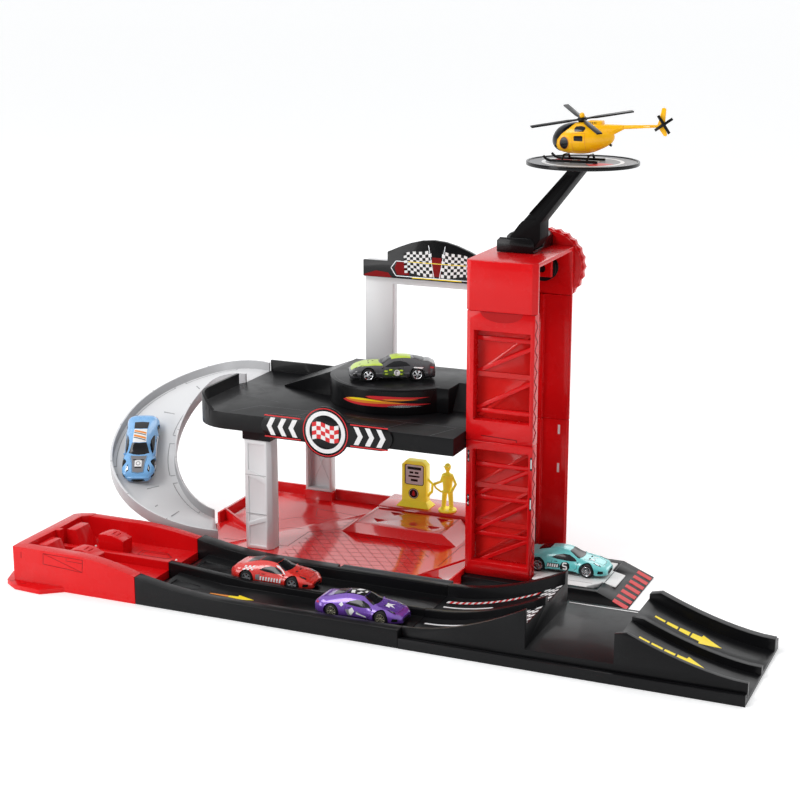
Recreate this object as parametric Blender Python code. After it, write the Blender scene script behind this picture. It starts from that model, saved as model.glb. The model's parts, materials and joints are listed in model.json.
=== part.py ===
"""Toy parking garage: a launcher, two car tracks with a jump, a garage base with a parking deck,
a spiral ramp, a lift tower with a helipad, and the toys that stand on it.

Metres, +Z up. The origin is the centre of the garage base's underside. The tracks run along X in
front of the base (-Y), the spiral ramp is at -X and the lift tower at +X.
"""
import math

import bmesh
import bpy
from mathutils import Matrix, Vector

# Clearances and walls shared by all the mouldings
GAP = 0.0003
SLIDE_GAP = 0.0006
WALL = 0.0024
FLOOR = 0.0022

# Garage base
BASE_WIDTH = 0.254
BASE_DEPTH = 0.1714
BASE_FLOOR_Z = 0.012
BASE_RIM_Z = 0.022
FOOT_RADIUS = 0.012
PAD_LEFT = 0.002
PAD_RIGHT = 0.087
PAD_FRONT = 0.001
PAD_Z = 0.022
PAD_SLOPE_RUN = 0.0135
PAD_RECESS_DEPTH = 0.0012
ISLAND_LEFT = 0.004
ISLAND_DEPTH = 0.0372
ISLAND_Z = 0.0245
PIT_CORNER = 0.034
PIT_DEPTH = 0.0085
CHUTE_WALL_Z = 0.0225

# Tracks in front of the base
LANE_WIDTH = 0.0435
DIVIDER_WIDTH = 0.006
FRONT_SIDE_WIDTH = 0.011
BACK_SIDE_WIDTH = 0.014
LANE_FLOOR_Z = 0.006
DIVIDER_HEIGHT = 0.006
TRACK_WALL_Z = 0.0148
TRACK_SEAM_X = -0.104
TRACK_JOIN_X = 0.1325
RAMP_CURVE = 1.8

# Launcher tray
LAUNCHER_LENGTH = 0.120
LAUNCHER_BACK_INSET = 0.0055
LAUNCHER_SPLAY = 0.007
LAUNCHER_CORNER = 0.0095
LAUNCHER_RIM_Z = 0.034
LAUNCHER_BACK_RIM_Z = 0.030
LAUNCHER_SEAM_Z = 0.0235
LAUNCHER_FALL_RUN = 0.062
LAUNCHER_FLOOR_Z = 0.0113
LAUNCHER_DIVIDER_Z = 0.0185
FLANGE_REACH = 0.013
FLANGE_THICKNESS = 0.004
LAUNCHER_BACK_CENTRE_Y = -0.1275
STOP_TOP_LENGTH = 0.0085
STOP_FOOT_LENGTH = 0.0165
STOP_WIDTH = 0.023
STOP_Z = 0.030
SLIDER_RIGHT_X = -0.1585
SLIDER_LENGTH = 0.025
SLIDER_WIDTH = 0.015
SLIDER_Z = 0.029
SLIDER_NOSE_Z = 0.0245
SLIDER_TRAVEL = 0.008
SLIDER_SLOT_WIDTH = 0.006

# Approach track
ENTRY_PIT_LENGTH = 0.011
ENTRY_PIT_Z = 0.005
ENTRY_RAMP_Z = 0.0108
ENTRY_RAMP_RUN = 0.043
ENTRY_WALL_RUN = 0.075
ENTRY_DIVIDER_Z = 0.0185
RAIL_LENGTH = 0.104
RAIL_WIDTH = 0.006
RAIL_HEIGHT = 0.008

# Jump tray
JUMP_LENGTH = 0.271
TRAY_PLATE_Z = 0.0135
TRAY_LIP_Z = 0.0084
TRAY_LIP_WIDTH = 0.004
TRAY_GROOVE_WIDTH = 0.003
TRAY_GROOVE_Z = 0.005
TAKEOFF_LENGTH = 0.1015
TAKEOFF_FLAT = 0.006
TAKEOFF_RISE = 0.0265
LANDING_LENGTH = 0.100
LANDING_RISE = 0.028
LANDING_END_Z = 0.0028
JUMP_WALL_START = 0.009
JUMP_WALL_END = 0.013
LANDING_WALL = 0.0125
JUMP_BACK_WALL = 0.0095
LANDING_CHAMFER = 0.009

# Columns
COLUMN_TOP_Z = 0.112
FRONT_COLUMN_X = -0.0575
FRONT_COLUMN_INSET = 0.0202
FRONT_COLUMN_WIDTH = 0.025
FRONT_COLUMN_DEPTH = 0.015
REAR_COLUMN_X = -0.0715
REAR_COLUMN_WIDTH = 0.027
REAR_COLUMN_DEPTH = 0.0095
REAR_BOSS_Z = 0.0205
PANEL_RECESS = 0.0008
BRACE_RADIUS = 0.0007

# Parking deck
DECK_TOP_Z = 0.1345
DECK_THICKNESS = 0.015
DECK_FRONT_INSET = 0.0107
DECK_BACK_INSET = 0.0057
DECK_LEFT_X = -0.126
DECK_MOUTH_X = -0.1215
DECK_MOUTH_Y = 0.0275
DECK_CORNER_RADIUS = 0.038
DECK_PARAPET = 0.0105
SOCKET_MARGIN = 0.001

# Raised stage on the deck
STAGE_TOP_Z = 0.157
STAGE_X = 0.0327
STAGE_Y = 0.0324
STAGE_RADIUS = 0.0625
STAGE_BACK_INSET = 0.010
STAGE_SIDE_X = 0.0943
STAGE_LEFT_X = -0.028
STAGE_RAMP_FOOT_X = -0.082
STAGE_RAMP_FOOT_Y = 0.029
STAGE_SLOPE_FOOT_Y = 0.006
STAGE_SLOPE_TOP_Y = 0.021

# Sign board and arch
BOARD_LEFT_X = -0.0506
BOARD_RIGHT_X = 0.0732
BOARD_LOW_Z = 0.1170
BOARD_HIGH_Z = 0.1388
BOARD_THICKNESS = 0.002
BOARD_BULGE_RADIUS = 0.0225
BOARD_BULGE_X = 0.011
ARCH_CENTRE_X = 0.047
ARCH_LEG_WIDTH = 0.028
ARCH_LEG_PITCH = 0.112
ARCH_DEPTH = 0.010
ARCH_BEAM_Z = 0.228
ARCH_TOP_Z = 0.249
ARCH_SIGN_LOW_Z = 0.2344
ARCH_SIGN_SHOULDER_Z = 0.2496
ARCH_SIGN_PEAK_Z = 0.2716
ARCH_SIGN_THICKNESS = 0.004

# Spiral ramp
SPIRAL_X = -0.150
SPIRAL_Y = 0.0094
SPIRAL_OUTER_RADIUS = 0.0944
SPIRAL_INNER_RADIUS = 0.0325
SPIRAL_START_DEG = 80.0
SPIRAL_END_DEG = 302.0
SPIRAL_BULGE = 0.0070
SPIRAL_BULGE_SHARE = 0.54
SPIRAL_WALL_HEIGHT = 0.0083
SPIRAL_EVEN_SHARE = 0.4
SPIRAL_EASE_SHARE = 0.18
SPIRAL_STATIONS = 44

# Lift tower
TOWER_WIDTH = 0.059
TOWER_DEPTH = 0.094
TOWER_FOOT_Z = 0.008
TOWER_SEAM_Z = 0.127
TOWER_TOP_Z = 0.238
TOWER_FRAME_DEPTH = 0.011
TOWER_FRAME_SIDE = 0.006
TOWER_BACK_RIB = 0.0015
TOWER_FLANGE = 0.0012
WINDOW_THICKNESS = 0.0012
WINDOW_BAR = 0.0045
WINDOW_BAR_DEPTH = 0.0018
LOWER_WINDOW_LOW_Z = 0.0205
LOWER_WINDOW_HIGH_Z = 0.1195
UPPER_WINDOW_LOW_Z = 0.145
UPPER_WINDOW_HIGH_Z = 0.2216
SIDE_DOOR_TOP_Z = 0.215
CAP_HEIGHT = 0.042
CAP_OVERHANG = 0.0015
CAP_WALL = 0.0035
CAP_CORNER = 0.004

# Lift
PLATFORM_THICKNESS = 0.0037
PLATFORM_RIGHT_X = 0.2445
PLATFORM_FRONT_Y = -0.047
PLATFORM_BACK_Y = 0.018
NECK_FRONT_Y = -0.0335
TAB_LENGTH = 0.012
TAB_FRONT_Y = -0.031
TAB_BACK_Y = -0.001
SHOE_X = 0.155
SHOE_WIDTH = 0.0105
SHOE_HEIGHT = 0.026
RAIL_RIB_WIDTH = 0.003
RAIL_RIB_DEPTH = 0.004
KNOB_X = 0.164
KNOB_Z = 0.2615
KNOB_RADIUS = 0.0325
KNOB_THICKNESS = 0.0115
KNOB_LOBES = 24
SPOOL_SHAFT_RADIUS = 0.003
SPOOL_DRUM_RADIUS = 0.009
SPOOL_FLANGE_RADIUS = 0.0115
SPOOL_FLANGE_THICKNESS = 0.001
SPOOL_DRUM_LENGTH = 0.0055
CORD_RADIUS = 0.0006

# Exit ramp beside the tower
EXIT_CREST_X = 0.247
EXIT_FOOT_X = 0.274
EXIT_TOP_Z = 0.0118
EXIT_FRONT_Y = -0.055
EXIT_BACK_Y = 0.0265
EXIT_TOE_Z = 0.0008

# Helipad and helicopter
PAD_BASE_LEFT_X = 0.1365
PAD_BASE_RIGHT_X = 0.169
PAD_BASE_FRONT_Y = -0.004
PAD_BASE_BACK_Y = 0.047
PAD_BASE_HEIGHT = 0.0125
PAD_ARM_FRONT_Y = -0.003
PAD_ARM_BACK_Y = 0.020
HELIPAD_X = 0.206
HELIPAD_Y = 0.008
HELIPAD_TOP_Z = 0.358
HELIPAD_RADIUS = 0.0464
HELIPAD_THICKNESS = 0.0031
HELIPAD_RIM = 0.0010
HELI_NOSE_X = 0.1795
HELI_LENGTH = 0.0965
HELI_HUB_X = 0.2045
HELI_BELLY = 0.0068
HELI_CABIN_HEIGHT = 0.025
HELI_CABIN_WIDTH = 0.024
SKID_SPAN = 0.022
SKID_RADIUS = 0.0011
ROTOR_RADIUS = 0.0435
ROTOR_ANGLE_DEG = 36.0
ROTOR_TILT_DEG = 12.5
ROTOR_HEIGHT = 0.0345
TAIL_ROTOR_RADIUS = 0.0085

# Fuel pump and attendant
PUMP_X = 0.0362
PUMP_INSET = 0.0045
PUMP_WIDTH = 0.0243
PUMP_DEPTH = 0.009
PUMP_HEIGHT = 0.0437
PUMP_FOOT_WIDTH = 0.0325
PUMP_FOOT_HEIGHT = 0.005
ATTENDANT_X = 0.0695
ATTENDANT_INSET = 0.009
ATTENDANT_HEIGHT = 0.0457
ATTENDANT_PLATE_RADIUS = 0.0085

# Toy cars
CAR_LENGTH = 0.074
CAR_WIDTH = 0.031
CAR_WHEELBASE = 0.043
CAR_WHEEL_RADIUS = 0.0058
CAR_WHEEL_WIDTH = 0.0055
CAR_AXLE_RADIUS = 0.0009
CAR_GROUND_CLEARANCE = 0.0022
CAR_BODY_HEIGHT = 0.0185
CAR_ARCH_GAP = 0.0011

# Sizes that follow from the ones above
BASE_RIGHT_X = BASE_WIDTH / 2
BASE_LEFT_X = -BASE_RIGHT_X
BASE_BACK_Y = BASE_DEPTH / 2
BASE_FRONT_Y = -BASE_BACK_Y
TRACK_BACK_Y = BASE_FRONT_Y - GAP
LANE_2_BACK_Y = TRACK_BACK_Y - BACK_SIDE_WIDTH
LANE_2_FRONT_Y = LANE_2_BACK_Y - LANE_WIDTH
LANE_1_BACK_Y = LANE_2_FRONT_Y - DIVIDER_WIDTH
LANE_1_FRONT_Y = LANE_1_BACK_Y - LANE_WIDTH
TRACK_FRONT_Y = LANE_1_FRONT_Y - FRONT_SIDE_WIDTH
LANE_CENTRES = ((LANE_1_FRONT_Y + LANE_1_BACK_Y) / 2, (LANE_2_FRONT_Y + LANE_2_BACK_Y) / 2)
LAUNCHER_CENTRES = (LANE_CENTRES[0], LAUNCHER_BACK_CENTRE_Y)
LAUNCHER_LEFT_X = TRACK_SEAM_X - LAUNCHER_LENGTH
JUMP_LEFT_X = TRACK_JOIN_X + GAP
JUMP_RIGHT_X = JUMP_LEFT_X + JUMP_LENGTH
TOWER_LEFT_X = BASE_RIGHT_X + GAP
TOWER_RIGHT_X = TOWER_LEFT_X + TOWER_WIDTH
TOWER_FRONT_Y = -TOWER_DEPTH / 2
TOWER_BACK_Y = TOWER_DEPTH / 2
DECK_RIGHT_X = TOWER_LEFT_X - GAP
DECK_FRONT_Y = BASE_FRONT_Y + DECK_FRONT_INSET
DECK_BACK_Y = BASE_BACK_Y - DECK_BACK_INSET
FRONT_COLUMN_Y = BASE_FRONT_Y + FRONT_COLUMN_INSET
ISLAND_FRONT = BASE_BACK_Y - ISLAND_DEPTH
STAGE_BACK_Y = DECK_BACK_Y - STAGE_BACK_INSET
PUMP_FRONT_Y = ISLAND_FRONT + PUMP_INSET
ATTENDANT_Y = ISLAND_FRONT + ATTENDANT_INSET
DECK_LOW_Z = DECK_TOP_Z - DECK_THICKNESS
CAP_TOP_Z = TOWER_TOP_Z + CAP_HEIGHT
PLATFORM_LOW_Z = TOWER_FOOT_Z + GAP
PLATFORM_TOP_Z = PLATFORM_LOW_Z + PLATFORM_THICKNESS
CORD_X = KNOB_X - SPOOL_DRUM_RADIUS - CORD_RADIUS - GAP
ARCH_LEFT_X = ARCH_CENTRE_X - ARCH_LEG_PITCH / 2
ARCH_RIGHT_X = ARCH_CENTRE_X + ARCH_LEG_PITCH / 2
ARCH_FRONT_Y = DECK_BACK_Y + GAP

# Colours: red, green, blue, roughness, metallic
RED = (0.70, 0.012, 0.014, 0.35, 0.0)
BLACK = (0.012, 0.012, 0.013, 0.40, 0.0)
GREY = (0.055, 0.055, 0.058, 0.45, 0.0)
PALE = (0.62, 0.63, 0.64, 0.40, 0.0)
YELLOW = (0.85, 0.55, 0.02, 0.40, 0.0)
CLEAR_RED = (0.45, 0.005, 0.008, 0.15, 0.0)
CORD_WHITE = (0.70, 0.70, 0.66, 0.80, 0.0)
TYRE = (0.015, 0.015, 0.016, 0.60, 0.0)
CAR_RED = (0.65, 0.02, 0.02, 0.25, 0.0)
CAR_PURPLE = (0.14, 0.05, 0.42, 0.25, 0.0)
CAR_TEAL = (0.16, 0.58, 0.56, 0.25, 0.0)
CAR_GREEN = (0.10, 0.13, 0.08, 0.25, 0.0)
CAR_BLUE = (0.25, 0.55, 0.80, 0.25, 0.0)

MATERIALS = {}
PARTS = None


def clear_scene():
    """Remove every object and start the collection that holds the parts."""
    global PARTS
    for thing in list(bpy.data.objects):
        bpy.data.objects.remove(thing, do_unlink=True)
    PARTS = bpy.data.collections.new("toy_parking_garage")
    bpy.context.scene.collection.children.link(PARTS)


def material(label, colour):
    """Return the Principled material of a colour tuple."""
    if label not in MATERIALS:
        made = bpy.data.materials.new(label)
        made.use_nodes = True
        shader = made.node_tree.nodes["Principled BSDF"]
        shader.inputs["Base Color"].default_value = (*colour[:3], 1.0)
        shader.inputs["Roughness"].default_value = colour[3]
        shader.inputs["Metallic"].default_value = colour[4]
        MATERIALS[label] = made
    return MATERIALS[label]


def object_from(name, shape):
    """Make an object in the parts collection from a bmesh."""
    mesh = bpy.data.meshes.new(name)
    shape.to_mesh(mesh)
    shape.free()
    made = bpy.data.objects.new(name, mesh)
    PARTS.objects.link(made)
    return made


def box(low, high, name="box"):
    """A box between two corners."""
    low = Vector(low)
    high = Vector(high)
    shape = bmesh.new()
    bmesh.ops.create_cube(shape, size=1.0)
    size = high - low
    bmesh.ops.scale(shape, verts=shape.verts, vec=size)
    bmesh.ops.translate(shape, verts=shape.verts, vec=(low + high) / 2)
    return object_from(name, shape)


def cylinder(start, end, radius, sides=24, end_radius=None, name="cylinder"):
    """A cylinder or a cone between two points."""
    start = Vector(start)
    end = Vector(end)
    shape = bmesh.new()
    tip = radius if end_radius is None else end_radius
    length = (end - start).length
    bmesh.ops.create_cone(shape, cap_ends=True, segments=sides, radius1=radius, radius2=tip, depth=length)
    turn = (end - start).to_track_quat("Z", "Y").to_matrix().to_4x4()
    bmesh.ops.transform(shape, matrix=Matrix.Translation((start + end) / 2) @ turn, verts=shape.verts)
    return object_from(name, shape)


def ball(centre, radius, squash=(1.0, 1.0, 1.0), segments=12, rings=8, name="ball"):
    """A sphere, stretched along the axes by squash."""
    shape = bmesh.new()
    bmesh.ops.create_uvsphere(shape, u_segments=segments, v_segments=rings, radius=radius)
    bmesh.ops.scale(shape, verts=shape.verts, vec=squash)
    bmesh.ops.translate(shape, verts=shape.verts, vec=centre)
    return object_from(name, shape)


def mesh_from_curve(guide, name):
    """Turn a curve object into a welded mesh object in world coordinates."""
    graph = bpy.context.evaluated_depsgraph_get()
    mesh = bpy.data.meshes.new_from_object(guide.evaluated_get(graph))
    shape = bmesh.new()
    shape.from_mesh(mesh)
    bmesh.ops.remove_doubles(shape, verts=shape.verts, dist=0.00001)
    bmesh.ops.recalc_face_normals(shape, faces=shape.faces)
    bmesh.ops.transform(shape, matrix=guide.matrix_world, verts=shape.verts)
    bpy.data.objects.remove(guide, do_unlink=True)
    return object_from(name, shape)


AXIS_TURNS = {
    "Z": Matrix.Identity(4),
    "Y": Matrix(((1, 0, 0, 0), (0, 0, -1, 0), (0, 1, 0, 0), (0, 0, 0, 1))),
    "X": Matrix(((0, 0, 1, 0), (1, 0, 0, 0), (0, 1, 0, 0), (0, 0, 0, 1))),
}


def prism(outline, low, high, axis="Z", name="prism"):
    """Extrude a closed outline from low to high along an axis.

    The outline's points are (x, y) for Z, (x, z) for Y and (y, z) for X.
    """
    curve = bpy.data.curves.new(name, "CURVE")
    curve.dimensions = "2D"
    curve.fill_mode = "BOTH"
    curve.extrude = (high - low) / 2
    spline = curve.splines.new("POLY")
    spline.points.add(len(outline) - 1)
    for point, (across, along) in zip(spline.points, outline):
        point.co = (across, along, 0.0, 1.0)
    spline.use_cyclic_u = True
    guide = bpy.data.objects.new(name, curve)
    PARTS.objects.link(guide)
    middle = (low + high) / 2
    shift = {"X": (middle, 0, 0), "Y": (0, middle, 0), "Z": (0, 0, middle)}[axis]
    guide.matrix_world = Matrix.Translation(shift) @ AXIS_TURNS[axis]
    bpy.context.view_layer.update()
    return mesh_from_curve(guide, name)


def rod(points, radius, name="rod", closed=False, resolution=2):
    """A round rod along a list of points."""
    curve = bpy.data.curves.new(name, "CURVE")
    curve.dimensions = "3D"
    curve.bevel_depth = radius
    curve.bevel_resolution = resolution
    curve.use_fill_caps = True
    spline = curve.splines.new("POLY")
    spline.points.add(len(points) - 1)
    for point, place in zip(spline.points, points):
        point.co = (*place, 1.0)
    spline.use_cyclic_u = closed
    guide = bpy.data.objects.new(name, curve)
    PARTS.objects.link(guide)
    bpy.context.view_layer.update()
    return mesh_from_curve(guide, name)


def loft(sections, name="loft"):
    """Join closed rings of equal length into one solid with flat ends."""
    shape = bmesh.new()
    rings = [[shape.verts.new(point) for point in section] for section in sections]
    count = len(sections[0])
    for first, second in zip(rings, rings[1:]):
        for index in range(count):
            follow = (index + 1) % count
            shape.faces.new((first[index], first[follow], second[follow], second[index]))
    shape.faces.new(list(reversed(rings[0])))
    shape.faces.new(rings[-1])
    bmesh.ops.recalc_face_normals(shape, faces=shape.faces)
    return object_from(name, shape)


def combine(target, others, operation):
    """Join others to the target, or cut them from it, and keep the result as its mesh."""
    group = bpy.data.collections.new("operands")
    for other in others:
        group.objects.link(other)
    change = target.modifiers.new(operation.lower(), "BOOLEAN")
    change.operation = operation
    change.operand_type = "COLLECTION"
    change.collection = group
    change.solver = "EXACT"
    bpy.context.view_layer.update()
    graph = bpy.context.evaluated_depsgraph_get()
    mesh = bpy.data.meshes.new_from_object(target.evaluated_get(graph))
    target.modifiers.clear()
    target.data = mesh
    for other in others:
        bpy.data.objects.remove(other, do_unlink=True)
    bpy.data.collections.remove(group)
    return target


def unite(target, *others):
    """Join solids into the target."""
    return combine(target, list(others), "UNION")


def cut(target, *cutters):
    """Cut solids from the target."""
    return combine(target, list(cutters), "DIFFERENCE")


def tidy_mesh(made):
    """Merge the slivers that a cut can leave."""
    shape = bmesh.new()
    shape.from_mesh(made.data)
    bmesh.ops.remove_doubles(shape, verts=shape.verts, dist=0.000002)
    bmesh.ops.dissolve_degenerate(shape, edges=shape.edges, dist=0.000002)
    loose = [edge for edge in shape.edges if not edge.link_faces]
    bmesh.ops.delete(shape, geom=loose, context="EDGES")
    stray = [corner for corner in shape.verts if not corner.link_edges]
    bmesh.ops.delete(shape, geom=stray, context="VERTS")
    shape.to_mesh(made.data)
    shape.free()


def finish(made, name, label, colour, pivot=None):
    """Name a finished part, give it its material and put its origin on its pivot."""
    tidy_mesh(made)
    made.name = name
    made.data.name = name
    made.data.materials.clear()
    made.data.materials.append(material(label, colour))
    made.data.shade_smooth()
    made.data.set_sharp_from_angle(angle=math.radians(35))
    if pivot is not None:
        made.data.transform(Matrix.Translation(-Vector(pivot)))
        made.location = pivot
    return made


def arc(centre, radius, start_deg, end_deg, steps):
    """Points on an arc, ends included."""
    points = []
    for step in range(steps + 1):
        angle = math.radians(start_deg + (end_deg - start_deg) * step / steps)
        points.append((centre[0] + radius * math.cos(angle), centre[1] + radius * math.sin(angle)))
    return points


def inset(outline, distance):
    """Move a counter-clockwise outline's edges inwards by a distance."""
    moved = []
    count = len(outline)
    for index in range(count):
        before = Vector(outline[index - 1])
        here = Vector(outline[index])
        after = Vector(outline[(index + 1) % count])
        first = (here - before).normalized()
        second = (after - here).normalized()
        first_normal = Vector((-first.y, first.x))
        second_normal = Vector((-second.y, second.x))
        bisector = first_normal + second_normal
        scale = distance * 2 / bisector.length_squared
        moved.append(tuple(here + bisector * scale))
    return moved


def spread(start, end, steps):
    """Evenly spaced values from start to end, both included."""
    return [start + (end - start) * step / steps for step in range(steps + 1)]


def under_curve(stations, top, bottom):
    """The outline between a top curve and a bottom curve or level over the stations."""
    low = bottom if callable(bottom) else lambda x: bottom
    upper = [(x, top(x)) for x in stations]
    lower = [(x, low(x)) for x in reversed(stations)]
    return upper + lower


def wall_strip(path, bottom, tops, thickness, name="wall"):
    """A thin wall that follows a path in plan, with a top height at each point."""
    sections = []
    last = len(path) - 1
    for index, (x, y) in enumerate(path):
        before = Vector(path[max(index - 1, 0)])
        after = Vector(path[min(index + 1, last)])
        along = (after - before).normalized()
        side = Vector((-along.y, along.x)) * thickness
        sections.append([
            (x, y, bottom), (x + side.x, y + side.y, bottom),
            (x + side.x, y + side.y, tops[index]), (x, y, tops[index]),
        ])
    return loft(sections, name)


# Launcher

def launcher_rim(x, top_z):
    """Height of a side of the launcher's rim: level, then rounding down to the seam."""
    share = max(0.0, (x - (TRACK_SEAM_X - LAUNCHER_FALL_RUN)) / LAUNCHER_FALL_RUN)
    return top_z - (top_z - LAUNCHER_SEAM_Z) * share ** RAMP_CURVE


def launcher_outline(right_x, margin):
    """Plan of the launcher's outer wall, moved in by a margin."""
    back_y = TRACK_BACK_Y - LAUNCHER_BACK_INSET - margin
    splayed_x = LAUNCHER_LEFT_X - LAUNCHER_SPLAY + margin
    corner = LAUNCHER_CORNER
    return [
        (LAUNCHER_LEFT_X + margin, TRACK_FRONT_Y + margin), (right_x, TRACK_FRONT_Y + margin), (right_x, back_y),
        (splayed_x + corner * 1.4, back_y), (splayed_x + corner * 0.5, back_y - corner * 0.45),
        (splayed_x, back_y - corner),
    ]


def make_launcher():
    """Red start tray with two lanes, two stop blocks and a foot flange."""
    right_x = TRACK_SEAM_X - GAP
    body = prism(launcher_outline(right_x, 0.0), 0.0, LAUNCHER_RIM_Z)
    left_wall = LAUNCHER_LEFT_X + FRONT_SIDE_WIDTH * 0.75
    fall = spread(right_x - LAUNCHER_FALL_RUN, right_x + GAP, 8)
    front_line = [(x, launcher_rim(min(x, right_x), LAUNCHER_RIM_Z)) for x in fall]
    front_cut = prism(front_line + [(fall[-1], 0.04), (fall[0], 0.04)], TRACK_FRONT_Y - WALL, LANE_1_BACK_Y, "Y")
    back_line = [(left_wall + 0.002, LAUNCHER_BACK_RIM_Z)]
    back_line += [(x, launcher_rim(min(x, right_x), LAUNCHER_BACK_RIM_Z)) for x in fall]
    back_cut = prism(back_line + [(fall[-1], 0.041), (left_wall + 0.002, 0.041)], LANE_2_FRONT_Y, TRACK_BACK_Y, "Y")
    side_cut = prism([(LANE_1_FRONT_Y, LAUNCHER_RIM_Z), (TRACK_BACK_Y, LAUNCHER_BACK_RIM_Z), (TRACK_BACK_Y, 0.042),
                      (LANE_1_FRONT_Y, 0.042)], LAUNCHER_LEFT_X - 0.02, left_wall + 0.004, "X")
    splay = LAUNCHER_SPLAY * 0.7
    lane_1 = prism([
        (left_wall, LANE_1_FRONT_Y), (right_x + WALL, LANE_1_FRONT_Y), (right_x + WALL, LANE_1_BACK_Y),
        (left_wall - splay * 0.4, LANE_1_BACK_Y),
    ], LAUNCHER_FLOOR_Z, 0.05)
    lane_2 = prism([
        (left_wall - splay * 0.5, LANE_2_FRONT_Y), (right_x + WALL, LANE_2_FRONT_Y), (right_x + WALL, LANE_2_BACK_Y),
        (left_wall, LANE_2_BACK_Y), (left_wall - splay, LANE_2_BACK_Y - 0.005),
    ], LAUNCHER_FLOOR_Z, 0.05)
    divider_cut = box((left_wall + 0.002, LANE_1_BACK_Y - WALL, LAUNCHER_DIVIDER_Z),
                      (right_x + WALL, LANE_2_FRONT_Y + WALL, 0.05))
    cut(body, front_cut, back_cut, side_cut, lane_1, lane_2, divider_cut)

    # The underside is hollow up to the floor, and the side ridges up to their tops
    low_cavity = prism(launcher_outline(right_x - WALL, WALL), -WALL, LAUNCHER_FLOOR_Z - FLOOR)
    ridge_top = LAUNCHER_SEAM_Z - FLOOR
    front_ridge = box((left_wall, TRACK_FRONT_Y + WALL, 0.001), (right_x - WALL, LANE_1_FRONT_Y - WALL, ridge_top))
    back_ridge = box((left_wall, LANE_2_BACK_Y + WALL, 0.001),
                     (right_x - WALL, TRACK_BACK_Y - LAUNCHER_BACK_INSET - WALL, ridge_top))
    cut(body, low_cavity, front_ridge, back_ridge)

    # Foot flange round the front left corner
    reach = FLANGE_REACH
    corner_x = LAUNCHER_LEFT_X
    flange = prism([
        (corner_x - 0.012, TRACK_FRONT_Y + 0.030), (corner_x - reach, TRACK_FRONT_Y + 0.016),
        (corner_x - 0.006, TRACK_FRONT_Y - 0.002), (corner_x + 0.008, TRACK_FRONT_Y - reach + 0.002),
        (corner_x + 0.034, TRACK_FRONT_Y - reach), (corner_x + 0.052, TRACK_FRONT_Y + 0.0012),
        (corner_x + 0.0012, TRACK_FRONT_Y + 0.0012), (corner_x - 0.003, TRACK_FRONT_Y + 0.044),
    ], 0.0, FLANGE_THICKNESS)
    pieces = [flange]
    for centre_y in LAUNCHER_CENTRES:
        pieces.append(stop_block(centre_y))
    unite(body, *pieces)

    # Each slider's key runs in a slot in its lane's floor
    slots = []
    for centre_y in LAUNCHER_CENTRES:
        half = SLIDER_SLOT_WIDTH / 2 + SLIDE_GAP
        right = SLIDER_RIGHT_X - 0.006 + SLIDE_GAP
        left = SLIDER_RIGHT_X - SLIDER_LENGTH + 0.006 - SLIDER_TRAVEL - SLIDE_GAP
        slots.append(box((left, centre_y - half, 0.0), (right, centre_y + half, 0.02)))
    cut(body, *slots)
    return finish(body, "launcher_tray", "red_plastic", RED)


def stop_block(centre_y):
    """Tapered block that the slider is drawn back towards."""
    left = LAUNCHER_LEFT_X + FRONT_SIDE_WIDTH - 0.0005
    foot = [(left, -STOP_WIDTH / 2), (left + STOP_FOOT_LENGTH, -STOP_WIDTH / 2),
            (left + STOP_FOOT_LENGTH, STOP_WIDTH / 2), (left, STOP_WIDTH / 2)]
    draft = 0.001
    top = [(left, -STOP_WIDTH / 2 + draft), (left + STOP_TOP_LENGTH, -STOP_WIDTH / 2 + draft),
           (left + STOP_TOP_LENGTH, STOP_WIDTH / 2 - draft), (left, STOP_WIDTH / 2 - draft)]
    low = LAUNCHER_FLOOR_Z - FLOOR / 2
    return loft([[(x, centre_y + y, low) for x, y in foot], [(x, centre_y + y, STOP_Z) for x, y in top]])


def make_slider(index, name):
    """Arched launch slider with a key that hooks under the lane's floor."""
    centre_y = LAUNCHER_CENTRES[index]
    right = SLIDER_RIGHT_X
    left = right - SLIDER_LENGTH
    low = LAUNCHER_FLOOR_Z + GAP
    top = [(left, SLIDER_Z - 0.001), (left + SLIDER_LENGTH * 0.22, SLIDER_Z), (left + SLIDER_LENGTH * 0.48, SLIDER_Z),
           (left + SLIDER_LENGTH * 0.75, SLIDER_Z - 0.0015), (right, SLIDER_NOSE_Z)]
    outline = [(left, low)] + top + [(right, low)]
    half = SLIDER_WIDTH / 2
    body = prism(outline, centre_y - half, centre_y + half, "Y")
    key_half = SLIDER_SLOT_WIDTH / 2
    neck = box((left + 0.006, centre_y - key_half, LAUNCHER_FLOOR_Z - FLOOR - GAP),
               (right - 0.006, centre_y + key_half, low + GAP))
    hook = box((left + 0.006, centre_y - key_half * 2, LAUNCHER_FLOOR_Z - FLOOR - GAP - 0.0018),
               (right - 0.006, centre_y + key_half * 2, LAUNCHER_FLOOR_Z - FLOOR - GAP))
    grips = []
    for step in range(2):
        grip_x = left + SLIDER_LENGTH * (0.45 + 0.17 * step)
        grips.append(box((grip_x, centre_y - half * 0.55, SLIDER_Z - 0.0022),
                         (grip_x + 0.0012, centre_y + half * 0.55, SLIDER_Z + 0.001)))
    unite(body, neck, hook)
    cut(body, *grips)
    return finish(body, name, "red_plastic", RED, (right, centre_y, low))


# Approach track

def track_wall(x):
    """Height of the approach track's side walls."""
    share = max(0.0, 1.0 - (x - TRACK_SEAM_X) / ENTRY_WALL_RUN)
    return TRACK_WALL_Z + (LAUNCHER_SEAM_Z - TRACK_WALL_Z) * share ** RAMP_CURVE


def track_divider(x):
    """Height of the approach track's divider."""
    share = max(0.0, 1.0 - (x - TRACK_SEAM_X) / ENTRY_WALL_RUN)
    level = LANE_FLOOR_Z + DIVIDER_HEIGHT
    return level + (ENTRY_DIVIDER_Z - level) * share ** (RAMP_CURVE / 2)


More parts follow.
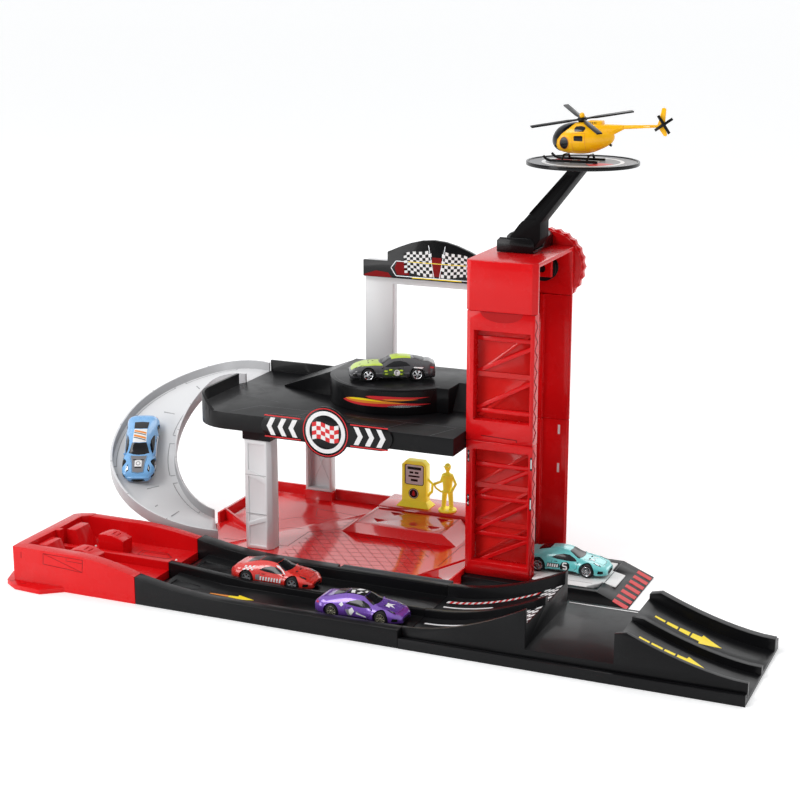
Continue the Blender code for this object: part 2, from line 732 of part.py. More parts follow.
def track_floor(x):
    """Height of the approach track's lanes: a short pit, the entry ramp, then level."""
    start = TRACK_SEAM_X + ENTRY_PIT_LENGTH
    share = min(1.0, max(0.0, 1.0 - (x - start) / ENTRY_RAMP_RUN))
    return LANE_FLOOR_Z + (ENTRY_RAMP_Z - LANE_FLOOR_Z) * share


def make_approach_track():
    """Black two-lane track with an entry ramp, a divider and a seat for the guard rail."""
    start = TRACK_SEAM_X
    end = TRACK_JOIN_X
    curved = spread(start, start + ENTRY_WALL_RUN, 8) + [end]
    front = prism(under_curve(curved, track_wall, 0.0), TRACK_FRONT_Y, LANE_1_FRONT_Y, "Y")
    back = prism(under_curve(curved, track_wall, 0.0), LANE_2_BACK_Y, TRACK_BACK_Y, "Y")
    divider = prism(under_curve(curved, track_divider, 0.001), LANE_1_BACK_Y, LANE_2_FRONT_Y, "Y")
    pit_end = start + ENTRY_PIT_LENGTH
    lanes = [start, pit_end, pit_end, pit_end + ENTRY_RAMP_RUN, end]
    heights = [ENTRY_PIT_Z, ENTRY_PIT_Z, ENTRY_RAMP_Z, LANE_FLOOR_Z, LANE_FLOOR_Z]
    floor_outline = list(zip(lanes, heights)) + [(end, 0.0), (start, 0.0)]
    floor = prism(floor_outline, LANE_1_FRONT_Y - WALL, LANE_2_BACK_Y + WALL, "Y")
    body = unite(front, back, divider, floor)

    # Hollow underside
    cavity_top = [(x, z - FLOOR) for x, z in zip(lanes, heights)]
    cavity_top[0] = (start + WALL, ENTRY_PIT_Z - FLOOR)
    cavity_top[1] = (pit_end + WALL, ENTRY_PIT_Z - FLOOR)
    cavity_top[2] = (pit_end + WALL, track_floor(pit_end + WALL) - FLOOR)
    cavity_top[4] = (end - WALL, LANE_FLOOR_Z - FLOOR)
    cavity = prism(cavity_top + [(end - WALL, -WALL), (start + WALL, -WALL)],
                   TRACK_FRONT_Y + WALL, TRACK_BACK_Y - WALL, "Y")
    inner = [start + WALL] + curved[1:-1] + [end - WALL]
    ridges = []
    for low_y, high_y in ((TRACK_FRONT_Y, LANE_1_FRONT_Y), (LANE_2_BACK_Y, TRACK_BACK_Y)):
        ridge = under_curve(inner, lambda x: track_wall(x) - FLOOR - rail_seat_drop(x, low_y), 0.0)
        ridges.append(prism(ridge, low_y + WALL, high_y - WALL, "Y"))
    cut(body, cavity, *ridges)

    # Recesses in the two entry ramps and the guard rail's seat
    recesses = []
    for centre_y in LANE_CENTRES:
        sunk = [(pit_end + 0.005, track_floor(pit_end + 0.005) - PANEL_RECESS),
                (pit_end + 0.028, track_floor(pit_end + 0.028) - PANEL_RECESS)]
        recesses.append(prism(sunk + [(pit_end + 0.028, 0.03), (pit_end + 0.005, 0.03)],
                              centre_y - 0.008, centre_y + 0.008, "Y"))
    seat = box((end - RAIL_LENGTH - GAP, TRACK_BACK_Y - RAIL_WIDTH - GAP, rail_low_z()), (end + WALL, 0.0, 0.03))
    cut(body, seat, *recesses)
    return finish(body, "approach_track", "black_plastic", BLACK)


def rail_low_z():
    """Level of the seat that the guard rail stands on."""
    return TRACK_WALL_Z - RAIL_HEIGHT


def rail_seat_drop(x, low_y):
    """How far the back ridge's hollow stays down to clear the guard rail's seat."""
    return RAIL_HEIGHT if low_y > LANE_1_BACK_Y else 0.0


def make_guard_rail():
    """Low rail with a sloping top along the back of the approach track."""
    right = TRACK_JOIN_X
    left = right - RAIL_LENGTH
    low = rail_low_z() + GAP
    high = low + RAIL_HEIGHT
    back = TRACK_BACK_Y
    front = back - RAIL_WIDTH
    profile = [(front, low), (back, low), (back, high), (front + 0.0035, high), (front, high - 0.0025)]
    body = prism(profile, left, right, "X")
    corner = prism([(left - WALL, high - 0.004), (left + 0.004, high + GAP), (left - WALL, high + GAP)],
                   front - WALL, back + WALL, "Y")
    cut(body, corner)
    return finish(body, "guard_rail", "grey_plastic", GREY)


# Jump tray

def takeoff_share(x):
    """Share of the way up the takeoff ramp, from 0 to 1."""
    start = JUMP_LEFT_X + TAKEOFF_FLAT
    run = TAKEOFF_LENGTH - TAKEOFF_FLAT
    return min(1.0, max(0.0, (x - start) / run))


def takeoff_floor(x):
    """Height of the takeoff lanes."""
    return LANE_FLOOR_Z + TAKEOFF_RISE * takeoff_share(x) ** RAMP_CURVE


def takeoff_wall(x):
    """Height of the takeoff ramp's front wall."""
    return takeoff_floor(x) + JUMP_WALL_START + (JUMP_WALL_END - JUMP_WALL_START) * takeoff_share(x)


def landing_share(x):
    """Share of the way up the landing ramp, from its right end."""
    return min(1.0, max(0.0, (JUMP_RIGHT_X - x) / LANDING_LENGTH))


def landing_floor(x):
    """Height of the landing lanes."""
    return LANDING_END_Z + LANDING_RISE * landing_share(x) ** (RAMP_CURVE - 0.2)


def landing_notch(x):
    """Share of the slanted corner at the landing walls' high ends."""
    landing_start = JUMP_RIGHT_X - LANDING_LENGTH
    return max(0.0, 1.0 - (x - landing_start) / LANDING_CHAMFER)


def ramp_solid(stations, floor, wall, divider, back_wall):
    """Front wall, lanes, divider and back wall over the stations."""
    front_low = TRACK_FRONT_Y + TRAY_LIP_WIDTH + TRAY_GROOVE_WIDTH
    over = WALL / 4

    def lane_prism(step, height, low_y, high_y):
        """Solid under one curve, run a little past both ends and the underside."""
        longer = [stations[0] - over * step] + stations[1:-1] + [stations[-1] + over * step]
        if stations[-1] < JUMP_RIGHT_X:
            longer[-1] = stations[-1]
        else:
            longer[0] = stations[0]
        return prism(under_curve(longer, height, -over * step), low_y, high_y, "Y")

    pieces = [
        lane_prism(3, wall, front_low, LANE_1_FRONT_Y),
        lane_prism(4, floor, LANE_1_FRONT_Y - WALL, LANE_2_BACK_Y + WALL),
        lane_prism(3, divider, LANE_1_BACK_Y, LANE_2_FRONT_Y),
        lane_prism(3, back_wall, LANE_2_BACK_Y, LANE_2_BACK_Y + BACK_SIDE_WIDTH / 2),
    ]
    return pieces


def make_jump_tray():
    """Long black tray with a curved takeoff ramp, a level plate and a curved landing ramp."""
    left = JUMP_LEFT_X
    right = JUMP_RIGHT_X
    takeoff_end = left + TAKEOFF_LENGTH
    landing_start = right - LANDING_LENGTH
    over = WALL / 4
    lip = box((left - over, TRACK_FRONT_Y, -over), (right + over, TRACK_FRONT_Y + TRAY_LIP_WIDTH, TRAY_LIP_Z))
    groove = box((left - over * 2, TRACK_FRONT_Y + WALL, -over * 2), (right + over * 2, LANE_1_FRONT_Y, TRAY_GROOVE_Z))
    plate = box((takeoff_end - WALL, TRACK_FRONT_Y + TRAY_LIP_WIDTH + TRAY_GROOVE_WIDTH, -over * 3),
                (landing_start + WALL, TRACK_BACK_Y, TRAY_PLATE_Z))
    back_lip = box((left - over, LANE_2_BACK_Y, -over), (right + over, TRACK_BACK_Y, TRAY_LIP_Z))
    rising = [left] + spread(left + TAKEOFF_FLAT, takeoff_end, 10)
    falling = [landing_start, landing_start + LANDING_CHAMFER] + spread(landing_start, right, 10)[2:]
    takeoff = ramp_solid(rising, takeoff_floor, takeoff_wall, lambda x: takeoff_floor(x) + DIVIDER_HEIGHT,
                         lambda x: takeoff_floor(x) + JUMP_BACK_WALL)
    landing = ramp_solid(falling, landing_floor,
                         lambda x: landing_floor(x) + LANDING_WALL - landing_notch(x) * 0.006,
                         lambda x: landing_floor(x) + DIVIDER_HEIGHT - landing_notch(x) * 0.0035,
                         lambda x: landing_floor(x) + JUMP_BACK_WALL - landing_notch(x) * 0.006)
    body = unite(lip, groove, plate, back_lip, *takeoff, *landing)

    # The pieces run past the tray's ends and underside, and are trimmed together
    far = TRACK_FRONT_Y - WALL * 2
    cut(body, box((left - WALL * 2, far, -WALL * 2), (left, 0.0, 0.05)),
        box((right, far, -WALL * 2), (right + WALL * 2, 0.0, 0.05)),
        box((left - WALL * 2, far, -WALL * 3), (right + WALL * 2, 0.0, 0.0)))

    # Hollow underside, under the plate, the lanes and the lips
    inner_rising = [left + WALL] + rising[1:-1] + [takeoff_end - WALL]
    inner_falling = [landing_start + WALL] + falling[1:-1] + [right - WALL]
    front_y = TRACK_FRONT_Y + TRAY_LIP_WIDTH + TRAY_GROOVE_WIDTH + WALL
    cavities = [
        box((left + WALL, TRACK_FRONT_Y + WALL, -WALL), (right - WALL, TRACK_BACK_Y - WALL, LANDING_END_Z - FLOOR)),
        box((takeoff_end, front_y, 0.0), (landing_start, TRACK_BACK_Y - WALL, TRAY_PLATE_Z - FLOOR)),
        prism(under_curve(inner_rising, lambda x: takeoff_floor(x) - FLOOR, 0.0), front_y,
              LANE_2_BACK_Y + WALL, "Y"),
        prism(under_curve(inner_falling, lambda x: landing_floor(x) - FLOOR, 0.0), front_y,
              LANE_2_BACK_Y + WALL, "Y"),
    ]
    cut(body, *cavities)
    return finish(body, "jump_tray", "black_plastic", BLACK)


# Garage base

def base_cavity_walls():
    """The base's floor shell is hollow underneath, except at the feet."""
    return box((BASE_LEFT_X + WALL, BASE_FRONT_Y + WALL, -WALL),
               (BASE_RIGHT_X - WALL, BASE_BACK_Y - WALL, BASE_FLOOR_Z - FLOOR))


def make_garage_base():
    """Red base with raised rims, the service pad and island, the spiral's chute and the feet."""
    floor = box((BASE_LEFT_X, BASE_FRONT_Y, 0.0), (BASE_RIGHT_X, BASE_BACK_Y, BASE_FLOOR_Z))
    cut(floor, base_cavity_walls())
    back_rim = box((BASE_LEFT_X, BASE_BACK_Y - WALL, 0.0), (BASE_RIGHT_X, BASE_BACK_Y, BASE_RIM_Z))
    left_rim = box((BASE_LEFT_X, SPIRAL_Y - SPIRAL_INNER_RADIUS, 0.0),
                   (BASE_LEFT_X + WALL, BASE_BACK_Y, BASE_RIM_Z))
    boss_left = REAR_COLUMN_X - REAR_COLUMN_WIDTH / 2 - SOCKET_MARGIN
    boss_right = REAR_COLUMN_X + REAR_COLUMN_WIDTH / 2 + SOCKET_MARGIN
    boss_front = BASE_BACK_Y - REAR_COLUMN_DEPTH - SOCKET_MARGIN
    root = BASE_FLOOR_Z - FLOOR / 2
    boss = box((boss_left, boss_front, root), (boss_right, BASE_BACK_Y, REAR_BOSS_Z))
    island = box((ISLAND_LEFT, ISLAND_FRONT, root), (BASE_RIGHT_X, BASE_BACK_Y, ISLAND_Z))
    run = PAD_SLOPE_RUN
    pad_side = prism([(PAD_LEFT - run, root), (PAD_RIGHT + run, root),
                      (PAD_RIGHT + run, BASE_FLOOR_Z), (PAD_RIGHT, PAD_Z), (PAD_LEFT, PAD_Z),
                      (PAD_LEFT - run, BASE_FLOOR_Z)], PAD_FRONT, ISLAND_FRONT + WALL, "Y")
    feet = [cylinder((x, y, 0.0), (x, y, BASE_FLOOR_Z - FLOOR / 2), FOOT_RADIUS, 20)
            for x, y in ((0.0, 0.0), (BASE_LEFT_X * 0.8, BASE_FRONT_Y * 0.75), (BASE_RIGHT_X * 0.8, BASE_FRONT_Y * 0.75),
                         (BASE_LEFT_X * 0.8, BASE_BACK_Y * 0.75), (BASE_RIGHT_X * 0.8, BASE_BACK_Y * 0.75))]
    column_low = box((FRONT_COLUMN_X - FRONT_COLUMN_WIDTH / 2 - SOCKET_MARGIN, BASE_FRONT_Y, root),
                     (FRONT_COLUMN_X + FRONT_COLUMN_WIDTH / 2 + SOCKET_MARGIN, BASE_FRONT_Y + WALL,
                      BASE_FLOOR_Z + 0.003))
    body = unite(floor, back_rim, left_rim, boss, island, pad_side, column_low, *feet, *chute_walls())
    cut(body, *base_hollows())
    return finish(body, "garage_base", "red_plastic", RED)


def spiral_end_points():
    """Inner and outer ends of the spiral's lower edge in plan."""
    angle = math.radians(SPIRAL_END_DEG)
    inner = (SPIRAL_X + SPIRAL_INNER_RADIUS * math.cos(angle), SPIRAL_Y + SPIRAL_INNER_RADIUS * math.sin(angle))
    outer = (SPIRAL_X + SPIRAL_OUTER_RADIUS * math.cos(angle), SPIRAL_Y + SPIRAL_OUTER_RADIUS * math.sin(angle))
    return inner, outer


def chute_walls():
    """Two low walls on the base that take the cars over from the spiral's end."""
    inner, outer = spiral_end_points()
    low = BASE_FLOOR_Z - FLOOR / 2
    inner_start = (BASE_LEFT_X, inner[1] + 0.0075)
    inner_end = (inner_start[0] + 0.050, inner_start[1] - 0.030)
    guide = wall_strip([inner_start, ((inner_start[0] + inner_end[0]) / 2, (inner_start[1] + inner_end[1]) / 2),
                        inner_end], low, [CHUTE_WALL_Z, BASE_FLOOR_Z + 0.006, BASE_FLOOR_Z + 0.0006], WALL)
    front_start = outer[0] + GAP * 4
    front_end = FRONT_COLUMN_X - FRONT_COLUMN_WIDTH / 2 - SOCKET_MARGIN
    front = prism([(front_start, low), (front_end + GAP, low), (front_end + GAP, BASE_FLOOR_Z + 0.003),
                   (front_start, BASE_FLOOR_Z + 0.0065)], BASE_FRONT_Y, BASE_FRONT_Y + WALL, "Y")
    return [guide, front]


def base_hollows():
    """Hollows under the boss, the island and the pad, the pad's recesses and the front pit."""
    boss_left = REAR_COLUMN_X - REAR_COLUMN_WIDTH / 2 - SOCKET_MARGIN + WALL
    boss_right = REAR_COLUMN_X + REAR_COLUMN_WIDTH / 2 + SOCKET_MARGIN - WALL
    boss_front = BASE_BACK_Y - REAR_COLUMN_DEPTH - SOCKET_MARGIN + WALL
    inner_run = PAD_SLOPE_RUN * 0.5
    low = BASE_FLOOR_Z - FLOOR - 0.001
    foot_left = BASE_RIGHT_X * 0.8 - FOOT_RADIUS - WALL
    foot_right = BASE_RIGHT_X * 0.8 + FOOT_RADIUS + WALL
    hollows = [
        box((boss_left, boss_front, low), (boss_right, BASE_BACK_Y - WALL, REAR_BOSS_Z - FLOOR)),
        box((foot_right, ISLAND_FRONT + WALL * 2, low), (BASE_RIGHT_X - WALL, BASE_BACK_Y - WALL, ISLAND_Z - FLOOR)),
        box((ISLAND_LEFT + WALL, ISLAND_FRONT + WALL * 2, low), (foot_left, BASE_BACK_Y - WALL, ISLAND_Z - FLOOR)),
        box((PAD_LEFT + inner_run, PAD_FRONT + FOOT_RADIUS + WALL, low), (PAD_RIGHT - inner_run, ISLAND_FRONT - WALL,
            PAD_Z - FLOOR - PAD_RECESS_DEPTH)),
    ]
    hollows.append(box((boss_left - WALL, boss_front, REAR_BOSS_Z), (boss_right + WALL, BASE_BACK_Y + WALL, 0.03)))
    side = 0.0075
    for x, y in ((0.020, 0.014), (0.073, 0.014), (0.027, 0.037), (0.073, 0.037)):
        triangle = [(x - side, y + side * 0.6), (x, y - side * 0.6), (x + side, y + side * 0.6)]
        hollows.append(prism(triangle, PAD_Z - PAD_RECESS_DEPTH, PAD_Z + WALL))
    pit = [(BASE_RIGHT_X - PIT_CORNER, BASE_FRONT_Y + WALL), (BASE_RIGHT_X - WALL, BASE_FRONT_Y + WALL),
           (BASE_RIGHT_X - WALL, BASE_FRONT_Y + PIT_CORNER * 2.2)]
    hollows.append(prism(pit, BASE_FLOOR_Z - PIT_DEPTH, BASE_FLOOR_Z + WALL))
    return hollows


# Columns

def make_front_column():
    """Pale column at the deck's front left, with sunk panels on its faces and an open foot."""
    left = FRONT_COLUMN_X - FRONT_COLUMN_WIDTH / 2
    right = FRONT_COLUMN_X + FRONT_COLUMN_WIDTH / 2
    front = FRONT_COLUMN_Y - FRONT_COLUMN_DEPTH / 2
    back = FRONT_COLUMN_Y + FRONT_COLUMN_DEPTH / 2
    low = BASE_FLOOR_Z + GAP
    high = COLUMN_TOP_Z
    chamfer = 0.0035
    plan = [(left, front), (right - chamfer, front), (right, front + chamfer), (right, back), (left, back)]
    body = prism(plan, low, high)
    hollow = box((left + WALL, front + WALL, low - WALL), (right - WALL, back - WALL, high - FLOOR))
    panel_left = left + 0.0035
    panel_right = right - chamfer - 0.002
    tall_low = low + 0.030
    tall_high = low + 0.060
    rise = 0.006
    panels = [
        [(panel_left, low + 0.003), (panel_right, low + 0.003), (panel_right, low + 0.026), (panel_left, low + 0.020)],
        [(panel_left, tall_low - rise), (panel_right, tall_low), (panel_right, tall_high), (panel_left, tall_high + rise)],
        [(panel_left, tall_high + rise + 0.006), (panel_right, tall_high + 0.006), (panel_right, high - 0.004),
         (panel_left, high - 0.004)],
    ]
    cuts = [prism(panel, front - WALL, front + PANEL_RECESS, "Y") for panel in panels]
    cut(body, hollow, *cuts)
    return finish(body, "front_column", "pale_plastic", PALE)


def make_rear_column():
    """Pale channel column at the deck's back, open at the front with crossed braces."""
    left = REAR_COLUMN_X - REAR_COLUMN_WIDTH / 2
    right = REAR_COLUMN_X + REAR_COLUMN_WIDTH / 2
    front = BASE_BACK_Y - REAR_COLUMN_DEPTH
    back = BASE_BACK_Y
    low = REAR_BOSS_Z + GAP
    high = DECK_LOW_Z - GAP
    body = box((left, front, low), (right, back, high))
    hollow = box((left + WALL, front - WALL, low + WALL), (right - WALL, back - WALL, high - WALL))
    cut(body, hollow)
    brace_y = back - WALL
    foot = low + WALL - GAP
    middle = (low + high) / 2
    inner_left = left + WALL - GAP
    inner_right = right - WALL + GAP
    braces = []
    for start_z, end_z in ((foot, middle), (middle, high - WALL + GAP)):
        braces.append(rod([(inner_left, brace_y, start_z), (inner_right, brace_y, end_z)], BRACE_RADIUS, resolution=0))
        braces.append(rod([(inner_right, brace_y, start_z), (inner_left, brace_y, end_z)], BRACE_RADIUS, resolution=0))
    unite(body, *braces)
    return finish(body, "rear_column", "pale_plastic", PALE)


# Deck

def deck_outline():
    """Counter-clockwise plan of the parking deck."""
    corner = (DECK_LEFT_X + DECK_CORNER_RADIUS, DECK_FRONT_Y + DECK_CORNER_RADIUS)
    points = arc(corner, DECK_CORNER_RADIUS, 180, 270, 10)
    points += [(DECK_RIGHT_X, DECK_FRONT_Y), (DECK_RIGHT_X, DECK_BACK_Y), (DECK_MOUTH_X, DECK_BACK_Y),
               (DECK_MOUTH_X, DECK_MOUTH_Y), (DECK_LEFT_X, DECK_MOUTH_Y - 0.009)]
    return points


def make_deck():
    """Black parking deck: a shell with a left parapet, a back wall and sockets for its supports."""
    outline = deck_outline()
    body = prism(outline, DECK_LOW_Z, DECK_TOP_Z)
    hollow = prism(inset(outline, WALL), DECK_LOW_Z - WALL, DECK_TOP_Z - FLOOR)
    cut(body, hollow)
    corner = (DECK_LEFT_X + DECK_CORNER_RADIUS, DECK_FRONT_Y + DECK_CORNER_RADIUS)
    curve = arc(corner, DECK_CORNER_RADIUS, 250, 180, 8) + [(DECK_LEFT_X, -0.010), (DECK_LEFT_X, DECK_MOUTH_Y - 0.0092)]
    rise = [0.0005, 0.35, 0.65, 0.88, 1.0]
    tops = []
    for index in range(len(curve)):
        share = rise[index] if index < len(rise) else 1.0
        tops.append(DECK_TOP_Z + DECK_PARAPET * share)
    parapet = wall_strip(curve, DECK_TOP_Z - FLOOR / 2, tops, -WALL)
    back_wall = box((DECK_MOUTH_X, DECK_BACK_Y - WALL, DECK_TOP_Z - FLOOR),
                    (DECK_RIGHT_X, DECK_BACK_Y, DECK_TOP_Z + DECK_PARAPET))
    front_socket = box((FRONT_COLUMN_X - FRONT_COLUMN_WIDTH / 2 - SOCKET_MARGIN,
                        FRONT_COLUMN_Y - FRONT_COLUMN_DEPTH / 2 - SOCKET_MARGIN, COLUMN_TOP_Z + GAP),
                       (FRONT_COLUMN_X + FRONT_COLUMN_WIDTH / 2 + SOCKET_MARGIN,
                        FRONT_COLUMN_Y + FRONT_COLUMN_DEPTH / 2 + SOCKET_MARGIN, DECK_TOP_Z - FLOOR / 2))
    pieces = [parapet, back_wall, front_socket]
    rear_plate_front = BASE_BACK_Y - REAR_COLUMN_DEPTH - SOCKET_MARGIN
    pieces.append(box((REAR_COLUMN_X - REAR_COLUMN_WIDTH / 2 - SOCKET_MARGIN, rear_plate_front, DECK_LOW_Z),
                      (REAR_COLUMN_X + REAR_COLUMN_WIDTH / 2 + SOCKET_MARGIN, BASE_BACK_Y, DECK_LOW_Z + WALL)))
    for leg_x in (ARCH_LEFT_X, ARCH_RIGHT_X):
        half = ARCH_LEG_WIDTH / 2 + SOCKET_MARGIN
        low_x = leg_x - half
        high_x = min(leg_x + half, DECK_RIGHT_X)
        pieces.append(box((low_x, DECK_BACK_Y - WALL, DECK_LOW_Z), (high_x, ARCH_FRONT_Y + ARCH_DEPTH, DECK_TOP_Z - GAP)))
    unite(body, *pieces)
    return finish(body, "deck", "black_plastic", BLACK)


def stage_outline():
    """Counter-clockwise plan of the raised stage's top."""
    start = 180 + math.degrees(math.acos((STAGE_X - STAGE_LEFT_X) / STAGE_RADIUS))
    side_deg = -math.degrees(math.acos((STAGE_SIDE_X - 0.011 - STAGE_X) / STAGE_RADIUS))
    points = [(STAGE_LEFT_X, STAGE_BACK_Y)]
    points += arc((STAGE_X, STAGE_Y), STAGE_RADIUS, start, 360 + side_deg, 20)
    side_y = points[-1][1]
    points += [(STAGE_SIDE_X, side_y), (STAGE_SIDE_X, STAGE_BACK_Y)]
    return points


def make_stage():
    """Raised black stage with a curved front, a left drive-up ramp and a slope beside the tower."""
    low = DECK_TOP_Z + GAP
    outline = stage_outline()
    body = prism(outline, low, STAGE_TOP_Z)
    right = DECK_RIGHT_X - GAP
    slope = prism([(STAGE_SLOPE_FOOT_Y, low), (STAGE_BACK_Y, low), (STAGE_BACK_Y, STAGE_TOP_Z),
                   (STAGE_SLOPE_TOP_Y, STAGE_TOP_Z)], STAGE_SIDE_X - WALL, right, "X")
    front_left_y = outline[1][1]
    ramp = loft([
        [(STAGE_RAMP_FOOT_X, STAGE_RAMP_FOOT_Y, low), (STAGE_RAMP_FOOT_X, STAGE_BACK_Y - 0.005, low),
         (STAGE_RAMP_FOOT_X, STAGE_BACK_Y - 0.005, low + 0.0008), (STAGE_RAMP_FOOT_X, STAGE_RAMP_FOOT_Y, low + 0.0008)],
        [(STAGE_LEFT_X + WALL / 2, front_left_y - 0.006, low), (STAGE_LEFT_X + WALL / 2, STAGE_BACK_Y, low),
         (STAGE_LEFT_X + WALL / 2, STAGE_BACK_Y, STAGE_TOP_Z), (STAGE_LEFT_X + WALL / 2, front_left_y, STAGE_TOP_Z)],
    ])
    unite(body, slope, ramp)
    hollow = prism(inset(outline, WALL), low - WALL, STAGE_TOP_Z - FLOOR)
    slope_hollow = prism([(STAGE_SLOPE_FOOT_Y + WALL * 2, low - WALL), (STAGE_BACK_Y - WALL, low - WALL),
                          (STAGE_BACK_Y - WALL, STAGE_TOP_Z - FLOOR), (STAGE_SLOPE_TOP_Y + WALL, STAGE_TOP_Z - FLOOR),
                          (STAGE_SLOPE_FOOT_Y + WALL * 2, low + 0.001)],
                         STAGE_SIDE_X - WALL * 2, right - WALL, "X")
    ramp_start = STAGE_RAMP_FOOT_X + 0.012
    ramp_hollow = loft([
        [(ramp_start, STAGE_RAMP_FOOT_Y + 0.002, low - WALL), (ramp_start, STAGE_BACK_Y - 0.005 - WALL, low - WALL),
         (ramp_start, STAGE_BACK_Y - 0.005 - WALL, low + 0.002), (ramp_start, STAGE_RAMP_FOOT_Y + 0.002, low + 0.002)],
        [(STAGE_LEFT_X + WALL * 2, front_left_y + WALL, low - WALL), (STAGE_LEFT_X + WALL * 2, STAGE_BACK_Y - WALL, low - WALL),
         (STAGE_LEFT_X + WALL * 2, STAGE_BACK_Y - WALL, STAGE_TOP_Z - FLOOR * 1.3),
         (STAGE_LEFT_X + WALL * 2, front_left_y + WALL, STAGE_TOP_Z - FLOOR * 1.3)],
    ])
    cut(body, hollow, slope_hollow, ramp_hollow)
    return finish(body, "deck_stage", "black_plastic", BLACK)


# Sign board and arch

def make_sign_board():
    """Board on the deck's front edge: a bar with round ends and a round bulge."""
    middle_z = (BOARD_LOW_Z + BOARD_HIGH_Z) / 2
    radius = (BOARD_HIGH_Z - BOARD_LOW_Z) / 2
    outline = arc((BOARD_LEFT_X + radius, middle_z), radius, 90, 270, 10)
    outline += arc((BOARD_RIGHT_X - radius, middle_z), radius, -90, 90, 10)
    back = DECK_FRONT_Y - GAP
    front = back - BOARD_THICKNESS
    body = prism(outline, front, back, "Y")
    bulge = prism(arc((BOARD_BULGE_X, middle_z), BOARD_BULGE_RADIUS, 0, 360, 28)[:-1], front, back, "Y")
    unite(body, bulge)
    return finish(body, "sign_board", "black_plastic", BLACK)


def make_arch_frame():
    """Pale gate behind the deck: two legs and a beam, hollow at the back."""
    half = ARCH_LEG_WIDTH / 2
    left = ARCH_LEFT_X - half
    right = min(ARCH_RIGHT_X + half, DECK_RIGHT_X)
    foot = DECK_TOP_Z
    inner_left = ARCH_LEFT_X + half
    inner_right = ARCH_RIGHT_X - half
    outline = [(left, foot), (inner_left, foot), (inner_left, ARCH_BEAM_Z), (inner_right, ARCH_BEAM_Z),
               (inner_right, foot), (right, foot), (right, ARCH_TOP_Z), (left, ARCH_TOP_Z)]
    front = ARCH_FRONT_Y
    back = front + ARCH_DEPTH
    body = prism(outline, front, back, "Y")
    hollow = prism(inset(outline, WALL), front + WALL, back + WALL, "Y")
    cut(body, hollow)
    return finish(body, "arch_frame", "pale_plastic", PALE)


def make_arch_sign():
    """Black sign on the arch: a band with sloping ends and a raised crest."""
    left = ARCH_LEFT_X - ARCH_LEG_WIDTH / 2
    right = min(ARCH_RIGHT_X + ARCH_LEG_WIDTH / 2, DECK_RIGHT_X)
    crest_left = left + 0.0243
    crest_right = right - 0.0243
    rise = ARCH_SIGN_PEAK_Z - ARCH_SIGN_SHOULDER_Z
    outline = [(left, ARCH_SIGN_LOW_Z), (right, ARCH_SIGN_LOW_Z), (right, ARCH_SIGN_SHOULDER_Z),
               (crest_right, ARCH_SIGN_SHOULDER_Z)]
    for step in range(9):
        share = step / 8
        x = crest_right + (crest_left - crest_right) * share
        outline.append((x, ARCH_SIGN_SHOULDER_Z + rise * (0.4 + 0.6 * math.sin(math.pi * share))))
    outline += [(crest_left, ARCH_SIGN_SHOULDER_Z), (left, ARCH_SIGN_SHOULDER_Z)]
    back = ARCH_FRONT_Y - GAP
    body = prism(outline, back - ARCH_SIGN_THICKNESS, back, "Y")
    return finish(body, "arch_sign", "black_plastic", BLACK)


# Spiral ramp

def smooth_step(share):
    """Ease from 0 to 1 with level ends."""
    return share * share * (3 - 2 * share)


def spiral_floor(share):
    """Height of the spiral's floor along its turn."""
    low = BASE_FLOOR_Z + GAP + FLOOR
    drop = DECK_TOP_Z - low
    return DECK_TOP_Z - drop * (SPIRAL_EVEN_SHARE * share + (1 - SPIRAL_EVEN_SHARE) * smooth_step(share))


def spiral_edge(share, radius, mouth_y):
    """Plan point on an edge of the spiral, eased onto the deck's mouth at its start."""
    angle = math.radians(SPIRAL_START_DEG + (SPIRAL_END_DEG - SPIRAL_START_DEG) * share)
    if radius > SPIRAL_INNER_RADIUS and share < SPIRAL_BULGE_SHARE:
        radius += SPIRAL_BULGE * math.sin(math.pi * share / SPIRAL_BULGE_SHARE) ** 2
    x = SPIRAL_X + radius * math.cos(angle)
    y = SPIRAL_Y + radius * math.sin(angle)
    if share >= SPIRAL_EASE_SHARE:
        return Vector((x, y))
    pull = (1 - share / SPIRAL_EASE_SHARE) ** 2
    start_angle = math.radians(SPIRAL_START_DEG)
    start_x = SPIRAL_X + radius * math.cos(start_angle)
    start_y = SPIRAL_Y + radius * math.sin(start_angle)
    mouth_x = DECK_MOUTH_X - GAP
    return Vector((x + (mouth_x - start_x) * pull, y + (mouth_y - start_y) * pull))


def make_spiral():
    """Pale open ramp with two low walls, from the deck's mouth down to the base."""
    sections = []
    for step in range(SPIRAL_STATIONS + 1):
        share = step / SPIRAL_STATIONS
        inner = spiral_edge(share, SPIRAL_INNER_RADIUS, DECK_MOUTH_Y)
        outer = spiral_edge(share, SPIRAL_OUTER_RADIUS, DECK_BACK_Y - WALL)
        across = (outer - inner).normalized() * WALL
        floor_z = spiral_floor(share)
        low_z = floor_z - FLOOR
        top_z = floor_z + SPIRAL_WALL_HEIGHT
        outer_in = outer - across
        inner_in = inner + across
        sections.append([
            (outer.x, outer.y, low_z), (outer.x, outer.y, top_z), (outer_in.x, outer_in.y, top_z),
            (outer_in.x, outer_in.y, floor_z), (inner_in.x, inner_in.y, floor_z), (inner_in.x, inner_in.y, top_z),
            (inner.x, inner.y, top_z), (inner.x, inner.y, low_z),
        ])
    body = loft(sections)
    return finish(body, "spiral_ramp", "pale_plastic", PALE)


# Tower

